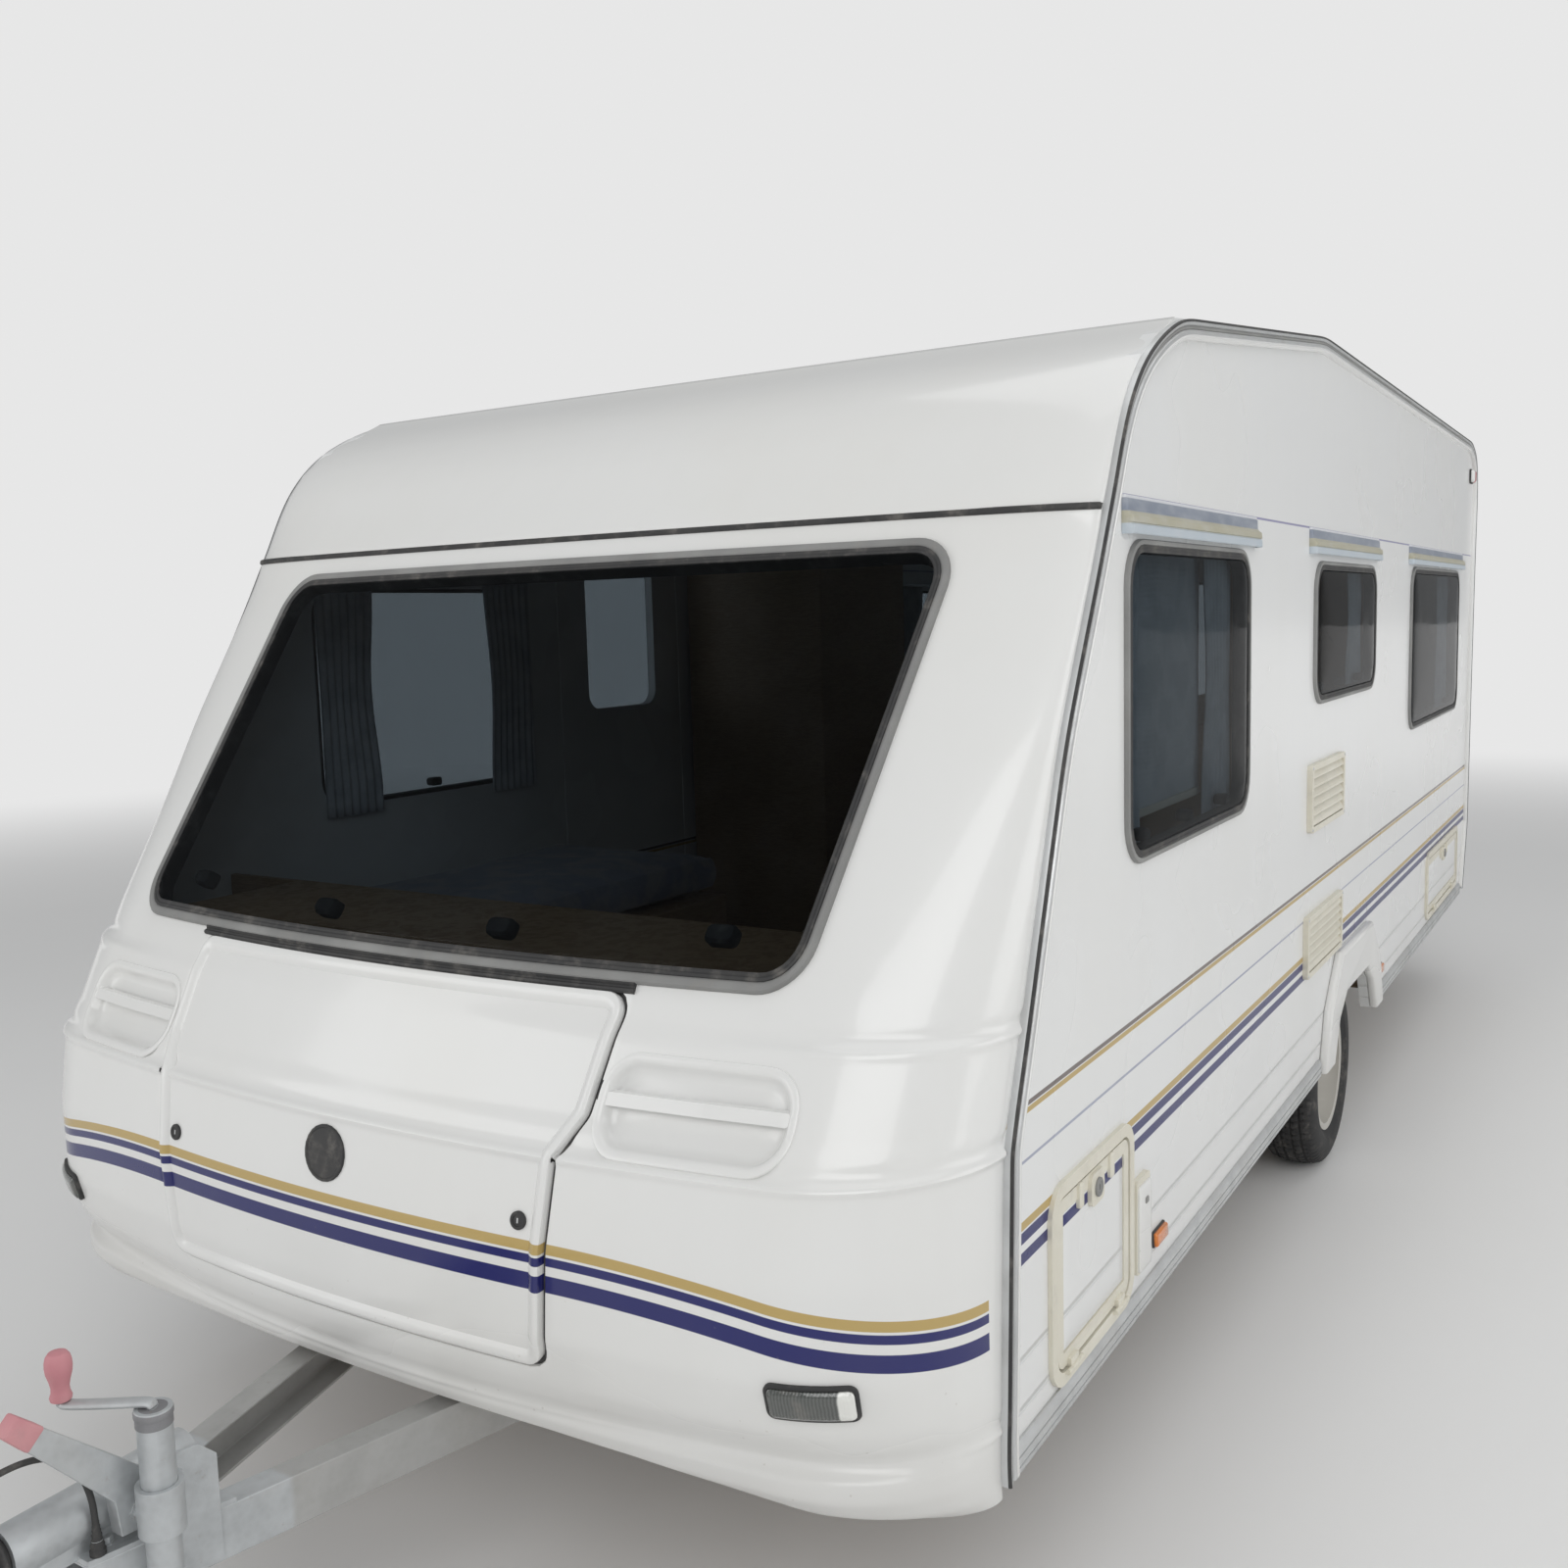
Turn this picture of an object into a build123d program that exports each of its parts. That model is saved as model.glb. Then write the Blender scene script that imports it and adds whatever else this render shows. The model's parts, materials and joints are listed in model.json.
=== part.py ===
"""Travel caravan with one axle, parked on its two wheels and its jockey wheel.

Millimetres. +X runs forward to the coupling, +Y to the left side, +Z up.
The origin is on the ground under the middle of the overall length.
"""
import os
from math import cos, hypot, pi, radians, sin, sqrt, tan

from build123d import *

os.makedirs("parts", exist_ok=True)

# Driving sizes of the whole caravan
OVERALL = 6830.0          # coupling tip to rear wall
HALF_WIDTH = 1040.0       # centre line to the outside of a side wall
WALL = 28.0               # sandwich wall, roof and door
WALL_FOOT_Z = 410.0       # bottom edge of the side walls above the ground
NOSE_TO_TIP = 1112.0      # front of the body to the coupling's tip
GAP = 5.0                 # running gap round doors and lids
SEAT = 0.3                # clearance of pieces that only touch
TIP_X = OVERALL / 2
TAIL_X = -OVERALL / 2
NOSE_X = TIP_X - NOSE_TO_TIP
INNER_Y = HALF_WIDTH - WALL

# Plan of the body by height. Each row: height, then how far behind the nose lie the side wall's
# edge, the shoulder where the corner starts, and the middle of the face.
FRONT_ROWS = (
    (388.0, 352.0, 205.0, 150.0),
    (415.0, 348.0, 142.0, 98.0),
    (450.0, 346.0, 114.0, 64.0),
    (482.0, 347.0, 110.0, 46.0),
    (497.0, 348.0, 134.0, 44.0),
    (520.0, 350.0, 113.0, 33.0),
    (560.0, 352.0, 90.0, 18.0),
    (640.0, 356.0, 70.0, 3.0),
    (780.0, 363.0, 68.0, 0.0),
    (918.0, 370.0, 90.0, 22.0),
    (972.0, 390.0, 130.0, 63.0),
    (1080.0, 434.0, 188.0, 125.0),
    (1102.0, 443.0, 214.0, 138.0),
    (1160.0, 465.0, 248.0, 173.0),
    (1500.0, 596.0, 491.0, 436.0),
    (1868.0, 811.0, 754.0, 726.0),
)
BROW_ROWS = (
    (1876.0, 816.0, 742.0, 712.0),
    (1960.0, 853.0, 808.0, 783.0),
    (2030.0, 892.0, 856.0, 838.0),
    (2085.0, 938.0, 910.0, 898.0),
    (2141.0, 1005.0, 988.0, 980.0),
    (2190.0, 1098.0, 1090.0, 1086.0),
    (2233.0, 1210.0, 1204.0, 1202.0),
)
# The same four columns behind the body, measured forward from the tail
REAR_ROWS = (
    (430.0, 240.0, 170.0, 155.0),
    (700.0, 125.0, 70.0, 55.0),
    (1300.0, 105.0, 50.0, 35.0),
    (1840.0, 80.0, 25.0, 10.0),
    (2150.0, 50.0, 15.0, 0.0),
    (2250.0, 65.0, 35.0, 25.0),
    (2330.0, 110.0, 96.0, 91.0),
    (2375.0, 270.0, 266.0, 264.0),
)
ROOF_PEAK_BACK = 2448.0   # behind the nose
ROOF_PEAK_Z = 2379.0
SHOULDER_Y = 800.0        # half-width of the bowed front face
REAR_SHOULDER_Y = 930.0
BROW_END = 1212.0         # where the brow meets the roof, behind the nose


def plan_line(x_side, x_shoulder, x_mid, x_back, half, shoulder):
    """Return one horizontal section: a stem between the side walls, two corners, a bowed face."""
    knee = sqrt(0.5)
    corner_x = x_side + (x_shoulder - x_side) * knee
    corner_y = shoulder + (half - shoulder) * knee
    with BuildLine() as plan:
        Polyline((x_side, -half), (x_side, -INNER_Y), (x_back, -INNER_Y), (x_back, INNER_Y),
                 (x_side, INNER_Y), (x_side, half))
        ThreePointArc((x_side, half), (corner_x, corner_y), (x_shoulder, shoulder))
        ThreePointArc((x_shoulder, shoulder), (x_mid, 0), (x_shoulder, -shoulder))
        ThreePointArc((x_shoulder, -shoulder), (corner_x, -corner_y), (x_side, -half))
    return plan.edges()


def hollow_line(x_side, x_shoulder, x_mid, x_back, shoulder):
    """Return the section of the hollow behind the wall, as wide as the gap between the walls."""
    knee = sqrt(0.5)
    corner_x = x_side + (x_shoulder - x_side) * knee
    corner_y = shoulder + (INNER_Y - shoulder) * knee
    with BuildLine() as plan:
        Polyline((x_side, -INNER_Y), (x_back, -INNER_Y), (x_back, INNER_Y), (x_side, INNER_Y))
        ThreePointArc((x_side, INNER_Y), (corner_x, corner_y), (x_shoulder, shoulder))
        ThreePointArc((x_shoulder, shoulder), (x_mid, 0), (x_shoulder, -shoulder))
        ThreePointArc((x_shoulder, -shoulder), (corner_x, -corner_y), (x_side, -INNER_Y))
    return plan.edges()


def wall_insets(rows):
    """Horizontal depth of a wall of even thickness at each row, from the slope there."""
    insets = []
    for index in range(len(rows)):
        low = rows[max(index - 1, 0)]
        high = rows[min(index + 1, len(rows) - 1)]
        slope = (high[3] - low[3]) / (high[0] - low[0])
        insets.append(WALL * hypot(1.0, slope))
    return insets


def end_form(rows, face_x, toward, x_back, shoulder, proud=0.0):
    """Loft the outer form of one end of the body, moved outwards by proud."""
    with BuildPart() as form:
        for height, side, corner, middle in rows:
            with BuildSketch(Plane.XY.offset(height)):
                make_face(plan_line(face_x - toward * side, face_x - toward * (corner - proud),
                                    face_x - toward * (middle - proud), x_back, HALF_WIDTH,
                                    shoulder))
        loft(ruled=True)
    return form.part


def end_hollow(rows, face_x, toward, x_back, shoulder, depth=1.0):
    """Loft the hollow behind the wall of one end; depth scales the wall's thickness."""
    with BuildPart() as form:
        for row, inset in zip(rows, wall_insets(rows)):
            height, side, corner, middle = row
            with BuildSketch(Plane.XY.offset(height)):
                make_face(hollow_line(face_x - toward * side,
                                      face_x - toward * (corner + depth * inset),
                                      face_x - toward * (middle + depth * inset), x_back,
                                      shoulder))
        loft(ruled=True)
    return form.part


def at_side(y):
    """Plane of a side view at y, drawn in X and Z."""
    return Plane.XZ.offset(-y)


# Side view of the body, round from the front foot over the roof to the rear foot
FRONT_EDGE = [(NOSE_X - FRONT_ROWS[0][1], WALL_FOOT_Z)]
FRONT_EDGE += [(NOSE_X - row[1], row[0]) for row in FRONT_ROWS + BROW_ROWS
               if row[0] > WALL_FOOT_Z]
REAR_EDGE = [(TAIL_X + row[1], row[0]) for row in reversed(REAR_ROWS)]
REAR_EDGE += [(TAIL_X + REAR_ROWS[0][1], WALL_FOOT_Z)]
SIDE_OUTLINE = FRONT_EDGE + [(NOSE_X - ROOF_PEAK_BACK, ROOF_PEAK_Z)] + REAR_EDGE
FOOT_FRONT_X = NOSE_X - FRONT_ROWS[0][1]
FOOT_REAR_X = TAIL_X + REAR_ROWS[0][1]
BROW_BACK_X = NOSE_X - BROW_END
REAR_BACK_X = TAIL_X + 330.0
REAR_TOP_X = TAIL_X + REAR_ROWS[-1][1]

# Openings in the left and right walls: how far behind the nose the middle lies, height of the
# middle, length, height
WINDOW_CORNER = 70.0
LEFT_WINDOWS = ((1326.0, 1535.0, 806.0, 548.0), (2838.0, 1625.0, 836.0, 348.0),
                (4571.0, 1534.0, 1209.0, 549.0))
RIGHT_WINDOWS = ((1300.0, 1535.0, 780.0, 548.0), (3420.0, 1625.0, 640.0, 348.0),
                 (4571.0, 1534.0, 1209.0, 549.0))
REAR_WINDOW = (0.0, 1535.0, 1500.0, 573.0)
SEAL_LAP = 14.0           # rubber standing outside the opening
SEAL_INTO = 10.0          # rubber standing inside the opening
SEAL_PROUD = 9.0
PANE_PROUD = 7.0
PANE_THICK = 6.0

# Wheels
AXLE_BACK = 2980.0        # axle behind the nose
AXLE_X = NOSE_X - AXLE_BACK
TYRE_R = 290.0
TYRE_WIDTH = 165.0
TYRE_FACE_Y = 995.0
WHEEL_Y = TYRE_FACE_Y - TYRE_WIDTH / 2
RIM_R = 183.0
ARCH_FOOT_HALF = 325.0
ARCH_TOP_HALF = 165.0
ARCH_TOP_Z = 578.0
ARCH_KNEE_HALF = 262.0
ARCH_KNEE_Z = 520.0
ARCH_OUT_HALF = 440.0
ARCH_OUT_TOP = 235.0
ARCH_OUT_Z = 712.0

# Entrance door on the right side
DOOR_BACK = 2130.0        # middle of the door behind the nose
DOOR_WIDTH = 600.0
DOOR_FOOT_Z = 480.0
DOOR_HEIGHT = 1680.0
DOOR_CORNER = 60.0

DOOR_HINGE_X = NOSE_X - DOOR_BACK + DOOR_WIDTH / 2 + GAP / 2
DOOR_HINGE_Y = -HALF_WIDTH - 10.0
DOOR_HINGE_ZS = (700.0, 1320.0, 1940.0)
DOOR_HINGE_R = 7.0
DOOR_LEAF = 32.0
DOOR_LEAF_THICK = 3.0
DOOR_BARREL = 50.0        # moving barrel; each fixed one is half as long

# Service doors on the left side: middle behind the nose, height of the middle, length, height
FRONT_HATCH = (738.0, 625.0, 385.0, 325.0)
REAR_HATCH = (4888.0, 597.0, 860.0, 250.0)
INLET = (985.0, 578.0, 75.0, 180.0)
HATCH_FRAME = 30.0
HATCH_CORNER = 46.0
HATCH_BORDER = 24.0       # raised border round the sunk face of a service door
HATCH_INSET = 4.0

# Floor and chassis
FLOOR_Z = 465.0
FLOOR_THICK = 45.0
RAIL_Y = 560.0
RAIL_TOP_Z = FLOOR_Z
RAIL_HEIGHT = 130.0
RAIL_SECTION = 5.0
AFRAME_SLOPE = 0.26       # sideways run of a drawbar rail for each unit forward
AFRAME_HEIGHT = 80.0
AFRAME_TOP_Z = 440.0
APEX_X = TIP_X - 640.0
APEX_Y = 50.0


# Roof light behind the highest point of the roof
ROOFLIGHT_X = NOSE_X - 3150.0
ROOFLIGHT_SIZE = 420.0
ROOFLIGHT_KERB = 45.0
ROOFLIGHT_DOME = 30.0


def barrel_x(x, y, z, length, radius, mode=Mode.ADD):
    """Round bar along X, centred at the given point."""
    with Locations(Location((x, y, z), (0, 90, 0))):
        Cylinder(radius, length, mode=mode)


def barrel_y(x, y, z, length, radius, mode=Mode.ADD):
    """Round bar along Y, centred at the given point."""
    with Locations(Location((x, y, z), (90, 0, 0))):
        Cylinder(radius, length, mode=mode)


def block(x_low, x_high, y_low, y_high, z_low, z_high, mode=Mode.ADD):
    """Box between two corners."""
    with Locations(((x_low + x_high) / 2, (y_low + y_high) / 2, (z_low + z_high) / 2)):
        Box(x_high - x_low, y_high - y_low, z_high - z_low, mode=mode)


def opening_faces(table, grow, corner):
    """Sketch a rounded rectangle at each row of an opening table, larger by grow all round."""
    for back, height, length, tall in table:
        with Locations((NOSE_X - back, height)):
            RectangleRounded(length + 2 * grow, tall + 2 * grow, max(corner + grow, 4))


def arch_points(grow):
    """Outline of the wheel opening in side view, larger by grow."""
    foot = WALL_FOOT_Z - 40.0
    return [(AXLE_X - ARCH_FOOT_HALF - grow, foot), (AXLE_X - ARCH_FOOT_HALF - grow, WALL_FOOT_Z),
            (AXLE_X - ARCH_KNEE_HALF - grow, ARCH_KNEE_Z),
            (AXLE_X - ARCH_TOP_HALF - 0.5 * grow, ARCH_TOP_Z + grow),
            (AXLE_X + ARCH_TOP_HALF + 0.5 * grow, ARCH_TOP_Z + grow),
            (AXLE_X + ARCH_KNEE_HALF + grow, ARCH_KNEE_Z),
            (AXLE_X + ARCH_FOOT_HALF + grow, WALL_FOOT_Z), (AXLE_X + ARCH_FOOT_HALF + grow, foot)]


def side_wall(toward, windows, hatches, door):
    """Build one sandwich side wall with its windows, hatches, wheel opening and doorway cut."""
    with BuildPart() as wall:
        with BuildSketch(at_side(toward * INNER_Y)):
            with BuildLine():
                Polyline(*SIDE_OUTLINE, close=True)
            make_face()
            with BuildLine(mode=Mode.PRIVATE) as arch:
                Polyline(*arch_points(0.0), close=True)
            make_face(arch.edges(), mode=Mode.SUBTRACT)
        extrude(amount=-toward * WALL)
        with BuildSketch(at_side(toward * INNER_Y)):
            opening_faces(windows, 0.0, WINDOW_CORNER)
        extrude(amount=-toward * WALL, mode=Mode.SUBTRACT)
        if hatches:
            with BuildSketch(at_side(toward * INNER_Y)):
                opening_faces(hatches, 0.0, HATCH_CORNER)
            extrude(amount=-toward * WALL, mode=Mode.SUBTRACT)
        if door:
            with BuildSketch(at_side(toward * INNER_Y)):
                with Locations((NOSE_X - DOOR_BACK, DOOR_FOOT_Z + DOOR_HEIGHT / 2)):
                    RectangleRounded(DOOR_WIDTH + 2 * GAP, DOOR_HEIGHT + 2 * GAP,
                                     DOOR_CORNER + GAP)
            extrude(amount=-toward * WALL, mode=Mode.SUBTRACT)
            for middle in DOOR_HINGE_ZS:
                for step in (-0.75 * DOOR_BARREL, 0.75 * DOOR_BARREL):
                    with Locations((DOOR_HINGE_X, DOOR_HINGE_Y, middle + step)):
                        Cylinder(DOOR_HINGE_R, DOOR_BARREL / 2 - 1)
                    low, high = middle + step - DOOR_BARREL / 4, middle + step + DOOR_BARREL / 4
                    block(DOOR_HINGE_X, DOOR_HINGE_X + DOOR_HINGE_R - 1, DOOR_HINGE_Y,
                          -HALF_WIDTH, low + 0.5, high - 0.5)
                block(DOOR_HINGE_X + GAP / 2, DOOR_HINGE_X + DOOR_LEAF,
                      -HALF_WIDTH - DOOR_LEAF_THICK, -HALF_WIDTH,
                      middle - DOOR_BARREL, middle + DOOR_BARREL)
                with Locations((DOOR_HINGE_X, DOOR_HINGE_Y, middle)):
                    Cylinder(3, 2 * DOOR_BARREL)
    return wall.part


# Small hinges of lids and hatches: a moving barrel between two fixed ones on a pin
BARREL_R = 4.5
PIN_R = 2.0
BARREL_LONG = 34.0        # moving barrel
BARREL_SHORT = 15.0       # each fixed barrel
BARREL_STEP = (BARREL_LONG + BARREL_SHORT) / 2 + 0.4


def keep(part, name):
    """Name a finished piece and write it to its own file."""
    part.label = name
    export_step(part, f"parts/{name}.step")
    print(name, len(part.solids()), round(part.volume / 1e6, 2))


# Side walls
keep(side_wall(1, LEFT_WINDOWS, (FRONT_HATCH, REAR_HATCH), False), "side_wall_left")
keep(side_wall(-1, RIGHT_WINDOWS, (), True), "side_wall_right")

# Hollow inside the side profile, used to thin the brow and the rear wall
with BuildPart() as profile_hollow:
    with BuildSketch(Plane.XZ):
        with BuildLine():
            Polyline(*SIDE_OUTLINE, close=True)
        make_face()
        offset(amount=-WALL, kind=Kind.INTERSECTION)
        with Locations(((FOOT_FRONT_X + FOOT_REAR_X) / 2, WALL_FOOT_Z)):
            Rectangle(FOOT_FRONT_X - FOOT_REAR_X - 2 * WALL, 4 * WALL)
    extrude(amount=INNER_Y, both=True)

FRONT_BACK_X = NOSE_X - 1000.0
front_form = end_form(FRONT_ROWS, NOSE_X, 1, FRONT_BACK_X, SHOULDER_Y)
front_hollow = end_hollow(FRONT_ROWS, NOSE_X, 1, FRONT_BACK_X - 10, SHOULDER_Y)
brow_form = end_form(BROW_ROWS, NOSE_X, 1, BROW_BACK_X, SHOULDER_Y)
rear_form = end_form(REAR_ROWS, TAIL_X, -1, REAR_BACK_X, REAR_SHOULDER_Y)
rear_hollow = end_hollow(REAR_ROWS[:5], TAIL_X, -1, REAR_BACK_X + 10, REAR_SHOULDER_Y)


def end_skin(rows, face_x, toward, x_back, shoulder, proud, under):
    """Thin layer that follows the outside of one end, from under to proud of its face."""
    with BuildPart() as skin:
        add(end_form(rows, face_x, toward, x_back, shoulder, proud))
        add(end_form(rows, face_x, toward, x_back, shoulder, under), mode=Mode.SUBTRACT)
    return skin.part


def both_sides(part):
    """Return a part together with its mirror image on the other side of the caravan."""
    with BuildPart() as pair:
        add(part)
        mirror(about=Plane.XZ)
    return pair.part

# Front window and gas locker lid outlines, seen from the front: height, half-width
HANDLE_FOOT_Z, HANDLE_TOP_Z = 938.0, 1052.0
HANDLE_IN_Y, HANDLE_OUT_Y = 516.0, 812.0
HANDLE_DEPTH = 20.0
HANDLE_CORNER = 40.0
WINDOW_TOP_Z, WINDOW_TOP_HALF = 1813.0, 812.0
WINDOW_FOOT_Z, WINDOW_FOOT_HALF = 1166.0, 764.0
LID_HINGE_X = NOSE_X - 150.0
LID_HINGE_Z = 1144.0
LID_HINGE_YS = (-180.0, 180.0)
LID_OUTLINE = ((1138.0, 503.0), (975.0, 492.0), (915.0, 461.0), (592.0, 436.0))


def front_prism(points, grow):
    """Prism along X through the front wall, over an outline given as height and half-width."""
    ring = [(half, height) for height, half in points]
    ring += [(-half, height) for height, half in reversed(points)]
    with BuildPart() as prism:
        with BuildSketch(Plane.YZ.offset(NOSE_X - 1100)):
            with BuildLine():
                Polyline(*ring, close=True)
            make_face()
            if grow:
                offset(amount=grow, kind=Kind.INTERSECTION)
            fillet(vertices().group_by(Axis.Y)[0] + vertices().group_by(Axis.Y)[-1], 40 + grow)
        extrude(amount=1300)
    return prism.part


window_outline = ((WINDOW_TOP_Z, WINDOW_TOP_HALF), (WINDOW_FOOT_Z, WINDOW_FOOT_HALF))
seal_fit = front_prism(window_outline, 0.0)
pane_fit = front_prism(window_outline, -SEAL_INTO)
lid_hole = front_prism(LID_OUTLINE, GAP)
lid_form = front_prism(LID_OUTLINE, 0.0)


def front_box(y_low, y_high, z_low, z_high, corner):
    """Prism along X through the front wall, over a rounded rectangle and its mirror image."""
    with BuildPart() as prism:
        with BuildSketch(Plane.YZ.offset(NOSE_X - 1100)):
            for side in (-1, 1):
                with Locations((side * (y_low + y_high) / 2, (z_low + z_high) / 2)):
                    RectangleRounded(y_high - y_low, z_high - z_low, corner)
        extrude(amount=1300)
    return prism.part


FRONT_ARGS = (FRONT_ROWS, NOSE_X, 1, FRONT_BACK_X, SHOULDER_Y)
REAR_ARGS = (REAR_ROWS, TAIL_X, -1, REAR_BACK_X, REAR_SHOULDER_Y)
with BuildPart() as handle_pocket:
    add(end_skin(*FRONT_ARGS, 1.0, -HANDLE_DEPTH))
    add(front_box(HANDLE_IN_Y, HANDLE_OUT_Y, HANDLE_FOOT_Z, HANDLE_TOP_Z, HANDLE_CORNER),
        mode=Mode.INTERSECT)

# Lower edge of the front panel, from the middle out to the corner: half-width, height
FRONT_ARCH = ((0.0, 463.0), (400.0, 461.0), (560.0, 454.0), (700.0, 440.0), (830.0, 420.0),
              (930.0, 401.0), (990.0, 388.0))
with BuildPart() as arch_under:
    with BuildSketch(Plane.YZ.offset(NOSE_X - 1100)):
        with BuildLine():
            Polyline(*[(-y, z) for y, z in reversed(FRONT_ARCH)], *FRONT_ARCH[1:],
                     (FRONT_ARCH[-1][0], 300), (-FRONT_ARCH[-1][0], 300), close=True)
        make_face()
    extrude(amount=1300)

with BuildPart() as front_panel:
    add(front_form)
    add(front_hollow, mode=Mode.SUBTRACT)
    add(arch_under.part, mode=Mode.SUBTRACT)
    add(handle_pocket.part, mode=Mode.SUBTRACT)
    add(seal_fit, mode=Mode.SUBTRACT)
    add(lid_hole, mode=Mode.SUBTRACT)
    for middle in LID_HINGE_YS:
        for step in (-BARREL_STEP, BARREL_STEP):
            y_low = middle + step - BARREL_SHORT / 2
            y_high = middle + step + BARREL_SHORT / 2
            barrel_y(LID_HINGE_X, middle + step, LID_HINGE_Z, BARREL_SHORT, BARREL_R)
            block(LID_HINGE_X - 24, LID_HINGE_X, y_low, y_high, LID_HINGE_Z, LID_HINGE_Z + 4.5)
        barrel_y(LID_HINGE_X, middle, LID_HINGE_Z, 2 * BARREL_STEP + BARREL_SHORT, PIN_R)
keep(front_panel.part, "front_panel")

# Blank disc and two lock barrels on the lid
DISC_R = 46.0
DISC_Z = 856.0
LOCK_R = 13.0
LOCK_Z = 819.0
LOCK_Y = 407.0
with BuildPart() as lid_fittings:
    add(end_skin(*FRONT_ARGS, 4.0, -1.0))
    with BuildSketch(Plane.YZ.offset(NOSE_X - 400), mode=Mode.PRIVATE) as discs:
        with Locations((0, DISC_Z)):
            Circle(DISC_R)
        with Locations((-LOCK_Y, LOCK_Z), (LOCK_Y, LOCK_Z)):
            Circle(LOCK_R)
    extrude(discs.sketch, amount=600, mode=Mode.INTERSECT)

with BuildPart() as gas_locker_lid:
    add(front_form)
    add(front_hollow, mode=Mode.SUBTRACT)
    add(lid_form, mode=Mode.INTERSECT)
    add(lid_fittings.part)
    for middle in LID_HINGE_YS:
        y_low, y_high = middle - BARREL_LONG / 2, middle + BARREL_LONG / 2
        barrel_y(LID_HINGE_X, middle, LID_HINGE_Z, BARREL_LONG, BARREL_R)
        block(LID_HINGE_X - 24, LID_HINGE_X, y_low, y_high, LID_HINGE_Z - 11, LID_HINGE_Z - 3)
        barrel_y(LID_HINGE_X, middle, LID_HINGE_Z, BARREL_LONG, PIN_R + SEAT, Mode.SUBTRACT)
keep(gas_locker_lid.part, "gas_locker_lid")

with BuildPart() as front_brow:
    add(brow_form)
    add(profile_hollow.part, mode=Mode.SUBTRACT)
keep(front_brow.part, "front_brow")

with BuildPart() as roof:
    with BuildSketch(Plane.XZ):
        with BuildLine():
            Polyline((BROW_BACK_X, BROW_ROWS[-1][0]), (NOSE_X - ROOF_PEAK_BACK, ROOF_PEAK_Z),
                     (REAR_BACK_X, REAR_ROWS[-1][0]), (REAR_BACK_X, REAR_ROWS[-1][0] - WALL),
                     (NOSE_X - ROOF_PEAK_BACK, ROOF_PEAK_Z - WALL),
                     (BROW_BACK_X, BROW_ROWS[-1][0] - WALL), close=True)
        make_face()
    extrude(amount=INNER_Y, both=True)
    with BuildSketch(Plane.XY.offset(ROOF_PEAK_Z - 200)):
        with Locations((ROOFLIGHT_X, 0)):
            RectangleRounded(ROOFLIGHT_SIZE, ROOFLIGHT_SIZE, 40)
    extrude(amount=400, mode=Mode.SUBTRACT)
keep(roof.part, "roof")

with BuildPart() as rear_panel:
    add(rear_form)
    add(profile_hollow.part, mode=Mode.SUBTRACT)
    add(rear_hollow, mode=Mode.SUBTRACT)
    with BuildSketch(Plane.YZ.offset(TAIL_X - 20)):
        with Locations(REAR_WINDOW[:2]):
            RectangleRounded(REAR_WINDOW[2], REAR_WINDOW[3], WINDOW_CORNER)
    extrude(amount=300, mode=Mode.SUBTRACT)
keep(rear_panel.part, "rear_panel")


def opening_cuts(table, grow, corner):
    """Cut a rounded rectangle at each row of an opening table out of the sketch."""
    for back, height, length, tall in table:
        with Locations((NOSE_X - back, height)):
            RectangleRounded(length + 2 * grow, tall + 2 * grow, max(corner + grow, 4),
                             mode=Mode.SUBTRACT)


def wall_seals(toward, table):
    """Rubber round each window of a side wall: a lip outside and a sleeve in the opening."""
    with BuildPart() as seals:
        with BuildSketch(at_side(toward * HALF_WIDTH)):
            opening_faces(table, SEAL_LAP, WINDOW_CORNER)
            opening_cuts(table, -SEAL_INTO, WINDOW_CORNER)
        extrude(amount=-toward * SEAL_PROUD)
        with BuildSketch(at_side(toward * HALF_WIDTH)):
            opening_faces(table, -SEAT, WINDOW_CORNER)
            opening_cuts(table, -SEAL_INTO, WINDOW_CORNER)
        extrude(amount=toward * WALL)
    return seals.part


def wall_panes(toward, table):
    """Acrylic panes of a side wall, inside their seals."""
    with BuildPart() as panes:
        with BuildSketch(at_side(toward * (HALF_WIDTH + PANE_PROUD - PANE_THICK))):
            opening_faces(table, -SEAL_INTO - SEAT, WINDOW_CORNER)
        extrude(amount=-toward * PANE_THICK)
    return panes.part


def rear_prism(grow):
    """Prism along X through the rear wall, over the rear window's outline."""
    with BuildPart() as prism:
        with BuildSketch(Plane.YZ.offset(TAIL_X - 50)):
            with Locations(REAR_WINDOW[:2]):
                RectangleRounded(REAR_WINDOW[2] + 2 * grow, REAR_WINDOW[3] + 2 * grow,
                                 WINDOW_CORNER + grow)
        extrude(amount=300)
    return prism.part


with BuildPart() as front_lip:
    add(end_skin(*FRONT_ARGS, SEAL_PROUD, 0.0))
    add(front_prism(window_outline, SEAL_LAP), mode=Mode.INTERSECT)
    add(pane_fit, mode=Mode.SUBTRACT)
with BuildPart() as front_sleeve:
    add(front_form)
    add(front_hollow, mode=Mode.SUBTRACT)
    add(front_prism(window_outline, -SEAT), mode=Mode.INTERSECT)
    add(pane_fit, mode=Mode.SUBTRACT)
with BuildPart() as front_pane:
    add(end_skin(*FRONT_ARGS, PANE_PROUD, PANE_PROUD - PANE_THICK))
    add(front_prism(window_outline, -SEAL_INTO - SEAT), mode=Mode.INTERSECT)
with BuildPart() as rear_lip:
    add(end_skin(*REAR_ARGS, SEAL_PROUD, 0.0))
    add(rear_prism(SEAL_LAP), mode=Mode.INTERSECT)
    add(rear_prism(-SEAL_INTO), mode=Mode.SUBTRACT)
with BuildPart() as rear_sleeve:
    add(rear_form)
    add(rear_hollow, mode=Mode.SUBTRACT)
    add(rear_prism(-SEAT), mode=Mode.INTERSECT)
    add(rear_prism(-SEAL_INTO), mode=Mode.SUBTRACT)
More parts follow.
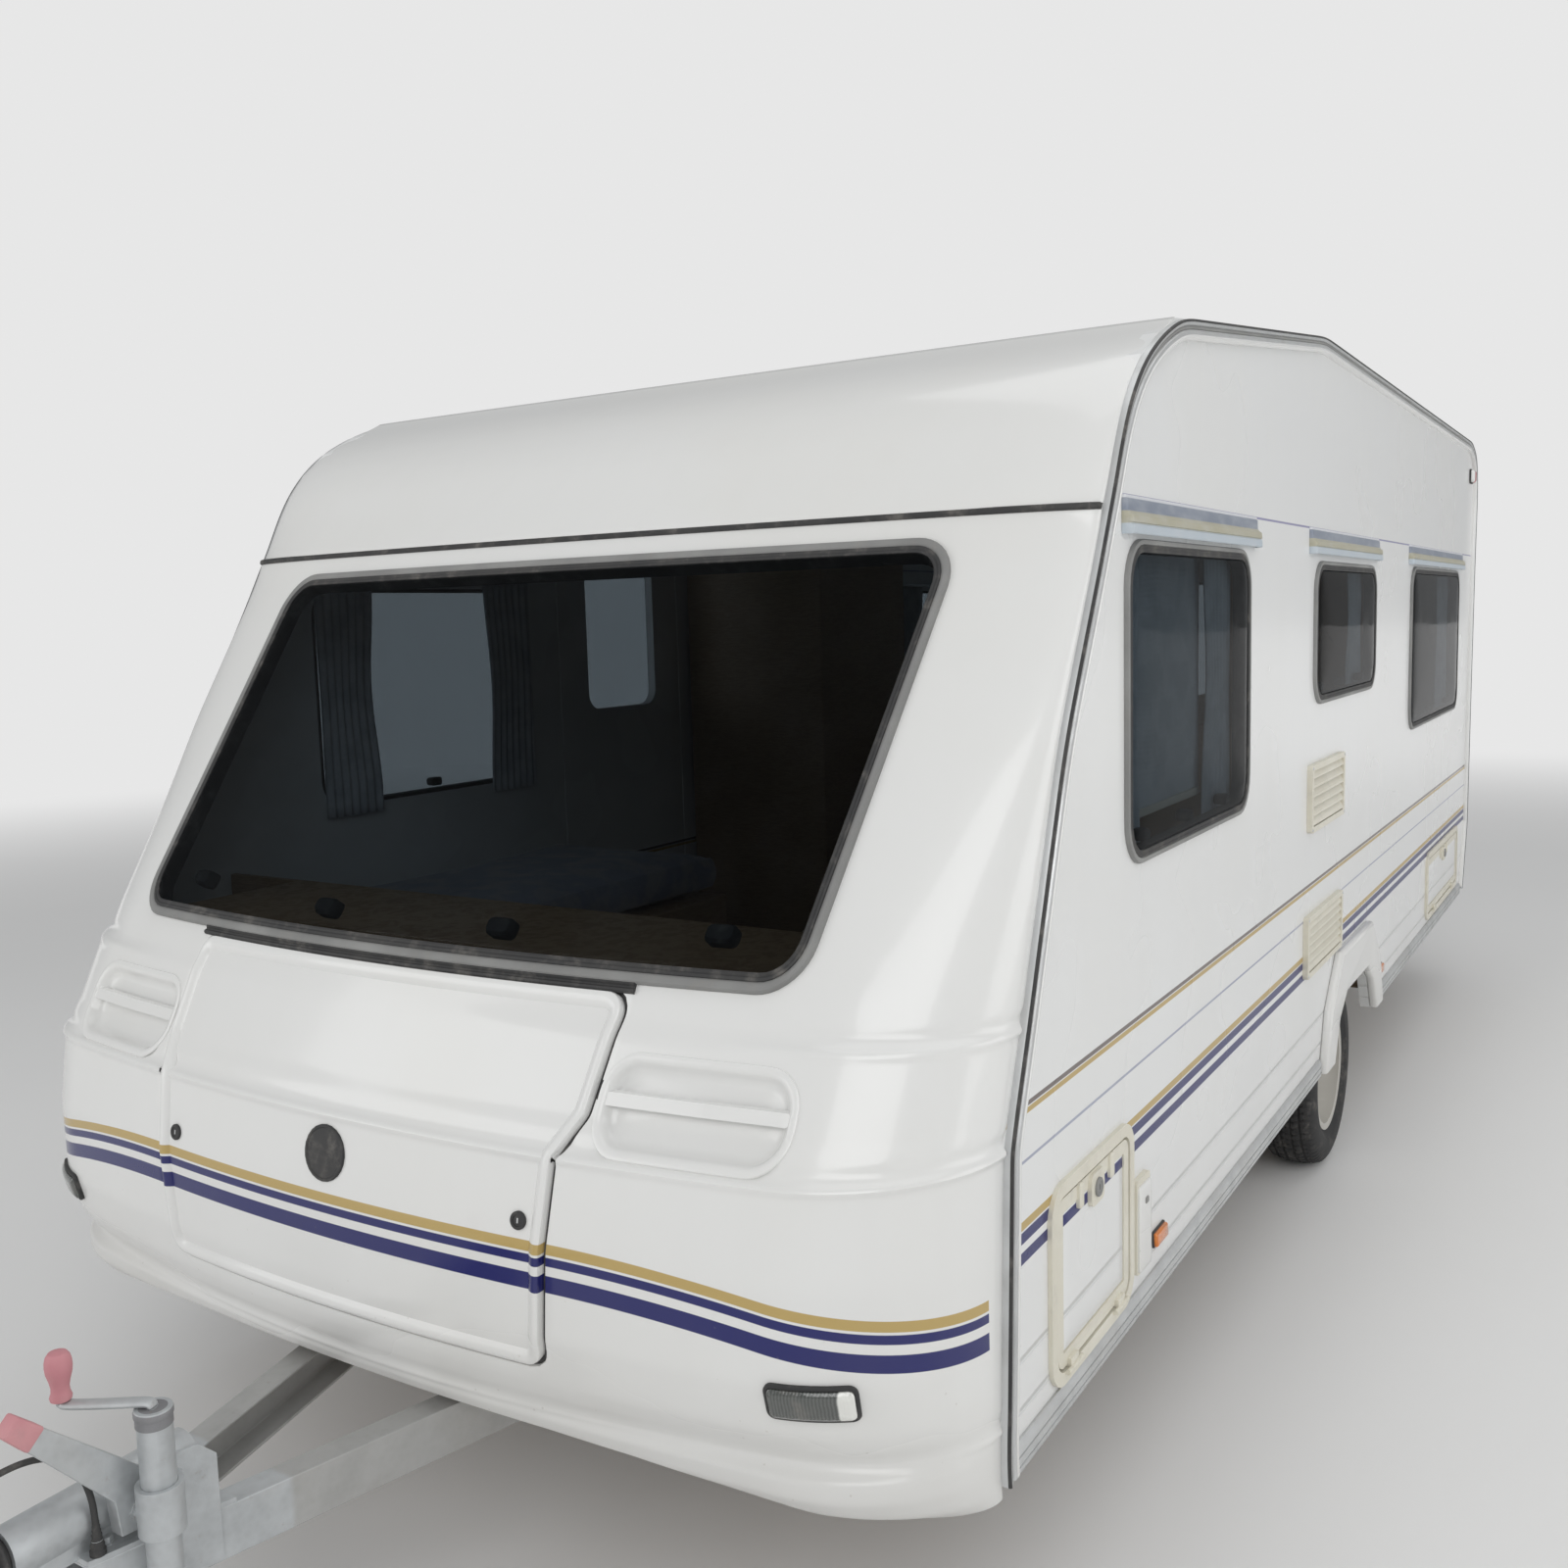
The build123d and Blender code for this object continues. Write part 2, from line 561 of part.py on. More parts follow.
with BuildPart() as rear_pane:
    add(end_skin(*REAR_ARGS, PANE_PROUD, PANE_PROUD - PANE_THICK))
    add(rear_prism(-SEAL_INTO - SEAT), mode=Mode.INTERSECT)

with BuildPart() as window_seals:
    add(front_lip.part)
    add(front_sleeve.part)
    add(rear_lip.part)
    add(rear_sleeve.part)
    add(wall_seals(1, LEFT_WINDOWS))
    add(wall_seals(-1, RIGHT_WINDOWS))
keep(window_seals.part, "window_seals")

with BuildPart() as windows:
    add(front_pane.part)
    add(rear_pane.part)
    add(wall_panes(1, LEFT_WINDOWS))
    add(wall_panes(-1, RIGHT_WINDOWS))
keep(windows.part, "windows")

# Entrance door with its own window, a moulded pocket handle outside
DOOR_WINDOW = (DOOR_BACK, 1720.0, 340.0, 560.0)
with BuildPart() as entrance_door:
    with BuildSketch(at_side(-INNER_Y)):
        with Locations((NOSE_X - DOOR_BACK, DOOR_FOOT_Z + DOOR_HEIGHT / 2)):
            RectangleRounded(DOOR_WIDTH, DOOR_HEIGHT, DOOR_CORNER)
        opening_cuts((DOOR_WINDOW,), 0.0, 50.0)
    extrude(amount=WALL)
    with BuildSketch(at_side(-HALF_WIDTH)):
        with Locations((NOSE_X - DOOR_BACK - DOOR_WIDTH / 2 + 60, 1330.0)):
            RectangleRounded(60, 170, 20)
    extrude(amount=14)
    for middle in DOOR_HINGE_ZS:
        low, high = middle - DOOR_BARREL / 2, middle + DOOR_BARREL / 2
        with Locations((DOOR_HINGE_X, DOOR_HINGE_Y, middle)):
            Cylinder(DOOR_HINGE_R, DOOR_BARREL)
        block(DOOR_HINGE_X - DOOR_HINGE_R + 1, DOOR_HINGE_X - GAP / 2, DOOR_HINGE_Y,
              -HALF_WIDTH, low, high)
        block(DOOR_HINGE_X - DOOR_LEAF, DOOR_HINGE_X - GAP / 2, -HALF_WIDTH - DOOR_LEAF_THICK,
              -HALF_WIDTH, middle - DOOR_BARREL, middle + DOOR_BARREL)
        with Locations((DOOR_HINGE_X, DOOR_HINGE_Y, middle)):
            Cylinder(3 + SEAT, 2 * DOOR_BARREL, mode=Mode.SUBTRACT)
keep(entrance_door.part, "entrance_door")

with BuildPart() as door_window:
    with BuildSketch(at_side(-HALF_WIDTH + 2)):
        opening_faces((DOOR_WINDOW,), -SEAT, 50.0)
    extrude(amount=PANE_THICK)
keep(door_window.part, "door_window")

# Service doors on the left side, each hinged at its foot inside a fixed frame
HATCH_HINGE_Y = HALF_WIDTH + 12.9


def hatch_hinge_z(hatch):
    """Height of the hinge pins of a service door, just under its foot."""
    return hatch[1] - hatch[3] / 2 + HATCH_FRAME / 2 - 1


def hatch_hinge_xs(hatch):
    """Middles of the two hinges of a service door."""
    return (NOSE_X - hatch[0] - 0.3 * hatch[2], NOSE_X - hatch[0] + 0.3 * hatch[2])


with BuildPart() as hatch_frames:
    with BuildSketch(at_side(HALF_WIDTH)):
        opening_faces((FRONT_HATCH, REAR_HATCH), 8.0, HATCH_CORNER)
        opening_cuts((FRONT_HATCH, REAR_HATCH), -HATCH_FRAME / 2, HATCH_CORNER)
    extrude(amount=-8)
    with BuildSketch(at_side(HALF_WIDTH)):
        opening_faces((FRONT_HATCH, REAR_HATCH), -SEAT, HATCH_CORNER)
        opening_cuts((FRONT_HATCH, REAR_HATCH), -HATCH_FRAME / 2, HATCH_CORNER)
    extrude(amount=WALL)
    with BuildSketch(at_side(HALF_WIDTH)):
        opening_faces((INLET,), 0.0, 8.0)
    extrude(amount=-10)
    for hatch in (FRONT_HATCH, REAR_HATCH):
        hinge_z = hatch_hinge_z(hatch)
        for middle in hatch_hinge_xs(hatch):
            for step in (-BARREL_STEP, BARREL_STEP):
                x_low = middle + step - BARREL_SHORT / 2
                x_high = middle + step + BARREL_SHORT / 2
                barrel_x(middle + step, HATCH_HINGE_Y, hinge_z, BARREL_SHORT, BARREL_R)
                block(x_low, x_high, HALF_WIDTH + 4, HATCH_HINGE_Y, hinge_z - 4.5, hinge_z)
            barrel_x(middle, HATCH_HINGE_Y, hinge_z, 2 * BARREL_STEP + BARREL_SHORT, PIN_R)
keep(hatch_frames.part, "hatch_frames")
for name, hatch in (("service_door_front", FRONT_HATCH), ("service_door_rear", REAR_HATCH)):
    hinge_z = hatch_hinge_z(hatch)
    with BuildPart() as service_door:
        with BuildSketch(at_side(HALF_WIDTH - 16)):
            opening_faces((hatch,), -HATCH_FRAME / 2 - GAP, HATCH_CORNER)
        extrude(amount=-22)
        with BuildSketch(at_side(HALF_WIDTH + 6 - HATCH_INSET)):
            opening_faces((hatch,), -HATCH_FRAME / 2 - GAP - HATCH_BORDER, HATCH_CORNER)
        extrude(amount=-HATCH_INSET, mode=Mode.SUBTRACT)
        with BuildSketch(at_side(HALF_WIDTH + 1)):
            with Locations((NOSE_X - hatch[0], hatch[1] + hatch[3] / 2 - HATCH_FRAME / 2 - 36)):
                RectangleRounded(62, 56, 12)
        extrude(amount=-11)
        for middle in hatch_hinge_xs(hatch):
            x_low, x_high = middle - BARREL_LONG / 2, middle + BARREL_LONG / 2
            barrel_x(middle, HATCH_HINGE_Y, hinge_z, BARREL_LONG, BARREL_R)
            block(x_low, x_high, HALF_WIDTH + 4, HATCH_HINGE_Y, hinge_z + 1.5, hinge_z + 16)
            barrel_x(middle, HATCH_HINGE_Y, hinge_z, BARREL_LONG, PIN_R + SEAT, Mode.SUBTRACT)
    keep(service_door.part, name)

# Louvred vents behind the refrigerator: middle behind the nose, height, length, height
VENTS = ((2568.0, 1196.0, 425.0, 178.0), (2553.0, 806.0, 450.0, 165.0))
VENT_SLATS = 6
with BuildPart() as fridge_vents:
    for back, height, length, tall in VENTS:
        with BuildSketch(at_side(HALF_WIDTH)):
            with Locations((NOSE_X - back, height)):
                RectangleRounded(length, tall, 12)
        extrude(amount=-14)
        with BuildSketch(at_side(HALF_WIDTH + 4)):
            with Locations((NOSE_X - back, height)):
                RectangleRounded(length - 36, tall - 30, 8)
        extrude(amount=-10, mode=Mode.SUBTRACT)
        pitch = (tall - 30) / VENT_SLATS
        with BuildSketch(Plane.YZ.offset(NOSE_X - back - (length - 36) / 2)):
            for slat in range(VENT_SLATS):
                foot = height - (tall - 30) / 2 + slat * pitch
                with BuildLine():
                    Polyline((HALF_WIDTH + 4, foot + pitch), (HALF_WIDTH + 4, foot + pitch - 5),
                             (HALF_WIDTH + 12, foot + 3), (HALF_WIDTH + 12, foot + 9), close=True)
                make_face()
        extrude(amount=length - 36)
keep(fridge_vents.part, "fridge_vents")

# Awning rail round each side wall, and the rail along its foot
AWNING_WIDTH = 38.0
AWNING_PROUD = 14.0
with BuildPart() as awning_rail:
    with BuildSketch(at_side(HALF_WIDTH)):
        with BuildLine():
            Polyline(*SIDE_OUTLINE, close=True)
        make_face()
        with BuildLine(mode=Mode.PRIVATE) as inner:
            Polyline(*SIDE_OUTLINE, close=True)
            offset(amount=-AWNING_WIDTH, kind=Kind.INTERSECTION, mode=Mode.REPLACE)
        make_face(inner.edges(), mode=Mode.SUBTRACT)
        with Locations(((FOOT_FRONT_X + FOOT_REAR_X) / 2, WALL_FOOT_Z)):
            Rectangle(FOOT_FRONT_X - FOOT_REAR_X - 2 * AWNING_WIDTH, 4 * AWNING_WIDTH,
                      mode=Mode.SUBTRACT)
    extrude(amount=-AWNING_PROUD)

FOOT_RAIL_TALL = 42.0
with BuildPart() as skirt_rail:
    with BuildSketch(Plane.YZ.offset(FOOT_REAR_X + AWNING_WIDTH + SEAT)):
        with BuildLine():
            Polyline((HALF_WIDTH, WALL_FOOT_Z - 6), (HALF_WIDTH + 8, WALL_FOOT_Z - 6),
                     (HALF_WIDTH + 10, WALL_FOOT_Z + FOOT_RAIL_TALL - 12),
                     (HALF_WIDTH + 4, WALL_FOOT_Z + FOOT_RAIL_TALL),
                     (HALF_WIDTH, WALL_FOOT_Z + FOOT_RAIL_TALL), close=True)
        make_face()
    extrude(amount=FOOT_FRONT_X - FOOT_REAR_X - 2 * AWNING_WIDTH - 2 * SEAT)
    with Locations((AXLE_X, HALF_WIDTH, WALL_FOOT_Z)):
        Box(2 * ARCH_OUT_HALF + 2 * SEAT, 100, 400, mode=Mode.SUBTRACT)
with BuildPart() as wall_rails:
    add(both_sides(awning_rail.part))
    add(both_sides(skirt_rail.part))
keep(wall_rails.part, "wall_rails")

# Moulded surround of the wheel opening, highest at its lip
ARCH_PROUD = 25.0
with BuildPart() as arch_trim:
    with BuildSketch(at_side(HALF_WIDTH)):
        with BuildLine():
            Polyline((AXLE_X - ARCH_OUT_HALF, WALL_FOOT_Z), (AXLE_X - ARCH_OUT_HALF + 60, 575),
                     (AXLE_X - ARCH_OUT_TOP, ARCH_OUT_Z), (AXLE_X + ARCH_OUT_TOP, ARCH_OUT_Z),
                     (AXLE_X + ARCH_OUT_HALF - 60, 575), (AXLE_X + ARCH_OUT_HALF, WALL_FOOT_Z),
                     close=True)
        make_face()
        with BuildLine(mode=Mode.PRIVATE) as arch:
            Polyline(*arch_points(0.0), close=True)
        make_face(arch.edges(), mode=Mode.SUBTRACT)
    extrude(amount=-ARCH_PROUD)
    outer = arch_trim.faces().sort_by(Axis.Y)[-1]
    chamfer(outer.outer_wire().edges().filter_by(lambda e: e.center().Z > WALL_FOOT_Z + 1), 8)
keep(both_sides(arch_trim.part), "wheel_arch_trims")

# Stepped gutter and hinge strip over each window: middle behind the nose, length
GUTTER_Z = (1826.0, 1896.0)
GUTTER_PROUD = 20.0
LEFT_GUTTERS = ((1348.0, 900.0), (2826.0, 960.0), (4594.0, 1370.0))
RIGHT_GUTTERS = ((1300.0, 840.0), (3420.0, 700.0), (4594.0, 1370.0))
with BuildPart() as window_gutters:
    for toward, table in ((1, LEFT_GUTTERS), (-1, RIGHT_GUTTERS)):
        for back, length in table:
            with BuildSketch(Plane.YZ.offset(NOSE_X - back - length / 2)):
                with BuildLine():
                    Polyline((toward * HALF_WIDTH, GUTTER_Z[0] + 12),
                             (toward * (HALF_WIDTH + GUTTER_PROUD), GUTTER_Z[0]),
                             (toward * (HALF_WIDTH + GUTTER_PROUD), GUTTER_Z[0] + 34),
                             (toward * (HALF_WIDTH + 10), GUTTER_Z[0] + 42),
                             (toward * (HALF_WIDTH + 8), GUTTER_Z[1]),
                             (toward * HALF_WIDTH, GUTTER_Z[1]), close=True)
                make_face()
            extrude(amount=length)
keep(window_gutters.part, "window_gutters")

# Lamps and markers
with BuildPart() as front_lamps:
    add(end_skin(*FRONT_ARGS, 14.0, 0.0))
    add(front_box(805, 925, 592, 648, 8), mode=Mode.INTERSECT)
with BuildPart() as rear_lamps:
    add(end_skin(*REAR_ARGS, 30.0, 0.0))
    with BuildSketch(Plane.YZ.offset(TAIL_X - 100), mode=Mode.PRIVATE) as lamp_outlines:
        for side in (-1, 1):
            with Locations((side * 780.0, 640.0)):
                RectangleRounded(260, 90, 16)
    extrude(lamp_outlines.sketch, amount=400, mode=Mode.INTERSECT)
SIDE_MARKERS = ((1100.0, 510.0, 76.0, 34.0), (3470.0, 500.0, 76.0, 34.0))
with BuildPart() as side_marker:
    with BuildSketch(at_side(HALF_WIDTH)):
        opening_faces(SIDE_MARKERS, 0.0, 6.0)
    extrude(amount=-12)
with BuildPart() as high_marker:
    with BuildSketch(at_side(HALF_WIDTH)):
        with Locations((TAIL_X + 190, 2235)):
            RectangleRounded(90, 60, 10)
    extrude(amount=-22)
with BuildPart() as position_lamps:
    add(front_lamps.part)
    add(both_sides(side_marker.part))
keep(position_lamps.part, "position_lamps")
with BuildPart() as tail_lamps:
    add(rear_lamps.part)
    add(both_sides(high_marker.part))
keep(tail_lamps.part, "tail_lamps")
with BuildPart() as grab_handles:
    add(end_skin(*FRONT_ARGS, -1.0, -13.0))
    add(front_box(HANDLE_IN_Y, HANDLE_OUT_Y, 990, 1008, 4), mode=Mode.INTERSECT)
keep(grab_handles.part, "grab_handles")

# Roof light: a kerb round the opening and a domed lid hinged at its rear edge
roof_slope = (REAR_ROWS[-1][0] - ROOF_PEAK_Z) / (REAR_TOP_X - NOSE_X + ROOF_PEAK_BACK)
ROOFLIGHT_Z = ROOF_PEAK_Z + roof_slope * (ROOFLIGHT_X - NOSE_X + ROOF_PEAK_BACK) + 3.0
ROOFLIGHT_HINGE_X = ROOFLIGHT_X - ROOFLIGHT_SIZE / 2 - 51.0
ROOFLIGHT_HINGE_Z = ROOFLIGHT_Z + ROOFLIGHT_KERB
ROOFLIGHT_HINGE_YS = (-130.0, 130.0)
with BuildPart() as rooflight_frame:
    with BuildSketch(Plane.XY.offset(ROOFLIGHT_Z)):
        with Locations((ROOFLIGHT_X, 0)):
            RectangleRounded(ROOFLIGHT_SIZE + 90, ROOFLIGHT_SIZE + 90, 60)
            RectangleRounded(ROOFLIGHT_SIZE - 16, ROOFLIGHT_SIZE - 16, 34, mode=Mode.SUBTRACT)
    extrude(amount=ROOFLIGHT_KERB - 3)
    with BuildSketch(Plane.XY.offset(ROOFLIGHT_Z)):
        with Locations((ROOFLIGHT_X, 0)):
            RectangleRounded(ROOFLIGHT_SIZE - 1, ROOFLIGHT_SIZE - 1, 39.5)
            RectangleRounded(ROOFLIGHT_SIZE - 16, ROOFLIGHT_SIZE - 16, 34, mode=Mode.SUBTRACT)
    extrude(amount=-WALL - 3)
    for middle in ROOFLIGHT_HINGE_YS:
        for step in (-BARREL_STEP, BARREL_STEP):
            y_low = middle + step - BARREL_SHORT / 2
            y_high = middle + step + BARREL_SHORT / 2
            barrel_y(ROOFLIGHT_HINGE_X, middle + step, ROOFLIGHT_HINGE_Z, BARREL_SHORT, BARREL_R)
            block(ROOFLIGHT_HINGE_X, ROOFLIGHT_HINGE_X + 12, y_low, y_high,
                  ROOFLIGHT_HINGE_Z - 10, ROOFLIGHT_HINGE_Z - 2)
        barrel_y(ROOFLIGHT_HINGE_X, middle, ROOFLIGHT_HINGE_Z,
                 2 * BARREL_STEP + BARREL_SHORT, PIN_R)
keep(rooflight_frame.part, "rooflight_frame")
with BuildPart() as rooflight_lid:
    with BuildSketch(Plane.XY.offset(ROOFLIGHT_Z + ROOFLIGHT_KERB)):
        with Locations((ROOFLIGHT_X, 0)):
            RectangleRounded(ROOFLIGHT_SIZE + 80, ROOFLIGHT_SIZE + 80, 56)
    with BuildSketch(Plane.XY.offset(ROOFLIGHT_Z + ROOFLIGHT_KERB + ROOFLIGHT_DOME)):
        with Locations((ROOFLIGHT_X, 0)):
            RectangleRounded(ROOFLIGHT_SIZE - 20, ROOFLIGHT_SIZE - 20, 70)
    loft()
    with BuildSketch(Plane.XY.offset(ROOFLIGHT_Z + ROOFLIGHT_KERB)):
        with Locations((ROOFLIGHT_X, 0)):
            RectangleRounded(ROOFLIGHT_SIZE + 72, ROOFLIGHT_SIZE + 72, 52)
    with BuildSketch(Plane.XY.offset(ROOFLIGHT_Z + ROOFLIGHT_KERB + ROOFLIGHT_DOME - 4)):
        with Locations((ROOFLIGHT_X, 0)):
            RectangleRounded(ROOFLIGHT_SIZE - 28, ROOFLIGHT_SIZE - 28, 66)
    loft(mode=Mode.SUBTRACT)
    for middle in ROOFLIGHT_HINGE_YS:
        y_low, y_high = middle - BARREL_LONG / 2, middle + BARREL_LONG / 2
        barrel_y(ROOFLIGHT_HINGE_X, middle, ROOFLIGHT_HINGE_Z, BARREL_LONG, BARREL_R)
        block(ROOFLIGHT_HINGE_X, ROOFLIGHT_HINGE_X + 16, y_low, y_high,
              ROOFLIGHT_HINGE_Z, ROOFLIGHT_HINGE_Z + 4)
        barrel_y(ROOFLIGHT_HINGE_X, middle, ROOFLIGHT_HINGE_Z, BARREL_LONG, PIN_R + SEAT,
                 Mode.SUBTRACT)
keep(rooflight_lid.part, "rooflight_lid")

# Floor with its two wheel boxes
FLOOR_REAR_X = TAIL_X + 300.0
FLOOR_NOSE_BACK = 120.0   # clear of the front wall's inside
FLOOR_KNEE_BACK = 170.0
FLOOR_KNEE_Y = 780.0
FLOOR_SIDE_BACK = 395.0
BOX_HALF = 345.0
BOX_IN_Y = 775.0
BOX_TOP_Z = 690.0
BOX_WALL = 4.0
with BuildPart() as floor:
    with BuildSketch(Plane.XY.offset(FLOOR_Z)):
        with BuildLine():
            Polyline((FLOOR_REAR_X, -INNER_Y), (NOSE_X - FLOOR_SIDE_BACK, -INNER_Y),
                     (NOSE_X - FLOOR_KNEE_BACK, -FLOOR_KNEE_Y),
                     (NOSE_X - FLOOR_NOSE_BACK, -FLOOR_KNEE_Y / 2),
                     (NOSE_X - FLOOR_NOSE_BACK, FLOOR_KNEE_Y / 2),
                     (NOSE_X - FLOOR_KNEE_BACK, FLOOR_KNEE_Y),
                     (NOSE_X - FLOOR_SIDE_BACK, INNER_Y), (FLOOR_REAR_X, INNER_Y), close=True)
        make_face()
    extrude(amount=FLOOR_THICK)
    for side in (-1, 1):
        middle = side * (INNER_Y + BOX_IN_Y) / 2
        width = INNER_Y - BOX_IN_Y
        with BuildSketch(Plane.XY.offset(FLOOR_Z)):
            with Locations((AXLE_X, middle)):
                Rectangle(2 * BOX_HALF, width)
        extrude(amount=BOX_TOP_Z - FLOOR_Z)
        with BuildSketch(Plane.XY.offset(FLOOR_Z)):
            with Locations((AXLE_X, middle + side * BOX_WALL)):
                Rectangle(2 * BOX_HALF - 2 * BOX_WALL, width + BOX_WALL)
        extrude(amount=BOX_TOP_Z - FLOOR_Z - BOX_WALL, mode=Mode.SUBTRACT)
keep(floor.part, "floor")

# Bulkhead of the gas locker behind the nose, with a top that closes the locker under the window
FLOOR_TOP_Z = FLOOR_Z + FLOOR_THICK
BOARD = 16.0              # boards of the bulkhead and the furniture
LOCKER_BACK = 640.0
LOCKER_TOP_Z = 1146.0
LOCKER_TOP_BACK = 310.0
with BuildPart() as gas_locker:
    block(NOSE_X - LOCKER_BACK, NOSE_X - LOCKER_BACK + BOARD, -INNER_Y + 4, INNER_Y - 4,
          FLOOR_TOP_Z, LOCKER_TOP_Z)
    block(NOSE_X - LOCKER_BACK, NOSE_X - LOCKER_TOP_BACK, -FLOOR_KNEE_Y, FLOOR_KNEE_Y,
          LOCKER_TOP_Z - BOARD, LOCKER_TOP_Z)
keep(gas_locker.part, "gas_locker")

# Chassis: two channel rails under the floor, cross members, and the tapering drawbar rails
RAIL_FLANGE = 50.0
RAIL_FRONT_X = NOSE_X - 1350.0
RAIL_REAR_X = TAIL_X + 420.0
with BuildPart() as chassis_rail:
    with BuildSketch(Plane.YZ.offset(RAIL_REAR_X)):
        with Locations((RAIL_Y, RAIL_TOP_Z - RAIL_HEIGHT / 2)):
            Rectangle(RAIL_FLANGE, RAIL_HEIGHT)
            with Locations((RAIL_SECTION, 0)):
                Rectangle(RAIL_FLANGE, RAIL_HEIGHT - 2 * RAIL_SECTION, mode=Mode.SUBTRACT)
    extrude(amount=RAIL_FRONT_X - RAIL_REAR_X)

CROSS_BACKS = (1500.0, 2500.0, 3700.0, 5000.0)
with BuildPart() as cross_members:
    for back in CROSS_BACKS:
        with BuildSketch(Plane.XZ.offset(RAIL_Y - RAIL_FLANGE / 2)):
            with Locations((NOSE_X - back, FLOOR_Z - 35)):
                Rectangle(45, 70)
                with Locations((4, 0)):
                    Rectangle(45, 62, mode=Mode.SUBTRACT)
        extrude(amount=-2 * RAIL_Y + RAIL_FLANGE)
with BuildPart() as chassis_frame:
    add(both_sides(chassis_rail.part))
    add(cross_members.part)
keep(chassis_frame.part, "chassis_frame")


def drawbar_y(x):
    """Outer face of a drawbar rail at x."""
    return APEX_Y + AFRAME_SLOPE * (APEX_X - x)


AFRAME_THICK = 50.0
DRAWBAR_REAR_X = APEX_X - (RAIL_Y - RAIL_FLANGE / 2 - APEX_Y - SEAT) / AFRAME_SLOPE
with BuildPart() as drawbar_rail:
    for inset, low, mode in ((0.0, 0.0, Mode.ADD), (5.0, 5.0, Mode.SUBTRACT)):
        with BuildSketch(Plane.XY.offset(AFRAME_TOP_Z - AFRAME_HEIGHT + low)):
            with BuildLine():
                Polyline((DRAWBAR_REAR_X, drawbar_y(DRAWBAR_REAR_X) - inset),
                         (APEX_X, APEX_Y - inset), (APEX_X, SEAT - inset),
                         (DRAWBAR_REAR_X, drawbar_y(DRAWBAR_REAR_X) - AFRAME_THICK - inset),
                         close=True)
            make_face()
        extrude(amount=AFRAME_HEIGHT - 2 * low, mode=mode)
keep(both_sides(drawbar_rail.part), "drawbar_rails")

# Axle tube with its two brackets, and the trailing arms that carry the stub axles
AXLE_TUBE_X = AXLE_X + 165.0
AXLE_TUBE_Z = 288.0
AXLE_TUBE_R = 46.0
ARM_Y = 690.0
ARM_THICK = 22.0
DRUM_IN_Y = 742.0
DRUM_OUT_Y = 862.0
DRUM_R = 108.0
STUB_R = 17.0
with BuildPart() as axle:
    with BuildSketch(Plane.XZ.offset(-ARM_Y)):
        with Locations((AXLE_TUBE_X, AXLE_TUBE_Z)):
            RegularPolygon(AXLE_TUBE_R, 6)
            RegularPolygon(AXLE_TUBE_R - 6, 6, mode=Mode.SUBTRACT)
    extrude(amount=2 * ARM_Y)
    for side in (-1, 1):
        with BuildSketch(at_side(side * (RAIL_Y - RAIL_FLANGE / 2))):
            with BuildLine():
                Polyline((AXLE_TUBE_X - 90, RAIL_TOP_Z - 40), (AXLE_TUBE_X + 90, RAIL_TOP_Z - 40),
                         (AXLE_TUBE_X + 60, AXLE_TUBE_Z - 20), (AXLE_TUBE_X - 60, AXLE_TUBE_Z - 20),
                         close=True)
            make_face()
            with Locations((AXLE_TUBE_X, AXLE_TUBE_Z)):
                RegularPolygon(AXLE_TUBE_R, 6, mode=Mode.SUBTRACT)
        extrude(amount=side * 8)
keep(axle.part, "axle")
with BuildPart() as trailing_arm:
    with BuildSketch(at_side(ARM_Y + SEAT)):
        with Locations((AXLE_TUBE_X, AXLE_TUBE_Z)):
            Circle(52)
        with Locations((AXLE_X, TYRE_R)):
            Circle(40)
        with BuildLine():
            Polyline((AXLE_TUBE_X, AXLE_TUBE_Z + 50), (AXLE_X, TYRE_R + 38),
                     (AXLE_X, TYRE_R - 38), (AXLE_TUBE_X, AXLE_TUBE_Z - 50), close=True)
        make_face()
    extrude(amount=-ARM_THICK)
    with BuildSketch(at_side(ARM_Y + SEAT + ARM_THICK)):
        with Locations((AXLE_X, TYRE_R)):
            Circle(DRUM_R - 4)
    extrude(amount=-(DRUM_IN_Y - 6 - ARM_Y - SEAT - ARM_THICK))
    with BuildSketch(at_side(ARM_Y + SEAT + ARM_THICK)):
        with Locations((AXLE_X, TYRE_R)):
            Circle(STUB_R)
    extrude(amount=-(DRUM_OUT_Y - 20 - ARM_Y - ARM_THICK))
keep(both_sides(trailing_arm.part), "trailing_arms")

# Wheels: drum and hub, pressed steel rim and tyre, turned about the stub axle
RIM_IN_Y, RIM_OUT_Y = 850.0, 978.0
TYRE_IN_Y = TYRE_FACE_Y - TYRE_WIDTH
RIM_WELL_R = 148.0
BEAD_R = 168.0


def turned(points, side):
    """Revolve a half-section given as distance along Y and radius about the stub axle."""
    with BuildPart() as solid:
        with BuildSketch(Plane(origin=(AXLE_X, 0, TYRE_R), x_dir=(0, side, 0), z_dir=(side, 0, 0))):
            with BuildLine():
                Polyline(*points, close=True)
            make_face()
        revolve(axis=Axis((AXLE_X, 0, TYRE_R), (0, 1, 0)))
    return solid.part


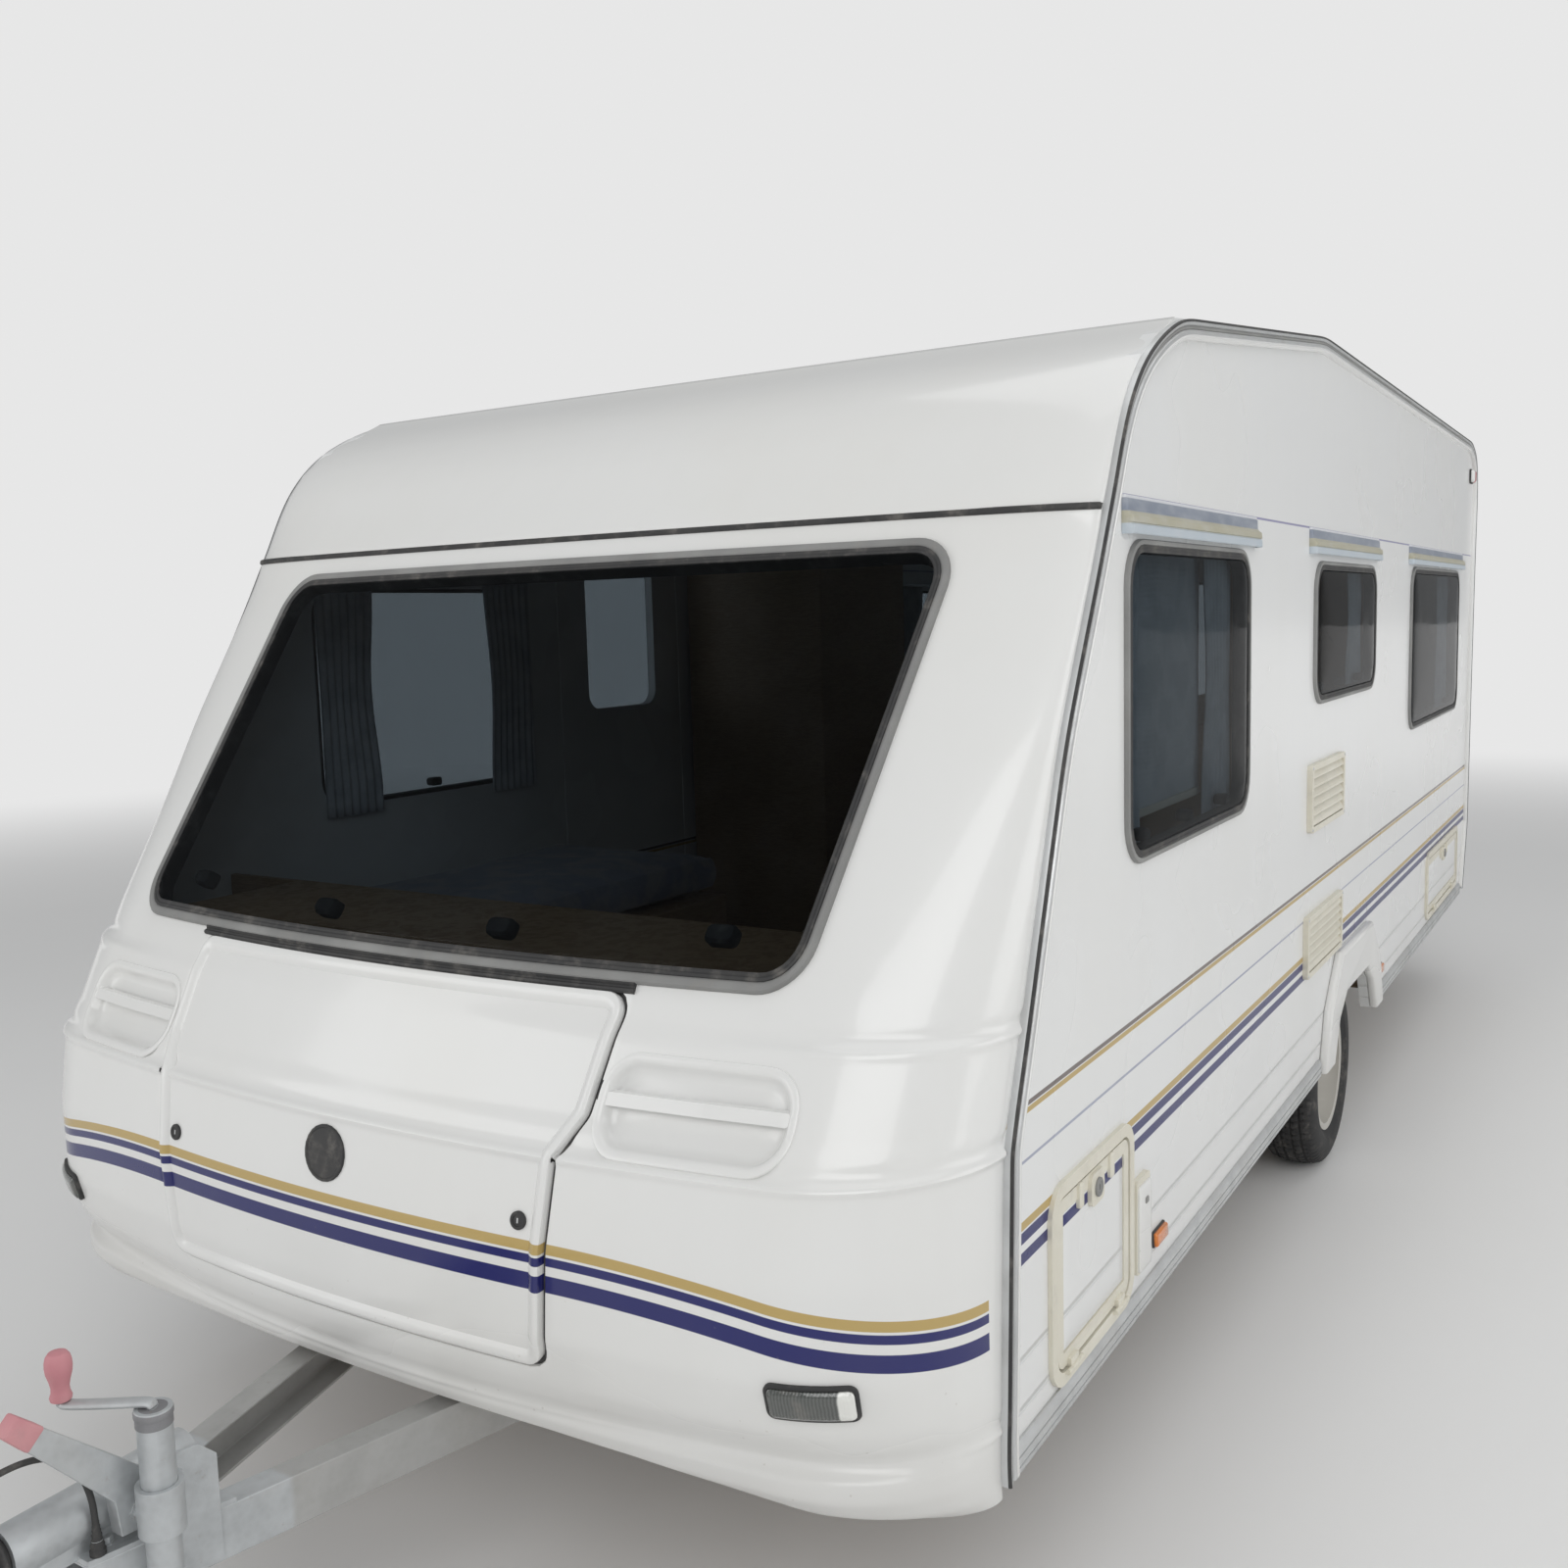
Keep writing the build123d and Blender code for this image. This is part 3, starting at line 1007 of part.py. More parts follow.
for side, name in ((1, "left"), (-1, "right")):
    drum = turned(((DRUM_IN_Y, STUB_R + SEAT), (DRUM_IN_Y, DRUM_R), (DRUM_OUT_Y - 20, DRUM_R),
                   (DRUM_OUT_Y, 62), (DRUM_OUT_Y, 34), (DRUM_OUT_Y + 32, 30),
                   (DRUM_OUT_Y + 36, 0), (DRUM_OUT_Y - 18, 0), (DRUM_OUT_Y - 18, STUB_R + SEAT)),
                  side)
    with BuildPart() as hub:
        add(drum)
    keep(hub.part, f"hub_{name}")
    section = turned(((DRUM_OUT_Y, 36), (DRUM_OUT_Y, 64), (DRUM_OUT_Y + 26, 100),
                      (DRUM_OUT_Y + 34, 128), (DRUM_OUT_Y + 10, RIM_WELL_R - 3),
                      (RIM_IN_Y + 18, RIM_WELL_R - 3), (TYRE_IN_Y + 30, BEAD_R - 4),
                      (TYRE_IN_Y + 14, BEAD_R - 4), (TYRE_IN_Y + 12, RIM_R),
                      (TYRE_IN_Y + 17, RIM_R), (TYRE_IN_Y + 19, BEAD_R), (TYRE_IN_Y + 34, BEAD_R),
                      (RIM_IN_Y + 22, RIM_WELL_R), (DRUM_OUT_Y + 36, RIM_WELL_R),
                      (TYRE_FACE_Y - 34, BEAD_R), (TYRE_FACE_Y - 19, BEAD_R),
                      (TYRE_FACE_Y - 17, RIM_R), (TYRE_FACE_Y - 12, RIM_R),
                      (TYRE_FACE_Y - 14, BEAD_R - 5), (TYRE_FACE_Y - 36, BEAD_R - 5),
                      (DRUM_OUT_Y + 40, RIM_WELL_R - 4), (DRUM_OUT_Y + 40, 130),
                      (DRUM_OUT_Y + 32, 98), (DRUM_OUT_Y + 6, 62), (DRUM_OUT_Y + 6, 36)), side)
    with BuildPart() as rim:
        add(section)
        with BuildSketch(at_side(side * (DRUM_OUT_Y - 10))):
            with Locations((AXLE_X, TYRE_R)):
                with PolarLocations(114, 8, start_angle=22.5):
                    Circle(13)
        extrude(amount=-side * 70, mode=Mode.SUBTRACT)
    keep(rim.part, f"rim_{name}")
    shoulder = 22.0
    tyre = turned(((TYRE_IN_Y + 19 + SEAT, BEAD_R + SEAT), (TYRE_IN_Y + 17, RIM_R + 2),
                   (TYRE_IN_Y, 225), (TYRE_IN_Y, 240), (TYRE_IN_Y + shoulder, TYRE_R - 8),
                   (TYRE_IN_Y + 45, TYRE_R - 1.5), (WHEEL_Y, TYRE_R), (TYRE_FACE_Y - 45, TYRE_R - 1.5),
                   (TYRE_FACE_Y - shoulder, TYRE_R - 8), (TYRE_FACE_Y, 240), (TYRE_FACE_Y, 225),
                   (TYRE_FACE_Y - 17, RIM_R + 2), (TYRE_FACE_Y - 19 - SEAT, BEAD_R + SEAT)), side)
    keep(tyre, f"tyre_{name}")

# Overrun unit on the drawbar's apex, its gaiter, drawtube and coupling head
OVERRUN_REAR_X = APEX_X - 200.0
OVERRUN_FRONT_X = APEX_X + 90.0
TUBE_Z = AFRAME_TOP_Z + 52.0
TUBE_R = 22.0
LEAD_R = 4.5
LEAD_ROUTE = (
    (2757, 46, 470), (2757, 46, 500), (2758, 42, 533), (2764, 34, 565), (2780, 25, 592),
    (2808, 17, 608), (2843, 8, 611), (2880, -3, 602), (2913, -15, 586), (2941, -29, 564),
    (2961, -45, 538), (2974, -61, 510), (2983, -75, 480), (2989, -84, 443), (2992, -88, 402),
    (2993, -88, 358), (2991, -85, 316), (2988, -80, 278),
)
BALL_X = TIP_X - 62.0
BALL_Z = 430.0
BALL_R = 25.0
with BuildPart() as overrun_unit:
    with BuildSketch(Plane.XY.offset(AFRAME_TOP_Z)):
        with BuildLine():
            Polyline((OVERRUN_REAR_X, -drawbar_y(OVERRUN_REAR_X)), (APEX_X, -APEX_Y),
                     (APEX_X, APEX_Y), (OVERRUN_REAR_X, drawbar_y(OVERRUN_REAR_X)), close=True)
        make_face()
    extrude(amount=8)
    with BuildSketch(Plane.YZ.offset(OVERRUN_REAR_X + 10)):
        with Locations((0, TUBE_Z)):
            Circle(38)
        with Locations((0, (AFRAME_TOP_Z + TUBE_Z) / 2 + 2)):
            Rectangle(56, TUBE_Z - AFRAME_TOP_Z - 4)
    extrude(amount=OVERRUN_FRONT_X - OVERRUN_REAR_X - 10)
    with BuildSketch(Plane.YZ.offset(OVERRUN_FRONT_X)):
        with Locations((0, TUBE_Z)):
            Circle(TUBE_R + SEAT)
    extrude(amount=-120, mode=Mode.SUBTRACT)
    with BuildSketch(Plane.XY.offset(AFRAME_TOP_Z + 8)):
        with Locations(LEAD_ROUTE[0][:2]):
            Circle(LEAD_R + 3.5)
    extrude(amount=LEAD_ROUTE[0][2] - AFRAME_TOP_Z - 8)
keep(overrun_unit.part, "overrun_unit")

# Road lead: a medium-stiff cable that arches up beside the lever, passes over the gaiter and
# hangs down on the right, with its plug at the end
lead_radii = []
for before, here, after in zip(LEAD_ROUTE, LEAD_ROUTE[1:], LEAD_ROUTE[2:]):
    coming, going = Vector(here) - Vector(before), Vector(after) - Vector(here)
    turn = radians(coming.get_angle(going))
    lead_radii.append(0.45 * min(coming.length, going.length) / tan(turn / 2))
print("lead radii", [round(radius) for radius in lead_radii])
with BuildPart() as road_lead:
    with BuildLine() as lead_line:
        FilletPolyline(*LEAD_ROUTE, radius=lead_radii)
    with BuildSketch(Plane(origin=LEAD_ROUTE[0],
                           z_dir=Vector(LEAD_ROUTE[1]) - Vector(LEAD_ROUTE[0]))):
        Circle(LEAD_R)
    sweep()
lead_long = sum(edge.length for edge in lead_line.edges())
print("lead", round(lead_long), round(road_lead.part.volume / lead_long / (pi * LEAD_R ** 2), 3))
keep(road_lead.part, "road_lead")
with BuildPart() as road_plug:
    last_way = Vector(LEAD_ROUTE[-1]) - Vector(LEAD_ROUTE[-2])
    for reach, radius, long in ((0.0, 8.0, 26.0), (26.0, 19.0, 44.0), (70.0, 22.0, 12.0)):
        with BuildSketch(Plane(origin=Vector(LEAD_ROUTE[-1]) + last_way.normalized() * reach,
                               z_dir=last_way)):
            Circle(radius)
        extrude(amount=long)
keep(road_plug.part, "road_plug")

BELLOWS_END_X = OVERRUN_FRONT_X + 190.0
BELLOWS_FOLDS = 9
with BuildPart() as bellows:
    with BuildSketch(Plane.XZ):
        with BuildLine():
            crests = [(OVERRUN_FRONT_X + SEAT, TUBE_Z + TUBE_R + 3)]
            fold = (BELLOWS_END_X - OVERRUN_FRONT_X - SEAT) / BELLOWS_FOLDS
            for index in range(BELLOWS_FOLDS):
                start = OVERRUN_FRONT_X + SEAT + index * fold
                crests += [(start, TUBE_Z + 30), (start + fold / 2, TUBE_Z + 40)]
            crests += [(BELLOWS_END_X, TUBE_Z + 30), (BELLOWS_END_X, TUBE_Z + TUBE_R + 3)]
            Polyline(*crests, close=True)
        make_face()
    revolve(axis=Axis((0, 0, TUBE_Z), (1, 0, 0)))
keep(bellows.part, "overrun_gaiter")

with BuildPart() as coupling_head:
    with BuildSketch(Plane.YZ.offset(OVERRUN_FRONT_X - 110)):
        with Locations((0, TUBE_Z)):
            Circle(TUBE_R)
    extrude(amount=BALL_X - 60 - OVERRUN_FRONT_X + 110)
    with BuildSketch(Plane.YZ.offset(BELLOWS_END_X + 10)):
        with Locations((0, TUBE_Z - 2)):
            RectangleRounded(62, 66, 16)
    with BuildSketch(Plane.YZ.offset(BALL_X)):
        with Locations((0, BALL_Z + 16)):
            RectangleRounded(84, 82, 24)
    loft()
    with BuildSketch(Plane.XY.offset(BALL_Z - 25)):
        with Locations((BALL_X, 0)):
            Circle(42)
    extrude(amount=82)
    with BuildSketch(Plane.XY.offset(BALL_Z - 25)):
        with Locations((BALL_X, 0)):
            Circle(BALL_R + 0.3)
    extrude(amount=26, mode=Mode.SUBTRACT)
    with Locations((BALL_X, 0, BALL_Z)):
        Sphere(BALL_R + 0.3, mode=Mode.SUBTRACT)
    with BuildSketch(Plane.XZ):
        with BuildLine():
            Polyline((BALL_X - 30, BALL_Z + 50), (BALL_X + 20, BALL_Z + 50),
                     (TIP_X - 8, BALL_Z + 92), (TIP_X, BALL_Z + 104), (TIP_X - 12, BALL_Z + 112),
                     (BALL_X - 14, BALL_Z + 76), (BALL_X - 50, BALL_Z + 74), close=True)
        make_face()
    extrude(amount=17, both=True)
keep(coupling_head.part, "coupling_head")

# Handbrake lever beside the overrun unit
LEVER_X = APEX_X - 70.0
LEVER_Y = 46.0
with BuildPart() as handbrake_lever:
    with BuildSketch(at_side(LEVER_Y)):
        with BuildLine():
            Polyline((LEVER_X - 24, TUBE_Z - 30), (LEVER_X + 30, TUBE_Z - 24),
                     (LEVER_X + 36, TUBE_Z + 30), (LEVER_X + 176, TUBE_Z + 196),
                     (LEVER_X + 156, TUBE_Z + 214), (LEVER_X - 6, TUBE_Z + 62),
                     (LEVER_X - 30, TUBE_Z + 10), close=True)
        make_face()
    extrude(amount=-24)
    with BuildSketch(at_side(38 + SEAT)):
        with Locations((LEVER_X, TUBE_Z)):
            Circle(14)
    extrude(amount=-(LEVER_Y - 38 - SEAT))
keep(handbrake_lever.part, "handbrake_lever")

# Jockey wheel: clamp and outer tube on the left drawbar rail, sliding leg, fork and roller
JOCKEY_X = APEX_X - 78.0
JOCKEY_Y = drawbar_y(JOCKEY_X) + 36.0
JOCKEY_TOP_Z = 650.0
JOCKEY_R = 24.0
JOCKEY_WALL = 2.5
ROLLER_R = 100.0
ROLLER_WIDTH = 48.0
FORK_TOP_Z = 232.0
JOCKEY_TRAVEL = 115.0
JOCKEY_FOOT_Z = FORK_TOP_Z + JOCKEY_TRAVEL + 34.0
LEG_R = JOCKEY_R - JOCKEY_WALL - 0.3
with BuildPart() as jockey_tube:
    with BuildSketch(Plane.XY.offset(JOCKEY_FOOT_Z)):
        with Locations((JOCKEY_X, JOCKEY_Y)):
            Circle(JOCKEY_R)
            Circle(JOCKEY_R - JOCKEY_WALL, mode=Mode.SUBTRACT)
    extrude(amount=JOCKEY_TOP_Z - 6 - JOCKEY_FOOT_Z)
    with BuildSketch(Plane.XY.offset(JOCKEY_TOP_Z - 6)):
        with Locations((JOCKEY_X, JOCKEY_Y)):
            Circle(JOCKEY_R + 1.5)
            Circle(8, mode=Mode.SUBTRACT)
    extrude(amount=6)
keep(jockey_tube.part, "jockey_tube")
with BuildPart() as jockey_clamp:
    with BuildSketch(Plane.XY.offset(AFRAME_TOP_Z + 30)):
        with Locations((JOCKEY_X, JOCKEY_Y)):
            Circle(JOCKEY_R + 8)
            Circle(JOCKEY_R + SEAT, mode=Mode.SUBTRACT)
    extrude(amount=70)
    plate_rear, plate_front = JOCKEY_X - 95, JOCKEY_X - 20
    with BuildSketch(Plane.XY.offset(AFRAME_TOP_Z - 70)):
        with BuildLine():
            Polyline((plate_rear, drawbar_y(plate_rear) + SEAT),
                     (plate_front, drawbar_y(plate_front) + SEAT),
                     (plate_front, drawbar_y(plate_front) + SEAT + 7),
                     (plate_rear, drawbar_y(plate_rear) + SEAT + 7), close=True)
        make_face()
    extrude(amount=185)
    upper = jockey_clamp.edges().filter_by(Axis.Z, reverse=True).group_by(Axis.Z)[-1]
    chamfer(upper.sort_by(Axis.X)[0], 24)
    with BuildSketch(Plane.XY.offset(AFRAME_TOP_Z + 32)):
        with Locations((JOCKEY_X - 29, JOCKEY_Y - 16)):
            Rectangle(16, 32)
    extrude(amount=66)
    with BuildSketch(Plane.XY.offset(AFRAME_TOP_Z + 20)):
        with Locations((JOCKEY_X, JOCKEY_Y)):
            Circle(JOCKEY_R + SEAT)
    extrude(amount=90, mode=Mode.SUBTRACT)
keep(jockey_clamp.part, "jockey_clamp")
CRANK_REACH = 125.0
CRANK_ANGLE = -58.0
with BuildPart() as jockey_crank:
    with BuildSketch(Plane.XY.offset(JOCKEY_TOP_Z - 20)):
        with Locations((JOCKEY_X, JOCKEY_Y)):
            Circle(7)
    extrude(amount=34)
    end_x = JOCKEY_X + CRANK_REACH * cos(radians(CRANK_ANGLE))
    end_y = JOCKEY_Y + CRANK_REACH * sin(radians(CRANK_ANGLE))
    with BuildSketch(Plane.XY.offset(JOCKEY_TOP_Z + SEAT)):
        with Locations((JOCKEY_X, JOCKEY_Y), (end_x, end_y)):
            Circle(13)
        with Locations(((JOCKEY_X + end_x) / 2, (JOCKEY_Y + end_y) / 2)):
            Rectangle(CRANK_REACH, 26, rotation=CRANK_ANGLE)
    extrude(amount=12)
keep(jockey_crank.part, "jockey_crank")
with BuildPart() as crank_grip:
    with BuildSketch(Plane.XY.offset(JOCKEY_TOP_Z + 12 + SEAT)):
        with Locations((end_x, end_y)):
            Circle(14)
    with BuildSketch(Plane.XY.offset(JOCKEY_TOP_Z + 62)):
        with Locations((end_x, end_y)):
            Circle(18)
    with BuildSketch(Plane.XY.offset(JOCKEY_TOP_Z + 84)):
        with Locations((end_x, end_y)):
            Circle(12)
    loft()
keep(crank_grip.part, "crank_grip")
with BuildPart() as jockey_leg:
    with BuildSketch(Plane.XY.offset(FORK_TOP_Z + SEAT)):
        with Locations((JOCKEY_X, JOCKEY_Y)):
            Circle(LEG_R)
            Circle(LEG_R - 4, mode=Mode.SUBTRACT)
    extrude(amount=JOCKEY_TOP_Z - 32 - JOCKEY_TRAVEL - FORK_TOP_Z)
keep(jockey_leg.part, "jockey_leg")
FORK_TRAIL = 38.0
with BuildPart() as jockey_fork:
    with BuildSketch(Plane.XY.offset(FORK_TOP_Z - 14)):
        with Locations((JOCKEY_X, JOCKEY_Y)):
            Circle(30)
    extrude(amount=14)
    with BuildSketch(Plane.XY.offset(FORK_TOP_Z)):
        with Locations((JOCKEY_X, JOCKEY_Y)):
            Circle(LEG_R - 4 - SEAT)
    extrude(amount=28)
    for side in (-1, 1):
        with BuildSketch(at_side(JOCKEY_Y + side * (ROLLER_WIDTH / 2 + 6))):
            with BuildLine():
                Polyline((JOCKEY_X - 28, FORK_TOP_Z - 14), (JOCKEY_X + 28, FORK_TOP_Z - 14),
                         (JOCKEY_X - FORK_TRAIL + 20, ROLLER_R - 18),
                         (JOCKEY_X - FORK_TRAIL - 20, ROLLER_R - 18), close=True)
            make_face()
        extrude(amount=side * 5, both=False)
    with BuildSketch(at_side(JOCKEY_Y - ROLLER_WIDTH / 2 - 8)):
        with Locations((JOCKEY_X - FORK_TRAIL, ROLLER_R)):
            Circle(8)
    extrude(amount=-ROLLER_WIDTH - 16)
    with BuildSketch(Plane.XY.offset(FORK_TOP_Z - 14)):
        with Locations((JOCKEY_X, JOCKEY_Y)):
            Rectangle(56, ROLLER_WIDTH + 22)
    extrude(amount=8)
keep(jockey_fork.part, "jockey_fork")
with BuildPart() as jockey_roller:
    with BuildSketch(at_side(JOCKEY_Y - ROLLER_WIDTH / 2)):
        with Locations((JOCKEY_X - FORK_TRAIL, ROLLER_R)):
            Circle(ROLLER_R)
            Circle(8 + SEAT, mode=Mode.SUBTRACT)
    extrude(amount=-ROLLER_WIDTH)
    rims = jockey_roller.edges().filter_by(lambda e: abs(e.radius - ROLLER_R) < 1
                                           if e.geom_type == GeomType.CIRCLE else False)
    fillet(rims, 14)
keep(jockey_roller.part, "jockey_roller")

# Corner steadies, wound up under the floor. Each row: name, bracket behind the nose, side,
# and the way the stowed leg points along X
STEADIES = (("front_left", 900.0, 1, -1), ("front_right", 900.0, -1, -1),
            ("rear_left", 5250.0, 1, 1), ("rear_right", 5250.0, -1, 1))
STEADY_Y = 720.0
STEADY_Z = 412.0
STEADY_REACH = 400.0
STEADY_HALF = 17.0
STEADY_PIN = 6.0
STRUT_SIDE = 24.0
SPINDLE_SIDE = 40.0
SPINDLE_R = 8.0
for name, back, side, along in STEADIES:
    pivot = NOSE_X - back
    with BuildPart() as leg:
        with BuildSketch(at_side(side * STEADY_Y - STEADY_HALF)):
            with BuildLine():
                Polyline((pivot - along * 14, STEADY_Z - 14), (pivot - along * 14, STEADY_Z + 14),
                         (pivot + along * STEADY_REACH, STEADY_Z + 12),
                         (pivot + along * STEADY_REACH, STEADY_Z - 14), close=True)
            make_face()
            with Locations((pivot, STEADY_Z)):
                Circle(STEADY_PIN + SEAT, mode=Mode.SUBTRACT)
        extrude(amount=-2 * STEADY_HALF)
        with BuildSketch(Plane.XY.offset(STEADY_Z + 14)):
            with Locations((pivot + along * STEADY_REACH / 2, side * STEADY_Y)):
                Rectangle(STEADY_REACH + 60, 2 * STEADY_HALF - 8)
        extrude(amount=-24, mode=Mode.SUBTRACT)
        with BuildSketch(at_side(side * STEADY_Y - STEADY_HALF - 2)):
            with BuildLine():
                Polyline((pivot + along * (STEADY_REACH + 6), STEADY_Z - 34),
                         (pivot + along * (STEADY_REACH + 6), STEADY_Z + 26),
                         (pivot + along * STEADY_REACH, STEADY_Z + 26),
                         (pivot + along * STEADY_REACH, STEADY_Z - 34), close=True)
            make_face()
        extrude(amount=-2 * STEADY_HALF - 4)
    keep(leg.part, f"steady_leg_{name}")
    with BuildPart() as strut:
        with BuildSketch(at_side(side * (STEADY_Y + STRUT_SIDE) - 2.5)):
            with Locations((pivot + along * STEADY_REACH * 0.75, STEADY_Z)):
                SlotCenterToCenter(STEADY_REACH / 2, 22)
        extrude(amount=-5)
        with BuildSketch(at_side(side * (STEADY_Y + STEADY_HALF + SEAT))):
            with Locations((pivot + along * STEADY_REACH / 2, STEADY_Z)):
                Circle(8)
        extrude(amount=-side * (STRUT_SIDE - STEADY_HALF - SEAT))
    keep(strut.part, f"steady_strut_{name}")
with BuildPart() as steady_brackets:
    for name, back, side, along in STEADIES:
        pivot = NOSE_X - back
        with BuildSketch(Plane.YZ.offset(pivot)):
            with Locations((side * STEADY_Y, (STEADY_Z + FLOOR_Z) / 2 - 14)):
                Rectangle(2 * STEADY_HALF + 20, FLOOR_Z - STEADY_Z + 28)
                with Locations((0, -10)):
                    Rectangle(2 * STEADY_HALF + 8, FLOOR_Z - STEADY_Z + 28, mode=Mode.SUBTRACT)
        extrude(amount=18, both=True)
        with BuildSketch(at_side(side * STEADY_Y - STEADY_HALF - 8)):
            with Locations((pivot, STEADY_Z)):
                Circle(STEADY_PIN)
        extrude(amount=-2 * STEADY_HALF - 16)
        ear_y = side * (STEADY_Y + SPINDLE_SIDE)
        block(pivot - 18, pivot + 18, min(side * (STEADY_Y + 20), ear_y + side * 14),
              max(side * (STEADY_Y + 20), ear_y + side * 14), FLOOR_Z - 3, FLOOR_Z)
        for end in (pivot - 15, pivot + 15):
            block(end - 2.5, end + 2.5, ear_y - 13, ear_y + 13, STEADY_Z - 12, FLOOR_Z)
        barrel_x(pivot, ear_y, STEADY_Z, 60, SPINDLE_R + SEAT, Mode.SUBTRACT)
    for name, back, side, along in STEADIES:
        barrel_x(NOSE_X - back + along * (STEADY_REACH / 2 - 30), side * (STEADY_Y + SPINDLE_SIDE),
                 STEADY_Z, STEADY_REACH, SPINDLE_R)
keep(steady_brackets.part, "steady_brackets")

# Inside, as far as the windows and the door show it: benches, kitchen, wardrobe and table
BENCH_TOP = 430.0
WALL_GAP = 12.0
LOCKER_FOOT_Z = 1930.0
LOCKER_TALL = 250.0
# Each row: front end behind the nose, rear end, inner edge and outer edge of Y, foot, height
BENCHES = (
    (760.0, 1780.0, 400.0, INNER_Y - WALL_GAP, FLOOR_TOP_Z, BENCH_TOP),
    (760.0, 1780.0, -INNER_Y + WALL_GAP, -400.0, FLOOR_TOP_Z, BENCH_TOP),
    (4050.0, 5320.0, 400.0, INNER_Y - WALL_GAP, FLOOR_TOP_Z, BENCH_TOP),
    (4050.0, 5320.0, -INNER_Y + WALL_GAP, -400.0, FLOOR_TOP_Z, BENCH_TOP),
)
CABINETS = (
    (656.0, 750.0, -INNER_Y + WALL_GAP, INNER_Y - WALL_GAP, FLOOR_TOP_Z, 600.0),
    (2080.0, 3400.0, 480.0, INNER_Y - WALL_GAP, FLOOR_TOP_Z, 900.0),
    (2480.0, 3060.0, -INNER_Y + WALL_GAP, -480.0, FLOOR_TOP_Z, 1780.0),
    (3450.0, 3940.0, 480.0, INNER_Y - WALL_GAP, FLOOR_TOP_Z, 1780.0),
    (1300.0, 2900.0, 700.0, INNER_Y - SEAT, LOCKER_FOOT_Z, LOCKER_TALL),
)
with BuildPart() as furniture:
    for front, rear, inner_y, outer_y, foot, tall in BENCHES + CABINETS:
        block(NOSE_X - rear, NOSE_X - front, inner_y, outer_y, foot + SEAT, foot + SEAT + tall)
        block(NOSE_X - rear + BOARD, NOSE_X - front - BOARD, inner_y + BOARD, outer_y - BOARD,
              foot + SEAT, foot + SEAT + tall - BOARD, Mode.SUBTRACT)
    for side in (-1, 1):
        with Locations((AXLE_X, side * (BOX_IN_Y + INNER_Y) / 2, (FLOOR_Z + BOX_TOP_Z) / 2)):
            Box(2 * BOX_HALF + 2 * WALL_GAP, INNER_Y - BOX_IN_Y + 2 * WALL_GAP,
                BOX_TOP_Z - FLOOR_Z + 2 * WALL_GAP, mode=Mode.SUBTRACT)
keep(furniture.part, "furniture")
CUSHION_THICK = 130.0
with BuildPart() as cushions:
    for front, rear, inner_y, outer_y, foot, tall in BENCHES:
        top = foot + tall + 2 * SEAT
        block(NOSE_X - rear + 5, NOSE_X - front - 5, inner_y + 5, outer_y - 5,
              top, top + CUSHION_THICK)
keep(cushions.part, "cushions")

# Curtains drawn back to both ends of each side window and of the rear window, on their tracks
TRACK_Z = 1826.0
TRACK_TALL = 16.0
TRACK_DEEP = 22.0
CURTAIN_DEEP = 16.0
CURTAIN_TALL = 590.0
CURTAIN_SHARE = 0.24      # of the window's length, at each end
with BuildPart() as curtains:
    for toward, table in ((1, LEFT_WINDOWS), (-1, RIGHT_WINDOWS)):
        for back, height, length, tall in table:
            low, high = NOSE_X - back - length / 2 - 20, NOSE_X - back + length / 2 + 20
            inner, outer = sorted((toward * (INNER_Y - TRACK_DEEP), toward * (INNER_Y - SEAT)))
            block(low, high, inner, outer, TRACK_Z, TRACK_Z + TRACK_TALL)
            inner, outer = sorted((toward * (INNER_Y - 3 - CURTAIN_DEEP), toward * (INNER_Y - 3)))
            width = CURTAIN_SHARE * length
            foot = TRACK_Z - min(CURTAIN_TALL, tall + 42)
            for start in (low, high - width):
                block(start, start + width, inner, outer, foot, TRACK_Z)
keep(curtains.part, "curtains")
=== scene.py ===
"""Travel caravan with one axle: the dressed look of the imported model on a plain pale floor."""
import json
import logging
import math
from dataclasses import dataclass
from enum import Enum
from typing import Callable, Optional, Union

import bmesh
import bpy
import numpy as np
from mathutils import Matrix

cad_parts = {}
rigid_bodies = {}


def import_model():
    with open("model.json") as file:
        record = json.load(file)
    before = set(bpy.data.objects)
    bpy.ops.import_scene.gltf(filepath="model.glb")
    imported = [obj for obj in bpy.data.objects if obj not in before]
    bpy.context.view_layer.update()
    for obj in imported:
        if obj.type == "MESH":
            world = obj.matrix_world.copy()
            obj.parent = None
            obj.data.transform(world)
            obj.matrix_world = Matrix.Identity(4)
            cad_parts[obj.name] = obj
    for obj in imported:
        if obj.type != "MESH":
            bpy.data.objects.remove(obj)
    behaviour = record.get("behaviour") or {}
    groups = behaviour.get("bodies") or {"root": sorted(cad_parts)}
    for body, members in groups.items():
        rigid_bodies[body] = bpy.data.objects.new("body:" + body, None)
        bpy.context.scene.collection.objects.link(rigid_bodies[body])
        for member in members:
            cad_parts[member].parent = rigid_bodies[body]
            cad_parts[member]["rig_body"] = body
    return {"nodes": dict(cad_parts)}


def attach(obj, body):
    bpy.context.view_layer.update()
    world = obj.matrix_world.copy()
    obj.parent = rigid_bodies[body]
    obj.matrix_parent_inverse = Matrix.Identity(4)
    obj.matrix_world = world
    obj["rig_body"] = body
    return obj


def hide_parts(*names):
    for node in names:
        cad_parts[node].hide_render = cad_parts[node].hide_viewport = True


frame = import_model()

log = logging.getLogger("caravan")
Array = np.ndarray
Colour = tuple[float, float, float]
Nodes = tuple[str, ...]
Field = Callable[[Array, Array], Array]


def mm(*values: float, columns: int = 2) -> Array:
    """Table in metres from its values in millimetres, row by row."""
    return np.array(values, float).reshape(-1, columns) / 1000


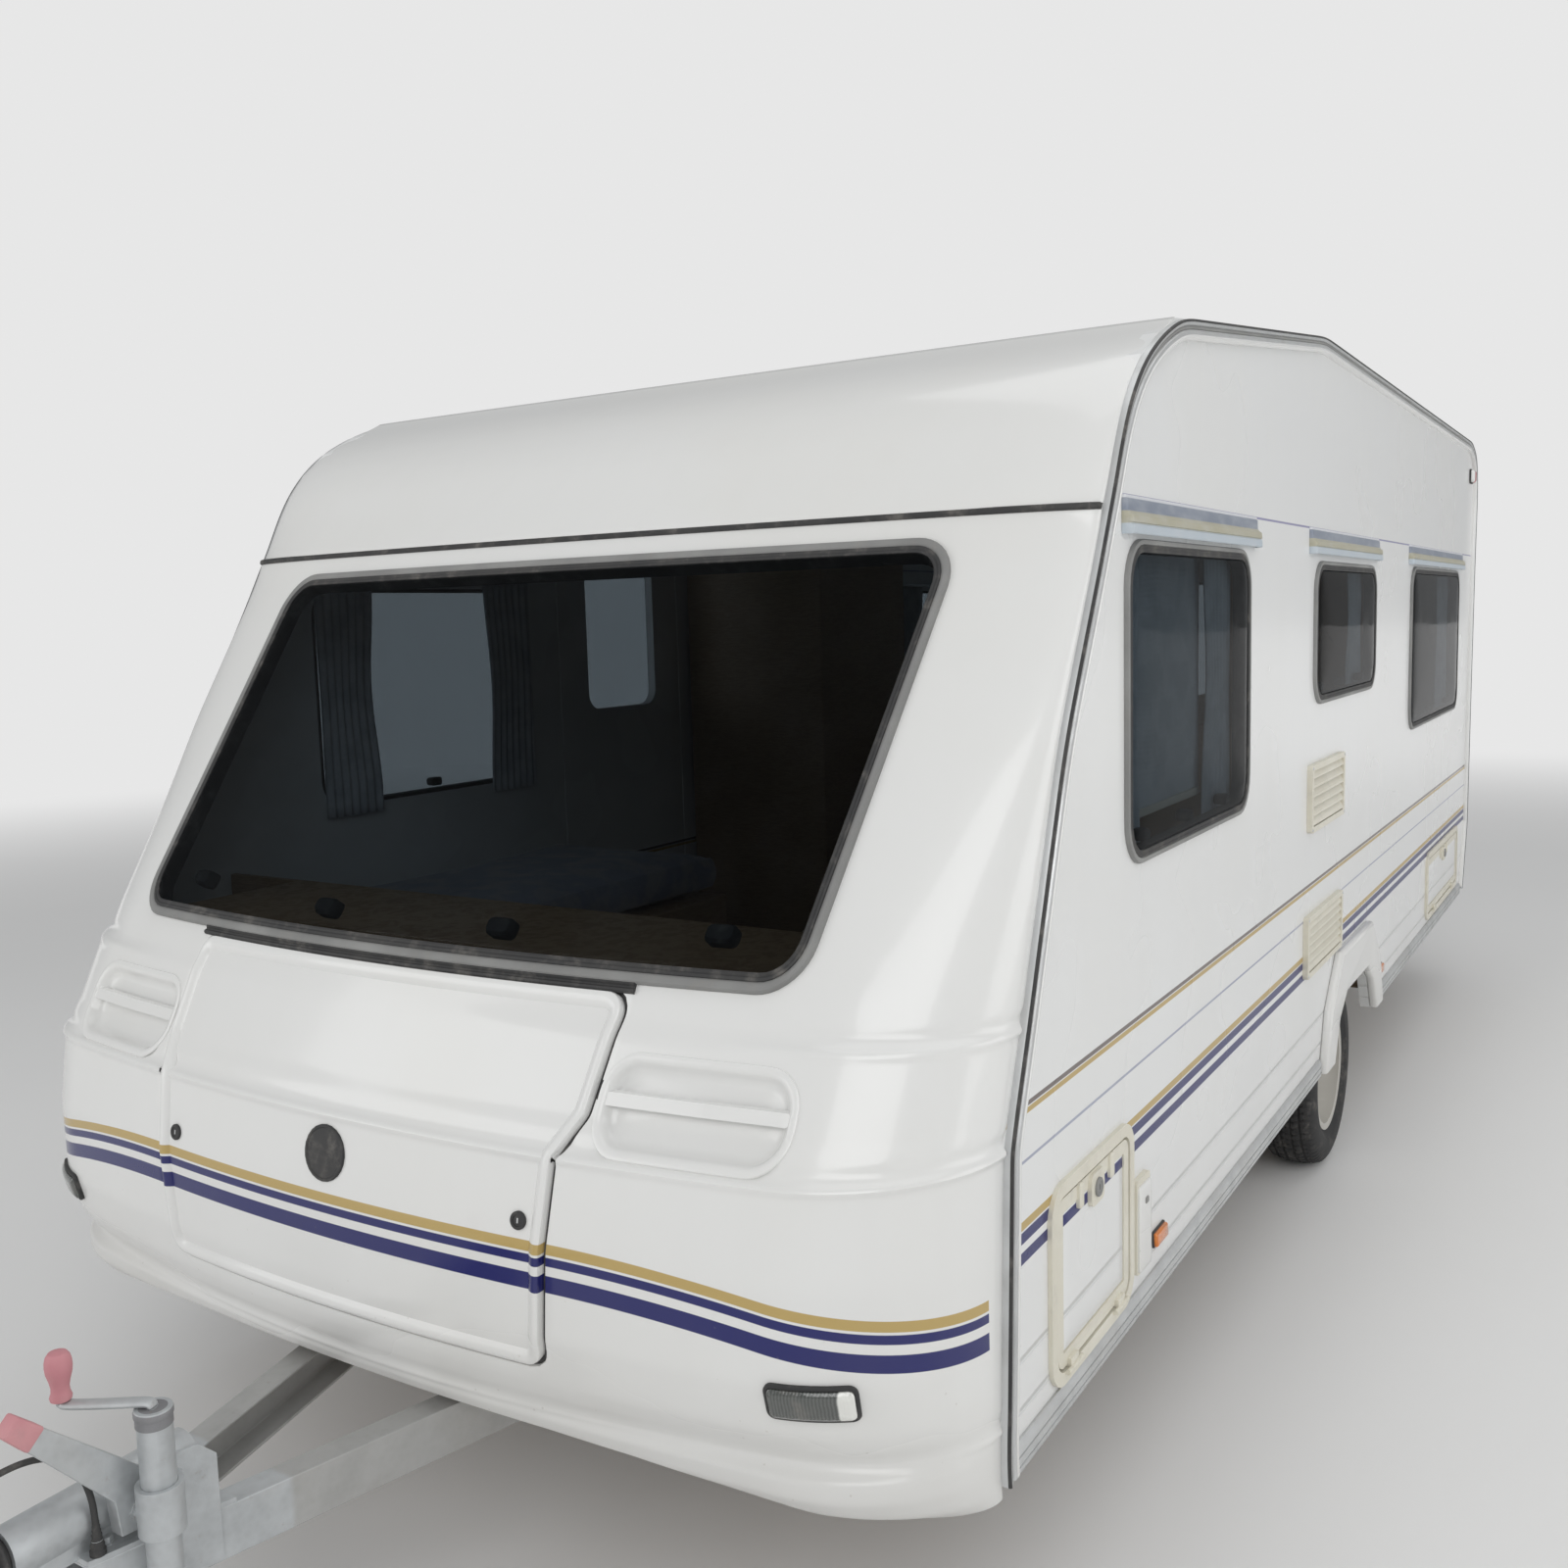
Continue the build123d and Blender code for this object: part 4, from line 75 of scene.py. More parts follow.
class Side(Enum):
    """The two sides of the caravan, each as the sign of its Y."""

    LEFT = 1
    RIGHT = -1

    @property
    def word(self) -> str:
        """Name used in pieces and bodies."""
        return self.name.lower()

    def span(self, near: float, far: float) -> list[float]:
        """Two distances from the middle as places along Y in rising order."""
        return sorted((self.value * near, self.value * far))


# ---------------------------------------------------------------- sizes shared with the source
HALF_WIDTH = 1.040
INNER_Y = 1.012
NOSE_X = 2.303
TAIL_X = -3.415
AXLE_X = NOSE_X - 2.980
TYRE_R = 0.290
WHEEL_Y = 0.9125
WALL_FOOT_Z = 0.410
PANEL_WALL = 0.0265
FRONT_TOP_Z = 1.868
POCKET = (0.516, 0.812, 0.938, 1.052)
POCKET_CORNER = 0.045
LID_GAP = 0.0075
LEAD_R = 0.0045
BLIND_DROP = 0.545
STANDOFF = 0.0002

# Height, then how far behind the nose lie the side edge, the shoulder and the middle of the face
FRONT_ROWS = mm(
    388, 352, 205, 150,   415, 348, 142, 98,    450, 346, 114, 64,    482, 347, 110, 46,
    497, 348, 134, 44,    520, 350, 113, 33,    560, 352, 90, 18,     640, 356, 70, 3,
    780, 363, 68, 0,      918, 370, 90, 22,     972, 390, 130, 63,    1080, 434, 188, 125,
    1102, 443, 214, 138,  1160, 465, 248, 173,  1500, 596, 491, 436,  1868, 811, 754, 726,
    columns=4)
BROW_ROWS = mm(
    1876, 816, 742, 712,  1960, 853, 808, 783,  2030, 892, 856, 838,  2085, 938, 910, 898,
    2141, 1005, 988, 980,  2190, 1098, 1090, 1086,  2233, 1210, 1204, 1202, columns=4)
REAR_ROWS = mm(
    430, 240, 170, 155,   700, 125, 70, 55,     1300, 105, 50, 35,    1840, 80, 25, 10,
    2150, 50, 15, 0,      2250, 65, 35, 25,     2330, 110, 96, 91,    2375, 270, 266, 264,
    columns=4)
ROOF_PEAK = (NOSE_X - 2.448, 2.379)
FRONT_ARCH = mm(0, 463, 400, 461, 560, 454, 700, 440, 830, 420, 930, 401, 990, 388)
LEAD_POINTS = mm(
    2757, 46, 470,  2757, 46, 500,  2758, 42, 533,  2764, 34, 565,  2780, 25, 592,  2808, 17, 608,
    2843, 8, 611,  2880, -3, 602,  2913, -15, 586,  2941, -29, 564,  2961, -45, 538,
    2974, -61, 510,  2983, -75, 480,  2989, -84, 443,  2992, -88, 402,  2993, -88, 358,
    2991, -85, 316,  2988, -80, 278, columns=3)


# ---------------------------------------------------------------- shader expressions
def math_node(operation: str, flipped: bool = False) -> Callable:
    """Method of Signal that adds one Math node; flipped puts the signal itself last.

    Args:
        operation: Kind of Math node.
        flipped: Whether the signal itself comes last.

    Returns:
        The method.
    """

    def method(self: "Signal", *others: object) -> "Signal":
        """Result of the node fed with the signal and the others.

        Args:
            others: Signals or numbers for the node's other inputs.

        Returns:
            The node's value.
        """
        node = self.tree.nodes.new("ShaderNodeMath")
        node.operation = operation
        for index, value in enumerate((*others, self) if flipped else (self, *others)):
            if isinstance(value, Signal):
                self.tree.links.new(value.socket, node.inputs[index])
            else:
                node.inputs[index].default_value = value
        return Signal(self.tree, node.outputs[0])

    return method


@dataclass(frozen=True)
class Signal:
    """One shader value in an expression; each operator adds the Math node that works it out."""

    tree: bpy.types.NodeTree
    socket: bpy.types.NodeSocket

    __add__ = math_node("ADD")
    __radd__ = math_node("ADD", True)
    __rsub__ = math_node("SUBTRACT", True)
    __mul__ = math_node("MULTIPLY")
    __pow__ = math_node("POWER")
    __sub__ = math_node("SUBTRACT")
    __abs__ = math_node("ABSOLUTE")
    least = math_node("MINIMUM")
    most = math_node("MAXIMUM")
    sine = math_node("SINE")

    def rise(self, low: float, high: float) -> "Signal":
        """Smooth step from 0 at low to 1 at high.

        Args:
            low: Value that gives 0.
            high: Value that gives 1.

        Returns:
            The step.
        """
        node = self.tree.nodes.new("ShaderNodeMapRange")
        node.interpolation_type = "SMOOTHSTEP"
        self.tree.links.new(self.socket, node.inputs[0])
        node.inputs[1].default_value, node.inputs[2].default_value = low, high
        return Signal(self.tree, node.outputs[0])

    def wave(self, pitch: float) -> "Signal":
        """Sine wave from 0 to 1 with a pitch in radians per unit."""
        return (self * pitch).sine() * 0.5 + 0.5


Value = Union[Signal, float]


class Ink:
    """Node tree of one material, with the few calls that a finish needs."""

    def __init__(self, name: str) -> None:
        """Start a material with a Principled shader and the Object coordinates in metres.

        Args:
            name: Name of the material.
        """
        self.material = bpy.data.materials.new(name)
        self.material.use_nodes = True
        self.tree = self.material.node_tree
        self.tree.nodes.clear()
        self.output = self.node("ShaderNodeOutputMaterial")
        self.shader = self.node("ShaderNodeBsdfPrincipled")
        self.tree.links.new(self.shader.outputs[0], self.output.inputs[0])
        self.place = self.node("ShaderNodeTexCoord").outputs["Object"]
        split = self.node("ShaderNodeSeparateXYZ", {0: self.place})
        self.x, self.y, self.z = (Signal(self.tree, socket) for socket in split.outputs)

    def node(self, kind: str, inputs: Optional[dict] = None, **settings: object) -> bpy.types.Node:
        """Add one node.

        Args:
            kind: Type name of the node.
            inputs: Values, sockets or Signals by the name or number of each input.
            settings: Its own properties, set first.

        Returns:
            The new node.
        """
        node = self.tree.nodes.new(kind)
        for key, value in settings.items():
            setattr(node, key, value)
        for key, value in (inputs or {}).items():
            self.feed(node.inputs[key], value)
        return node

    def feed(self, socket: bpy.types.NodeSocket, value: object) -> None:
        """Link or set one input socket.

        Args:
            socket: Input socket.
            value: Signal, socket, colour or number.
        """
        if isinstance(value, Signal):
            value = value.socket
        if isinstance(value, bpy.types.NodeSocket):
            self.tree.links.new(value, socket)
        elif socket.type == "RGBA":
            socket.default_value = (*value, 1.0)
        else:
            socket.default_value = value

    def set(self, **values: object) -> None:
        """Feed inputs of the Principled shader; an underscore in a name stands for a space."""
        for key, value in values.items():
            self.feed(self.shader.inputs[key.replace("_", " ")], value)

    def noise(self, scale: float, detail: float = 3.0, rough: float = 0.5,
              stretch: Colour = (1.0, 1.0, 1.0)) -> Signal:
        """Noise from 0 to 1 on Object coordinates, which stretch scales by axis.

        Args:
            scale: Size of the pattern, larger for finer.
            detail: Number of octaves.
            rough: Share of each finer octave.
            stretch: Scale of each axis.

        Returns:
            The noise.
        """
        place = self.node("ShaderNodeMapping", {"Vector": self.place, "Scale": stretch})
        node = self.node("ShaderNodeTexNoise", {"Vector": place.outputs[0], "Scale": scale,
                                                "Detail": detail, "Roughness": rough})
        return Signal(self.tree, node.outputs[0])

    def cells(self, scale: float) -> Signal:
        """Distance to the nearest of scattered points, on Object coordinates."""
        node = self.node("ShaderNodeTexVoronoi", {"Vector": self.place, "Scale": scale})
        return Signal(self.tree, node.outputs[0])

    def mix(self, factor: Value, first: object, second: object) -> bpy.types.NodeSocket:
        """Blend two colours."""
        return self.node("ShaderNodeMix", {0: factor, 6: first, 7: second},
                         data_type="RGBA").outputs[2]

    def shade(self, factor: Value, colour: Colour, *gains: float) -> bpy.types.NodeSocket:
        """Blend a colour with itself times one gain, or one for each channel."""
        return self.mix(factor, colour, tuple(np.array(colour) * gains))

    def bump(self, height: Signal, depth: float, strength: float = 1.0,
             under: Optional[bpy.types.NodeSocket] = None) -> bpy.types.NodeSocket:
        """Turn a height from 0 to 1 into a normal; depth is in metres.

        Args:
            height: Height of the relief.
            depth: Metres at full height.
            strength: Share of the effect.
            under: Normal on which it lies.

        Returns:
            The normal.
        """
        inputs = {"Height": height, "Distance": depth, "Strength": strength}
        if under is not None:
            inputs["Normal"] = under
        return self.node("ShaderNodeBump", inputs).outputs[0]

    def edge_wear(self, width: float) -> Signal:
        """Mask of the outer edges, from the shape's own pointiness.

        Args:
            width: Factor on both ends of the mask's step.

        Returns:
            The mask.
        """
        node = self.node("ShaderNodeNewGeometry")
        return Signal(self.tree, node.outputs["Pointiness"]).rise(0.5 + 0.05 * width,
                                                                 0.5 + 0.35 * width)

    def end_in(self, factor: Signal, first: bpy.types.Node, second: bpy.types.Node) -> None:
        """End the material in a blend of two shaders.

        Args:
            factor: Share of the second shader.
            first: First shader.
            second: Second shader.
        """
        blend = self.node("ShaderNodeMixShader",
                          {0: factor, 1: first.outputs[0], 2: second.outputs[0]})
        self.tree.links.new(blend.outputs[0], self.output.inputs[0])


# ---------------------------------------------------------------- finishes
@dataclass(frozen=True)
class Band:
    """One coloured stripe between two heights."""

    low: float
    high: float
    colour: Colour

    def over(self, ink: Ink, height: Signal, under: object) -> bpy.types.NodeSocket:
        """Colour under the stripe with the stripe laid over it.

        Args:
            ink: Material that gets the nodes.
            height: Height of the surface point.
            under: Colour below the stripe.

        Returns:
            The colour with the stripe on it.
        """
        soft = 0.0006
        mask = height.rise(self.low - soft, self.low + soft) * (
            1.0 - height.rise(self.high - soft, self.high + soft))
        return ink.mix(mask, under, self.colour)


class Finish:
    """Look of one material slot; each kind feeds the shader in its own dress method."""

    def dress(self, ink: Ink) -> None:
        """Feed the shader of a new material.

        Args:
            ink: Material that gets the nodes.
        """
        raise NotImplementedError

    def make(self, name: str) -> bpy.types.Material:
        """Material with this look.

        Args:
            name: Name of the material.

        Returns:
            The finished material.
        """
        ink = Ink(name)
        self.dress(ink)
        return ink.material


@dataclass(frozen=True)
class Paint(Finish):
    """Glossy white skin of moulding or sheet with stripes, road film and rain streaks.

    Stripes sag by droop times the square of the distance past droop_from, and they end where Y
    passes side_limit or X falls below front_limit.
    """

    colour: Colour
    bands: tuple[Band, ...] = ()
    droop: float = 0.0
    droop_from: float = 0.45
    peel: float = 0.00012
    roughness: float = 0.24
    grime: float = 0.35
    creases: tuple[float, ...] = ()
    side_limit: float = 10.0
    front_limit: float = -10.0
    coat: float = 0.35

    def dress(self, ink: Ink) -> None:
        """Clouded paint, stripes, road film and a plain darkening that thicken towards the foot,
        specks and creases.

        Args:
            ink: Material that gets the nodes.
        """
        height = ink.z
        cloud = ink.noise(2.3, 2.0)
        colour = ink.shade(cloud.rise(0.35, 0.75) * 0.35, self.colour, 0.965, 0.955, 0.925)
        level = height
        if self.droop:
            level = height + ((abs(ink.y) - self.droop_from).most(0.0) ** 2.0) * self.droop
        level = level + (abs(ink.y).rise(self.side_limit, self.side_limit + 0.0005)
                         + ink.x.rise(self.front_limit, self.front_limit - 0.0005)) * 9.0
        for band in self.bands:
            colour = band.over(ink, level, colour)
        streak = ink.noise(7.0, 1.0, 0.3, (3.0, 3.0, 0.2)).rise(0.40, 0.90)
        film = (1.0 - height.rise(0.40, 0.95)) * ink.noise(3.0, 2.0, 0.4).rise(0.3, 0.75)
        # Plain darkening towards the foot, by height alone.
        foot_darkening = (1.0 - height.rise(0.38, 0.62)) * 0.45
        dirt = (film * 0.35 + foot_darkening).least(1.0) * self.grime
        colour = ink.mix(dirt + streak * 0.012, colour, (0.33, 0.30, 0.26))
        specks = ink.cells(30.0).rise(0.075, 0.045) * (1.0 - height.rise(0.45, 0.85))
        colour = ink.mix(specks * 0.25, colour, (0.30, 0.26, 0.21))
        normal = ink.bump(ink.noise(30.0, 0.0), self.peel, 0.35)
        for crease in self.creases:
            dip = height.rise(crease - 0.005, crease) * (1.0 - height.rise(crease, crease + 0.009))
            normal = ink.bump(1.0 - dip, 0.0035, 1.0, normal)
        rough = self.roughness + dirt * 0.5 + cloud.rise(0.4, 0.8) * 0.04
        ink.set(Base_Color=colour, Roughness=rough, Normal=normal, Coat_Roughness=0.08, IOR=1.5,
                Coat_Weight=self.coat - dirt * self.coat * 0.8, Specular_IOR_Level=0.36)


@dataclass(frozen=True)
class Metal(Finish):
    """Bare or zinc-coated steel and aluminium, with spangle or drawn lines, rust and dirt."""

    colour: Colour
    roughness: float
    spangle: float = 0.0
    drawn: float = 0.0
    rust: float = 0.25
    metallic: float = 0.85
    pitted: float = 0.0002
    dull_behind: float = 0.0

    def dress(self, ink: Ink) -> None:
        """Clouded metal with spangle or drawn lines, then rust at the edges, dust, and a greyer,
        less metallic finish behind x = dull_behind.

        Args:
            ink: Material that gets the nodes.
        """
        tone = ink.noise(14.0, 5.0).rise(0.3, 0.8)
        colour = ink.shade(tone * 0.6, self.colour, 0.72)
        rough = self.roughness + tone * 0.14
        if self.spangle:
            grain = ink.cells(85.0)
            colour = ink.mix(grain * self.spangle, colour, tuple(c * 1.3 for c in self.colour))
            rough = rough + grain * 0.12
        normal = ink.bump(ink.noise(260.0, 2.0), self.pitted, 0.6)
        if self.drawn:
            lines = ink.noise(160.0, 2.0, 0.5, (0.02, 1.0, 1.0))
            normal = ink.bump(lines, 0.0002, self.drawn, normal)
            rough = rough + lines * 0.10
        bloom = ink.noise(23.0, 8.0, 0.7).rise(0.60, 0.74) * self.rust
        edge = ink.edge_wear(1.0) * ink.noise(40.0, 4.0).rise(0.4, 0.6) * self.rust
        stain = (bloom + edge).least(1.0)
        colour = ink.mix(stain, colour, (0.22, 0.095, 0.045))
        dust = ink.noise(6.0, 5.0).rise(0.45, 0.85) * 0.25
        # Behind x = dull_behind the metal turns greyer and less metallic.
        if self.dull_behind:
            dust = dust + ink.x.rise(self.dull_behind, self.dull_behind - 0.012) * 0.42
        ink.set(Base_Color=ink.mix(dust, colour, (0.32, 0.29, 0.25)), Normal=normal,
                Metallic=(1.0 - (stain + dust).least(1.0)) * self.metallic,
                Roughness=(rough + stain * 0.4).least(1.0))


@dataclass(frozen=True)
class Plastic(Finish):
    """Moulded plastic or rubber, sun-faded in patches, with fine grain and dust."""

    colour: Colour
    faded: Colour
    roughness: float = 0.6
    grain: float = 0.0003
    grain_scale: float = 300.0
    dust: float = 0.25
    coat: float = 0.0

    def dress(self, ink: Ink) -> None:
        """Faded patches, dust and pale worn edges.

        Args:
            ink: Material that gets the nodes.
        """
        patch = ink.noise(7.0, 5.0).rise(0.35, 0.75)
        dirt = ink.noise(26.0, 6.0, 0.65).rise(0.48, 0.8) * self.dust
        colour = ink.mix(dirt, ink.mix(patch * 0.7, self.colour, self.faded), (0.30, 0.28, 0.25))
        worn = tuple(min(1.0, c * 1.35 + 0.02) for c in self.faded)
        ink.set(Base_Color=ink.mix(ink.edge_wear(1.2) * 0.35, colour, worn),
                Roughness=self.roughness + dirt * 0.4 + patch * 0.06, Coat_Weight=self.coat,
                Coat_Roughness=0.12,
                Normal=ink.bump(ink.noise(self.grain_scale, 2.0), self.grain, 0.6))


@dataclass(frozen=True)
class Lens(Finish):
    """Ribbed red lamp lens over a reflector."""

    colour: Colour
    rib: float = 160.0 * math.tau

    def dress(self, ink: Ink) -> None:
        """Ribs across and along, under a clear coat.

        Args:
            ink: Material that gets the nodes.
        """
        ribs, rows = ink.y.wave(self.rib), ink.z.wave(self.rib)
        self.glaze(ink, ink.shade(ribs * 0.45 + rows * 0.25, self.colour, 0.45),
                   ribs + rows * 0.6, 0.0006, 0.4)

    def glaze(self, ink: Ink, colour: bpy.types.NodeSocket, relief: Signal, depth: float,
              dull: float) -> None:
        """Clear coat and dust over a ribbed lens.

        Args:
            ink: Material that gets the nodes.
            colour: Colour of the lens.
            relief: Height of its ribs.
            depth: Metres at full height.
            dull: How much dust roughens it.
        """
        dirt = ink.noise(30.0, 5.0).rise(0.5, 0.8) * 0.3
        ink.set(Base_Color=ink.mix(dirt, colour, (0.28, 0.25, 0.22)), Coat_Weight=0.9,
                Roughness=0.12 + dirt * dull, Coat_Roughness=0.05,
                Normal=ink.bump(relief, depth, 0.5))


@dataclass(frozen=True)
class TwoLamps(Lens):
    """Front position lamps: grey lens with a white outer end; amber on the side markers."""

    def dress(self, ink: Ink) -> None:
        """Grey lens, white past its outer end, amber outside the walls.

        Args:
            ink: Material that gets the nodes.
        """
        ribs, cross = ink.y.wave(220.0 * math.tau), ink.x.wave(180.0 * math.tau)
        lens = ink.mix(ribs * 0.4, (0.06, 0.065, 0.06), (0.17, 0.18, 0.17))
        lens = ink.mix(abs(ink.y).rise(0.905, 0.908), lens, (0.78, 0.78, 0.74))
        amber = ink.mix(cross * 0.5, self.colour, (0.50, 0.10, 0.004))
        self.glaze(ink, ink.mix(abs(ink.y).rise(1.030, 1.034), lens, amber), ribs + cross,
                   0.0005, 0.5)


@dataclass(frozen=True)
class Acrylic(Finish):
    """Tinted double acrylic pane: clear straight through, glossy at a slant, dusty and crazed."""

    tint: Colour = (0.54, 0.57, 0.59)
    body: Colour = (0.018, 0.019, 0.021)
    veil: float = 0.06

    def dress(self, ink: Ink) -> None:
        """Blend of a tinted clear shader and a glossy one, which back faces leave out.

        Args:
            ink: Material that gets the nodes.
        """
        haze = ink.noise(11.0, 6.0, 0.6, (1.0, 1.0, 0.5)).rise(0.42, 0.80)
        ink.set(Base_Color=ink.mix(haze * 0.12, self.body, (0.14, 0.14, 0.14)), IOR=1.49,
                Roughness=0.035 + haze * 0.16, Normal=ink.bump(ink.noise(3.0, 2.0), 0.0012, 0.25))
        clear = ink.node("ShaderNodeBsdfTransparent", {0: self.tint})
        skim = ink.node("ShaderNodeLayerWeight", {"Blend": 0.16}).outputs["Fresnel"]
        behind = ink.node("ShaderNodeNewGeometry").outputs["Backfacing"]
        factor = ((Signal(ink.tree, skim) * 0.9 + self.veil + haze * 0.03).least(1.0)
                  * (1.0 - Signal(ink.tree, behind)))
        ink.end_in(factor, clear, ink.shader)


@dataclass(frozen=True)
class Board(Finish):
    """Wood-grain laminate or plywood board."""

    colour: Colour
    dark: Colour
    gloss: float = 0.38

    def dress(self, ink: Ink) -> None:
        """Rings along the grain.

        Args:
            ink: Material that gets the nodes.
        """
        grain = ink.noise(26.0, 7.0, 0.6, (0.6, 0.6, 6.0))
        rings = (grain * 34.0 + ink.z * 60.0).wave(1.0) ** 1.6
        ink.set(Base_Color=ink.mix(rings * 0.5 + ink.noise(5.0).rise(0.3, 0.8) * 0.3, self.colour,
                                   self.dark),
                Roughness=self.gloss + rings * 0.12, Normal=ink.bump(rings, 0.0002, 0.4))


@dataclass(frozen=True)
class Cloth(Finish):
    """Woven upholstery or curtain cloth with a soft slub."""

    colour: Colour
    second: Colour
    pitch: float = 900.0

    def dress(self, ink: Ink) -> None:
        """Warp and weft as fine waves, slub and patches of a second colour.

        Args:
            ink: Material that gets the nodes.
        """
        weave = (ink.x + ink.z).wave(self.pitch) * 0.5 + (ink.y + ink.z * 0.5).wave(self.pitch) * 0.5
        slub = ink.noise(90.0, 3.0, 0.6).rise(0.35, 0.75)
        colour = ink.mix(ink.noise(14.0, 3.0).rise(0.42, 0.62), self.colour, self.second)
        ink.set(Base_Color=ink.mix(slub * 0.3, colour, tuple(c * 0.7 for c in self.colour)),
                Roughness=0.88 + slub * 0.08, Sheen_Weight=0.3,
                Normal=ink.bump(weave + slub * 0.5, 0.0006, 0.7))


class Gutter(Finish):
    """Stepped plastic gutter in pale blue, sand, slate and grey bands, chalky with age."""

    def dress(self, ink: Ink) -> None:
        """Four bands over the height, then chalk.

        Args:
            ink: Material that gets the nodes.
        """
        colour = (0.48, 0.54, 0.59)
        for foot, band in ((1.8455, (0.42, 0.40, 0.30)), (1.8665, (0.22, 0.25, 0.31)),
                           (1.8885, (0.66, 0.67, 0.70))):
            colour = ink.mix(ink.z.rise(foot, foot + 0.002), colour, band)
        chalk = ink.noise(18.0, 6.0, 0.6, (0.6, 1.0, 2.0)).rise(0.35, 0.8)
        ink.set(Base_Color=ink.mix(chalk * 0.35, colour, (0.62, 0.63, 0.64)),
                Roughness=0.42 + chalk * 0.2,
                Normal=ink.bump(ink.noise(300.0, 2.0), 0.0002, 0.5))


GOLD = (0.50, 0.36, 0.13)
NAVY = (0.009, 0.012, 0.125)
SIDE_BANDS = (
    Band(0.949, 0.958, GOLD), Band(0.960, 0.968, (0.16, 0.13, 0.12)),
    Band(0.875, 0.880, (0.36, 0.38, 0.48)), Band(0.772, 0.786, GOLD), Band(0.751, 0.769, NAVY),
    Band(0.719, 0.738, NAVY), Band(1.892, 1.897, (0.30, 0.29, 0.45)),
)
FRONT_BANDS = (Band(0.776, 0.792, GOLD), Band(0.758, 0.772, NAVY), Band(0.716, 0.743, NAVY))
FINISHES: dict[str, Finish] = {
    "white_gelcoat": Paint((0.79, 0.79, 0.775), FRONT_BANDS, 0.227, peel=0.00003, roughness=0.22,
                           front_limit=1.985),
    "white_sheet": Paint((0.80, 0.805, 0.80), SIDE_BANDS, peel=0.00001, roughness=0.26,
                         grime=0.20, creases=(0.568, 0.489, 0.444), side_limit=1.0487, coat=0.12),
    "acrylic": Acrylic(),
    "seal_rubber": Plastic((0.22, 0.22, 0.215), (0.33, 0.33, 0.32), grain_scale=380.0, dust=0.35),
    "rail_aluminium": Metal((0.66, 0.67, 0.67), 0.36, drawn=0.5, rust=0.02, metallic=0.8),
    "cream_plastic": Plastic((0.70, 0.665, 0.555), (0.76, 0.735, 0.64), 0.42, 0.0002, 420.0, 0.18,
                             0.15),
    "pale_blue_plastic": Gutter(),
    "lamp_red": Lens((0.55, 0.015, 0.012)),
    "lamp_amber": TwoLamps((0.78, 0.22, 0.015)),
    "galvanised": Metal((0.56, 0.58, 0.59), 0.46, spangle=0.35, rust=0.30, metallic=0.75,
                        pitted=0.0003, dull_behind=2.500),
    "cast_metal": Metal((0.30, 0.30, 0.31), 0.55, rust=0.5, metallic=0.6, pitted=0.0006),
    "tyre_rubber": Plastic((0.022, 0.022, 0.023), (0.045, 0.044, 0.042), 0.72, dust=0.4),
    "rim_paint": Paint((0.62, 0.61, 0.57), peel=0.0002, roughness=0.4, grime=0.6),
    "gaiter_rubber": Plastic((0.03, 0.03, 0.031), (0.06, 0.058, 0.055), dust=0.45),
    "faded_grip": Plastic((0.55, 0.22, 0.25), (0.66, 0.36, 0.36), 0.55),
    "floor_board": Board((0.27, 0.20, 0.13), (0.16, 0.11, 0.07), 0.7),
    "cabinet_board": Board((0.42, 0.28, 0.16), (0.27, 0.16, 0.085)),
    "seat_fabric": Cloth((0.28, 0.30, 0.38), (0.40, 0.38, 0.40)),
    "curtain_cloth": Cloth((0.60, 0.63, 0.66), (0.50, 0.53, 0.56), 1200.0),
}
MATERIALS: dict[str, bpy.types.Material] = {}


# ---------------------------------------------------------------- surfaces
def enlist(name: str, data: Optional[bpy.types.ID]) -> bpy.types.Object:
    """New object in the scene.

    Args:
        name: Name of the object.
        data: Mesh, curve, light or camera.

    Returns:
        The new object.
    """
    thing = bpy.data.objects.new(name, data)
    bpy.context.scene.collection.objects.link(thing)
    return thing


def tie(piece: bpy.types.Object, slot: str, body: str, nodes: Nodes) -> bpy.types.Object:
    """Tie a piece to its body and hide the CAD nodes for which it stands.

    Args:
        piece: Object to tie.
        slot: Material slot; not used.
        body: CAD body on which it rides.
        nodes: CAD nodes for which it stands.

    Returns:
        The same piece.
    """
    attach(piece, body)
    if nodes:
        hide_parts(*nodes)
    return piece


def settle(mesh: bpy.types.Mesh, name: str, slot: str, body: str, nodes: Nodes = (),
           angle: float = 35.0) -> bpy.types.Object:
    """Smooth, paint and link a mesh, and tie it to the frame.

    Args:
        mesh: Finished mesh.
        name: Name of the piece.
        slot: Material slot.
        body: CAD body on which it rides.
        nodes: CAD nodes for which it stands.
        angle: Edges sharper than this, in degrees, stay sharp.

    Returns:
        The new piece.
    """
    mesh.shade_smooth()
    mesh.set_sharp_from_angle(angle=math.radians(angle))
    mesh.materials.clear()
    mesh.materials.append(MATERIALS[slot])
    log.info("%s: %d faces", name, len(mesh.polygons))
    return tie(enlist(name, mesh), slot, body, nodes)


def merge(mesh: bpy.types.Mesh, distance: float, flat: bool) -> None:
    """Merge doubles, then join faces that lie flat or turn all normals outwards.

    Args:
        mesh: Mesh to change.
        distance: Vertices closer than this become one.
        flat: True joins faces that lie flat; False turns normals outwards.
    """
    book = bmesh.new()
    book.from_mesh(mesh)
    bmesh.ops.remove_doubles(book, verts=book.verts, dist=distance)
    if flat:
        bmesh.ops.dissolve_limit(book, angle_limit=math.radians(1.0), verts=book.verts,
                                 edges=book.edges)
    else:
        bmesh.ops.recalc_face_normals(book, faces=book.faces)
    book.to_mesh(mesh)
    book.free()


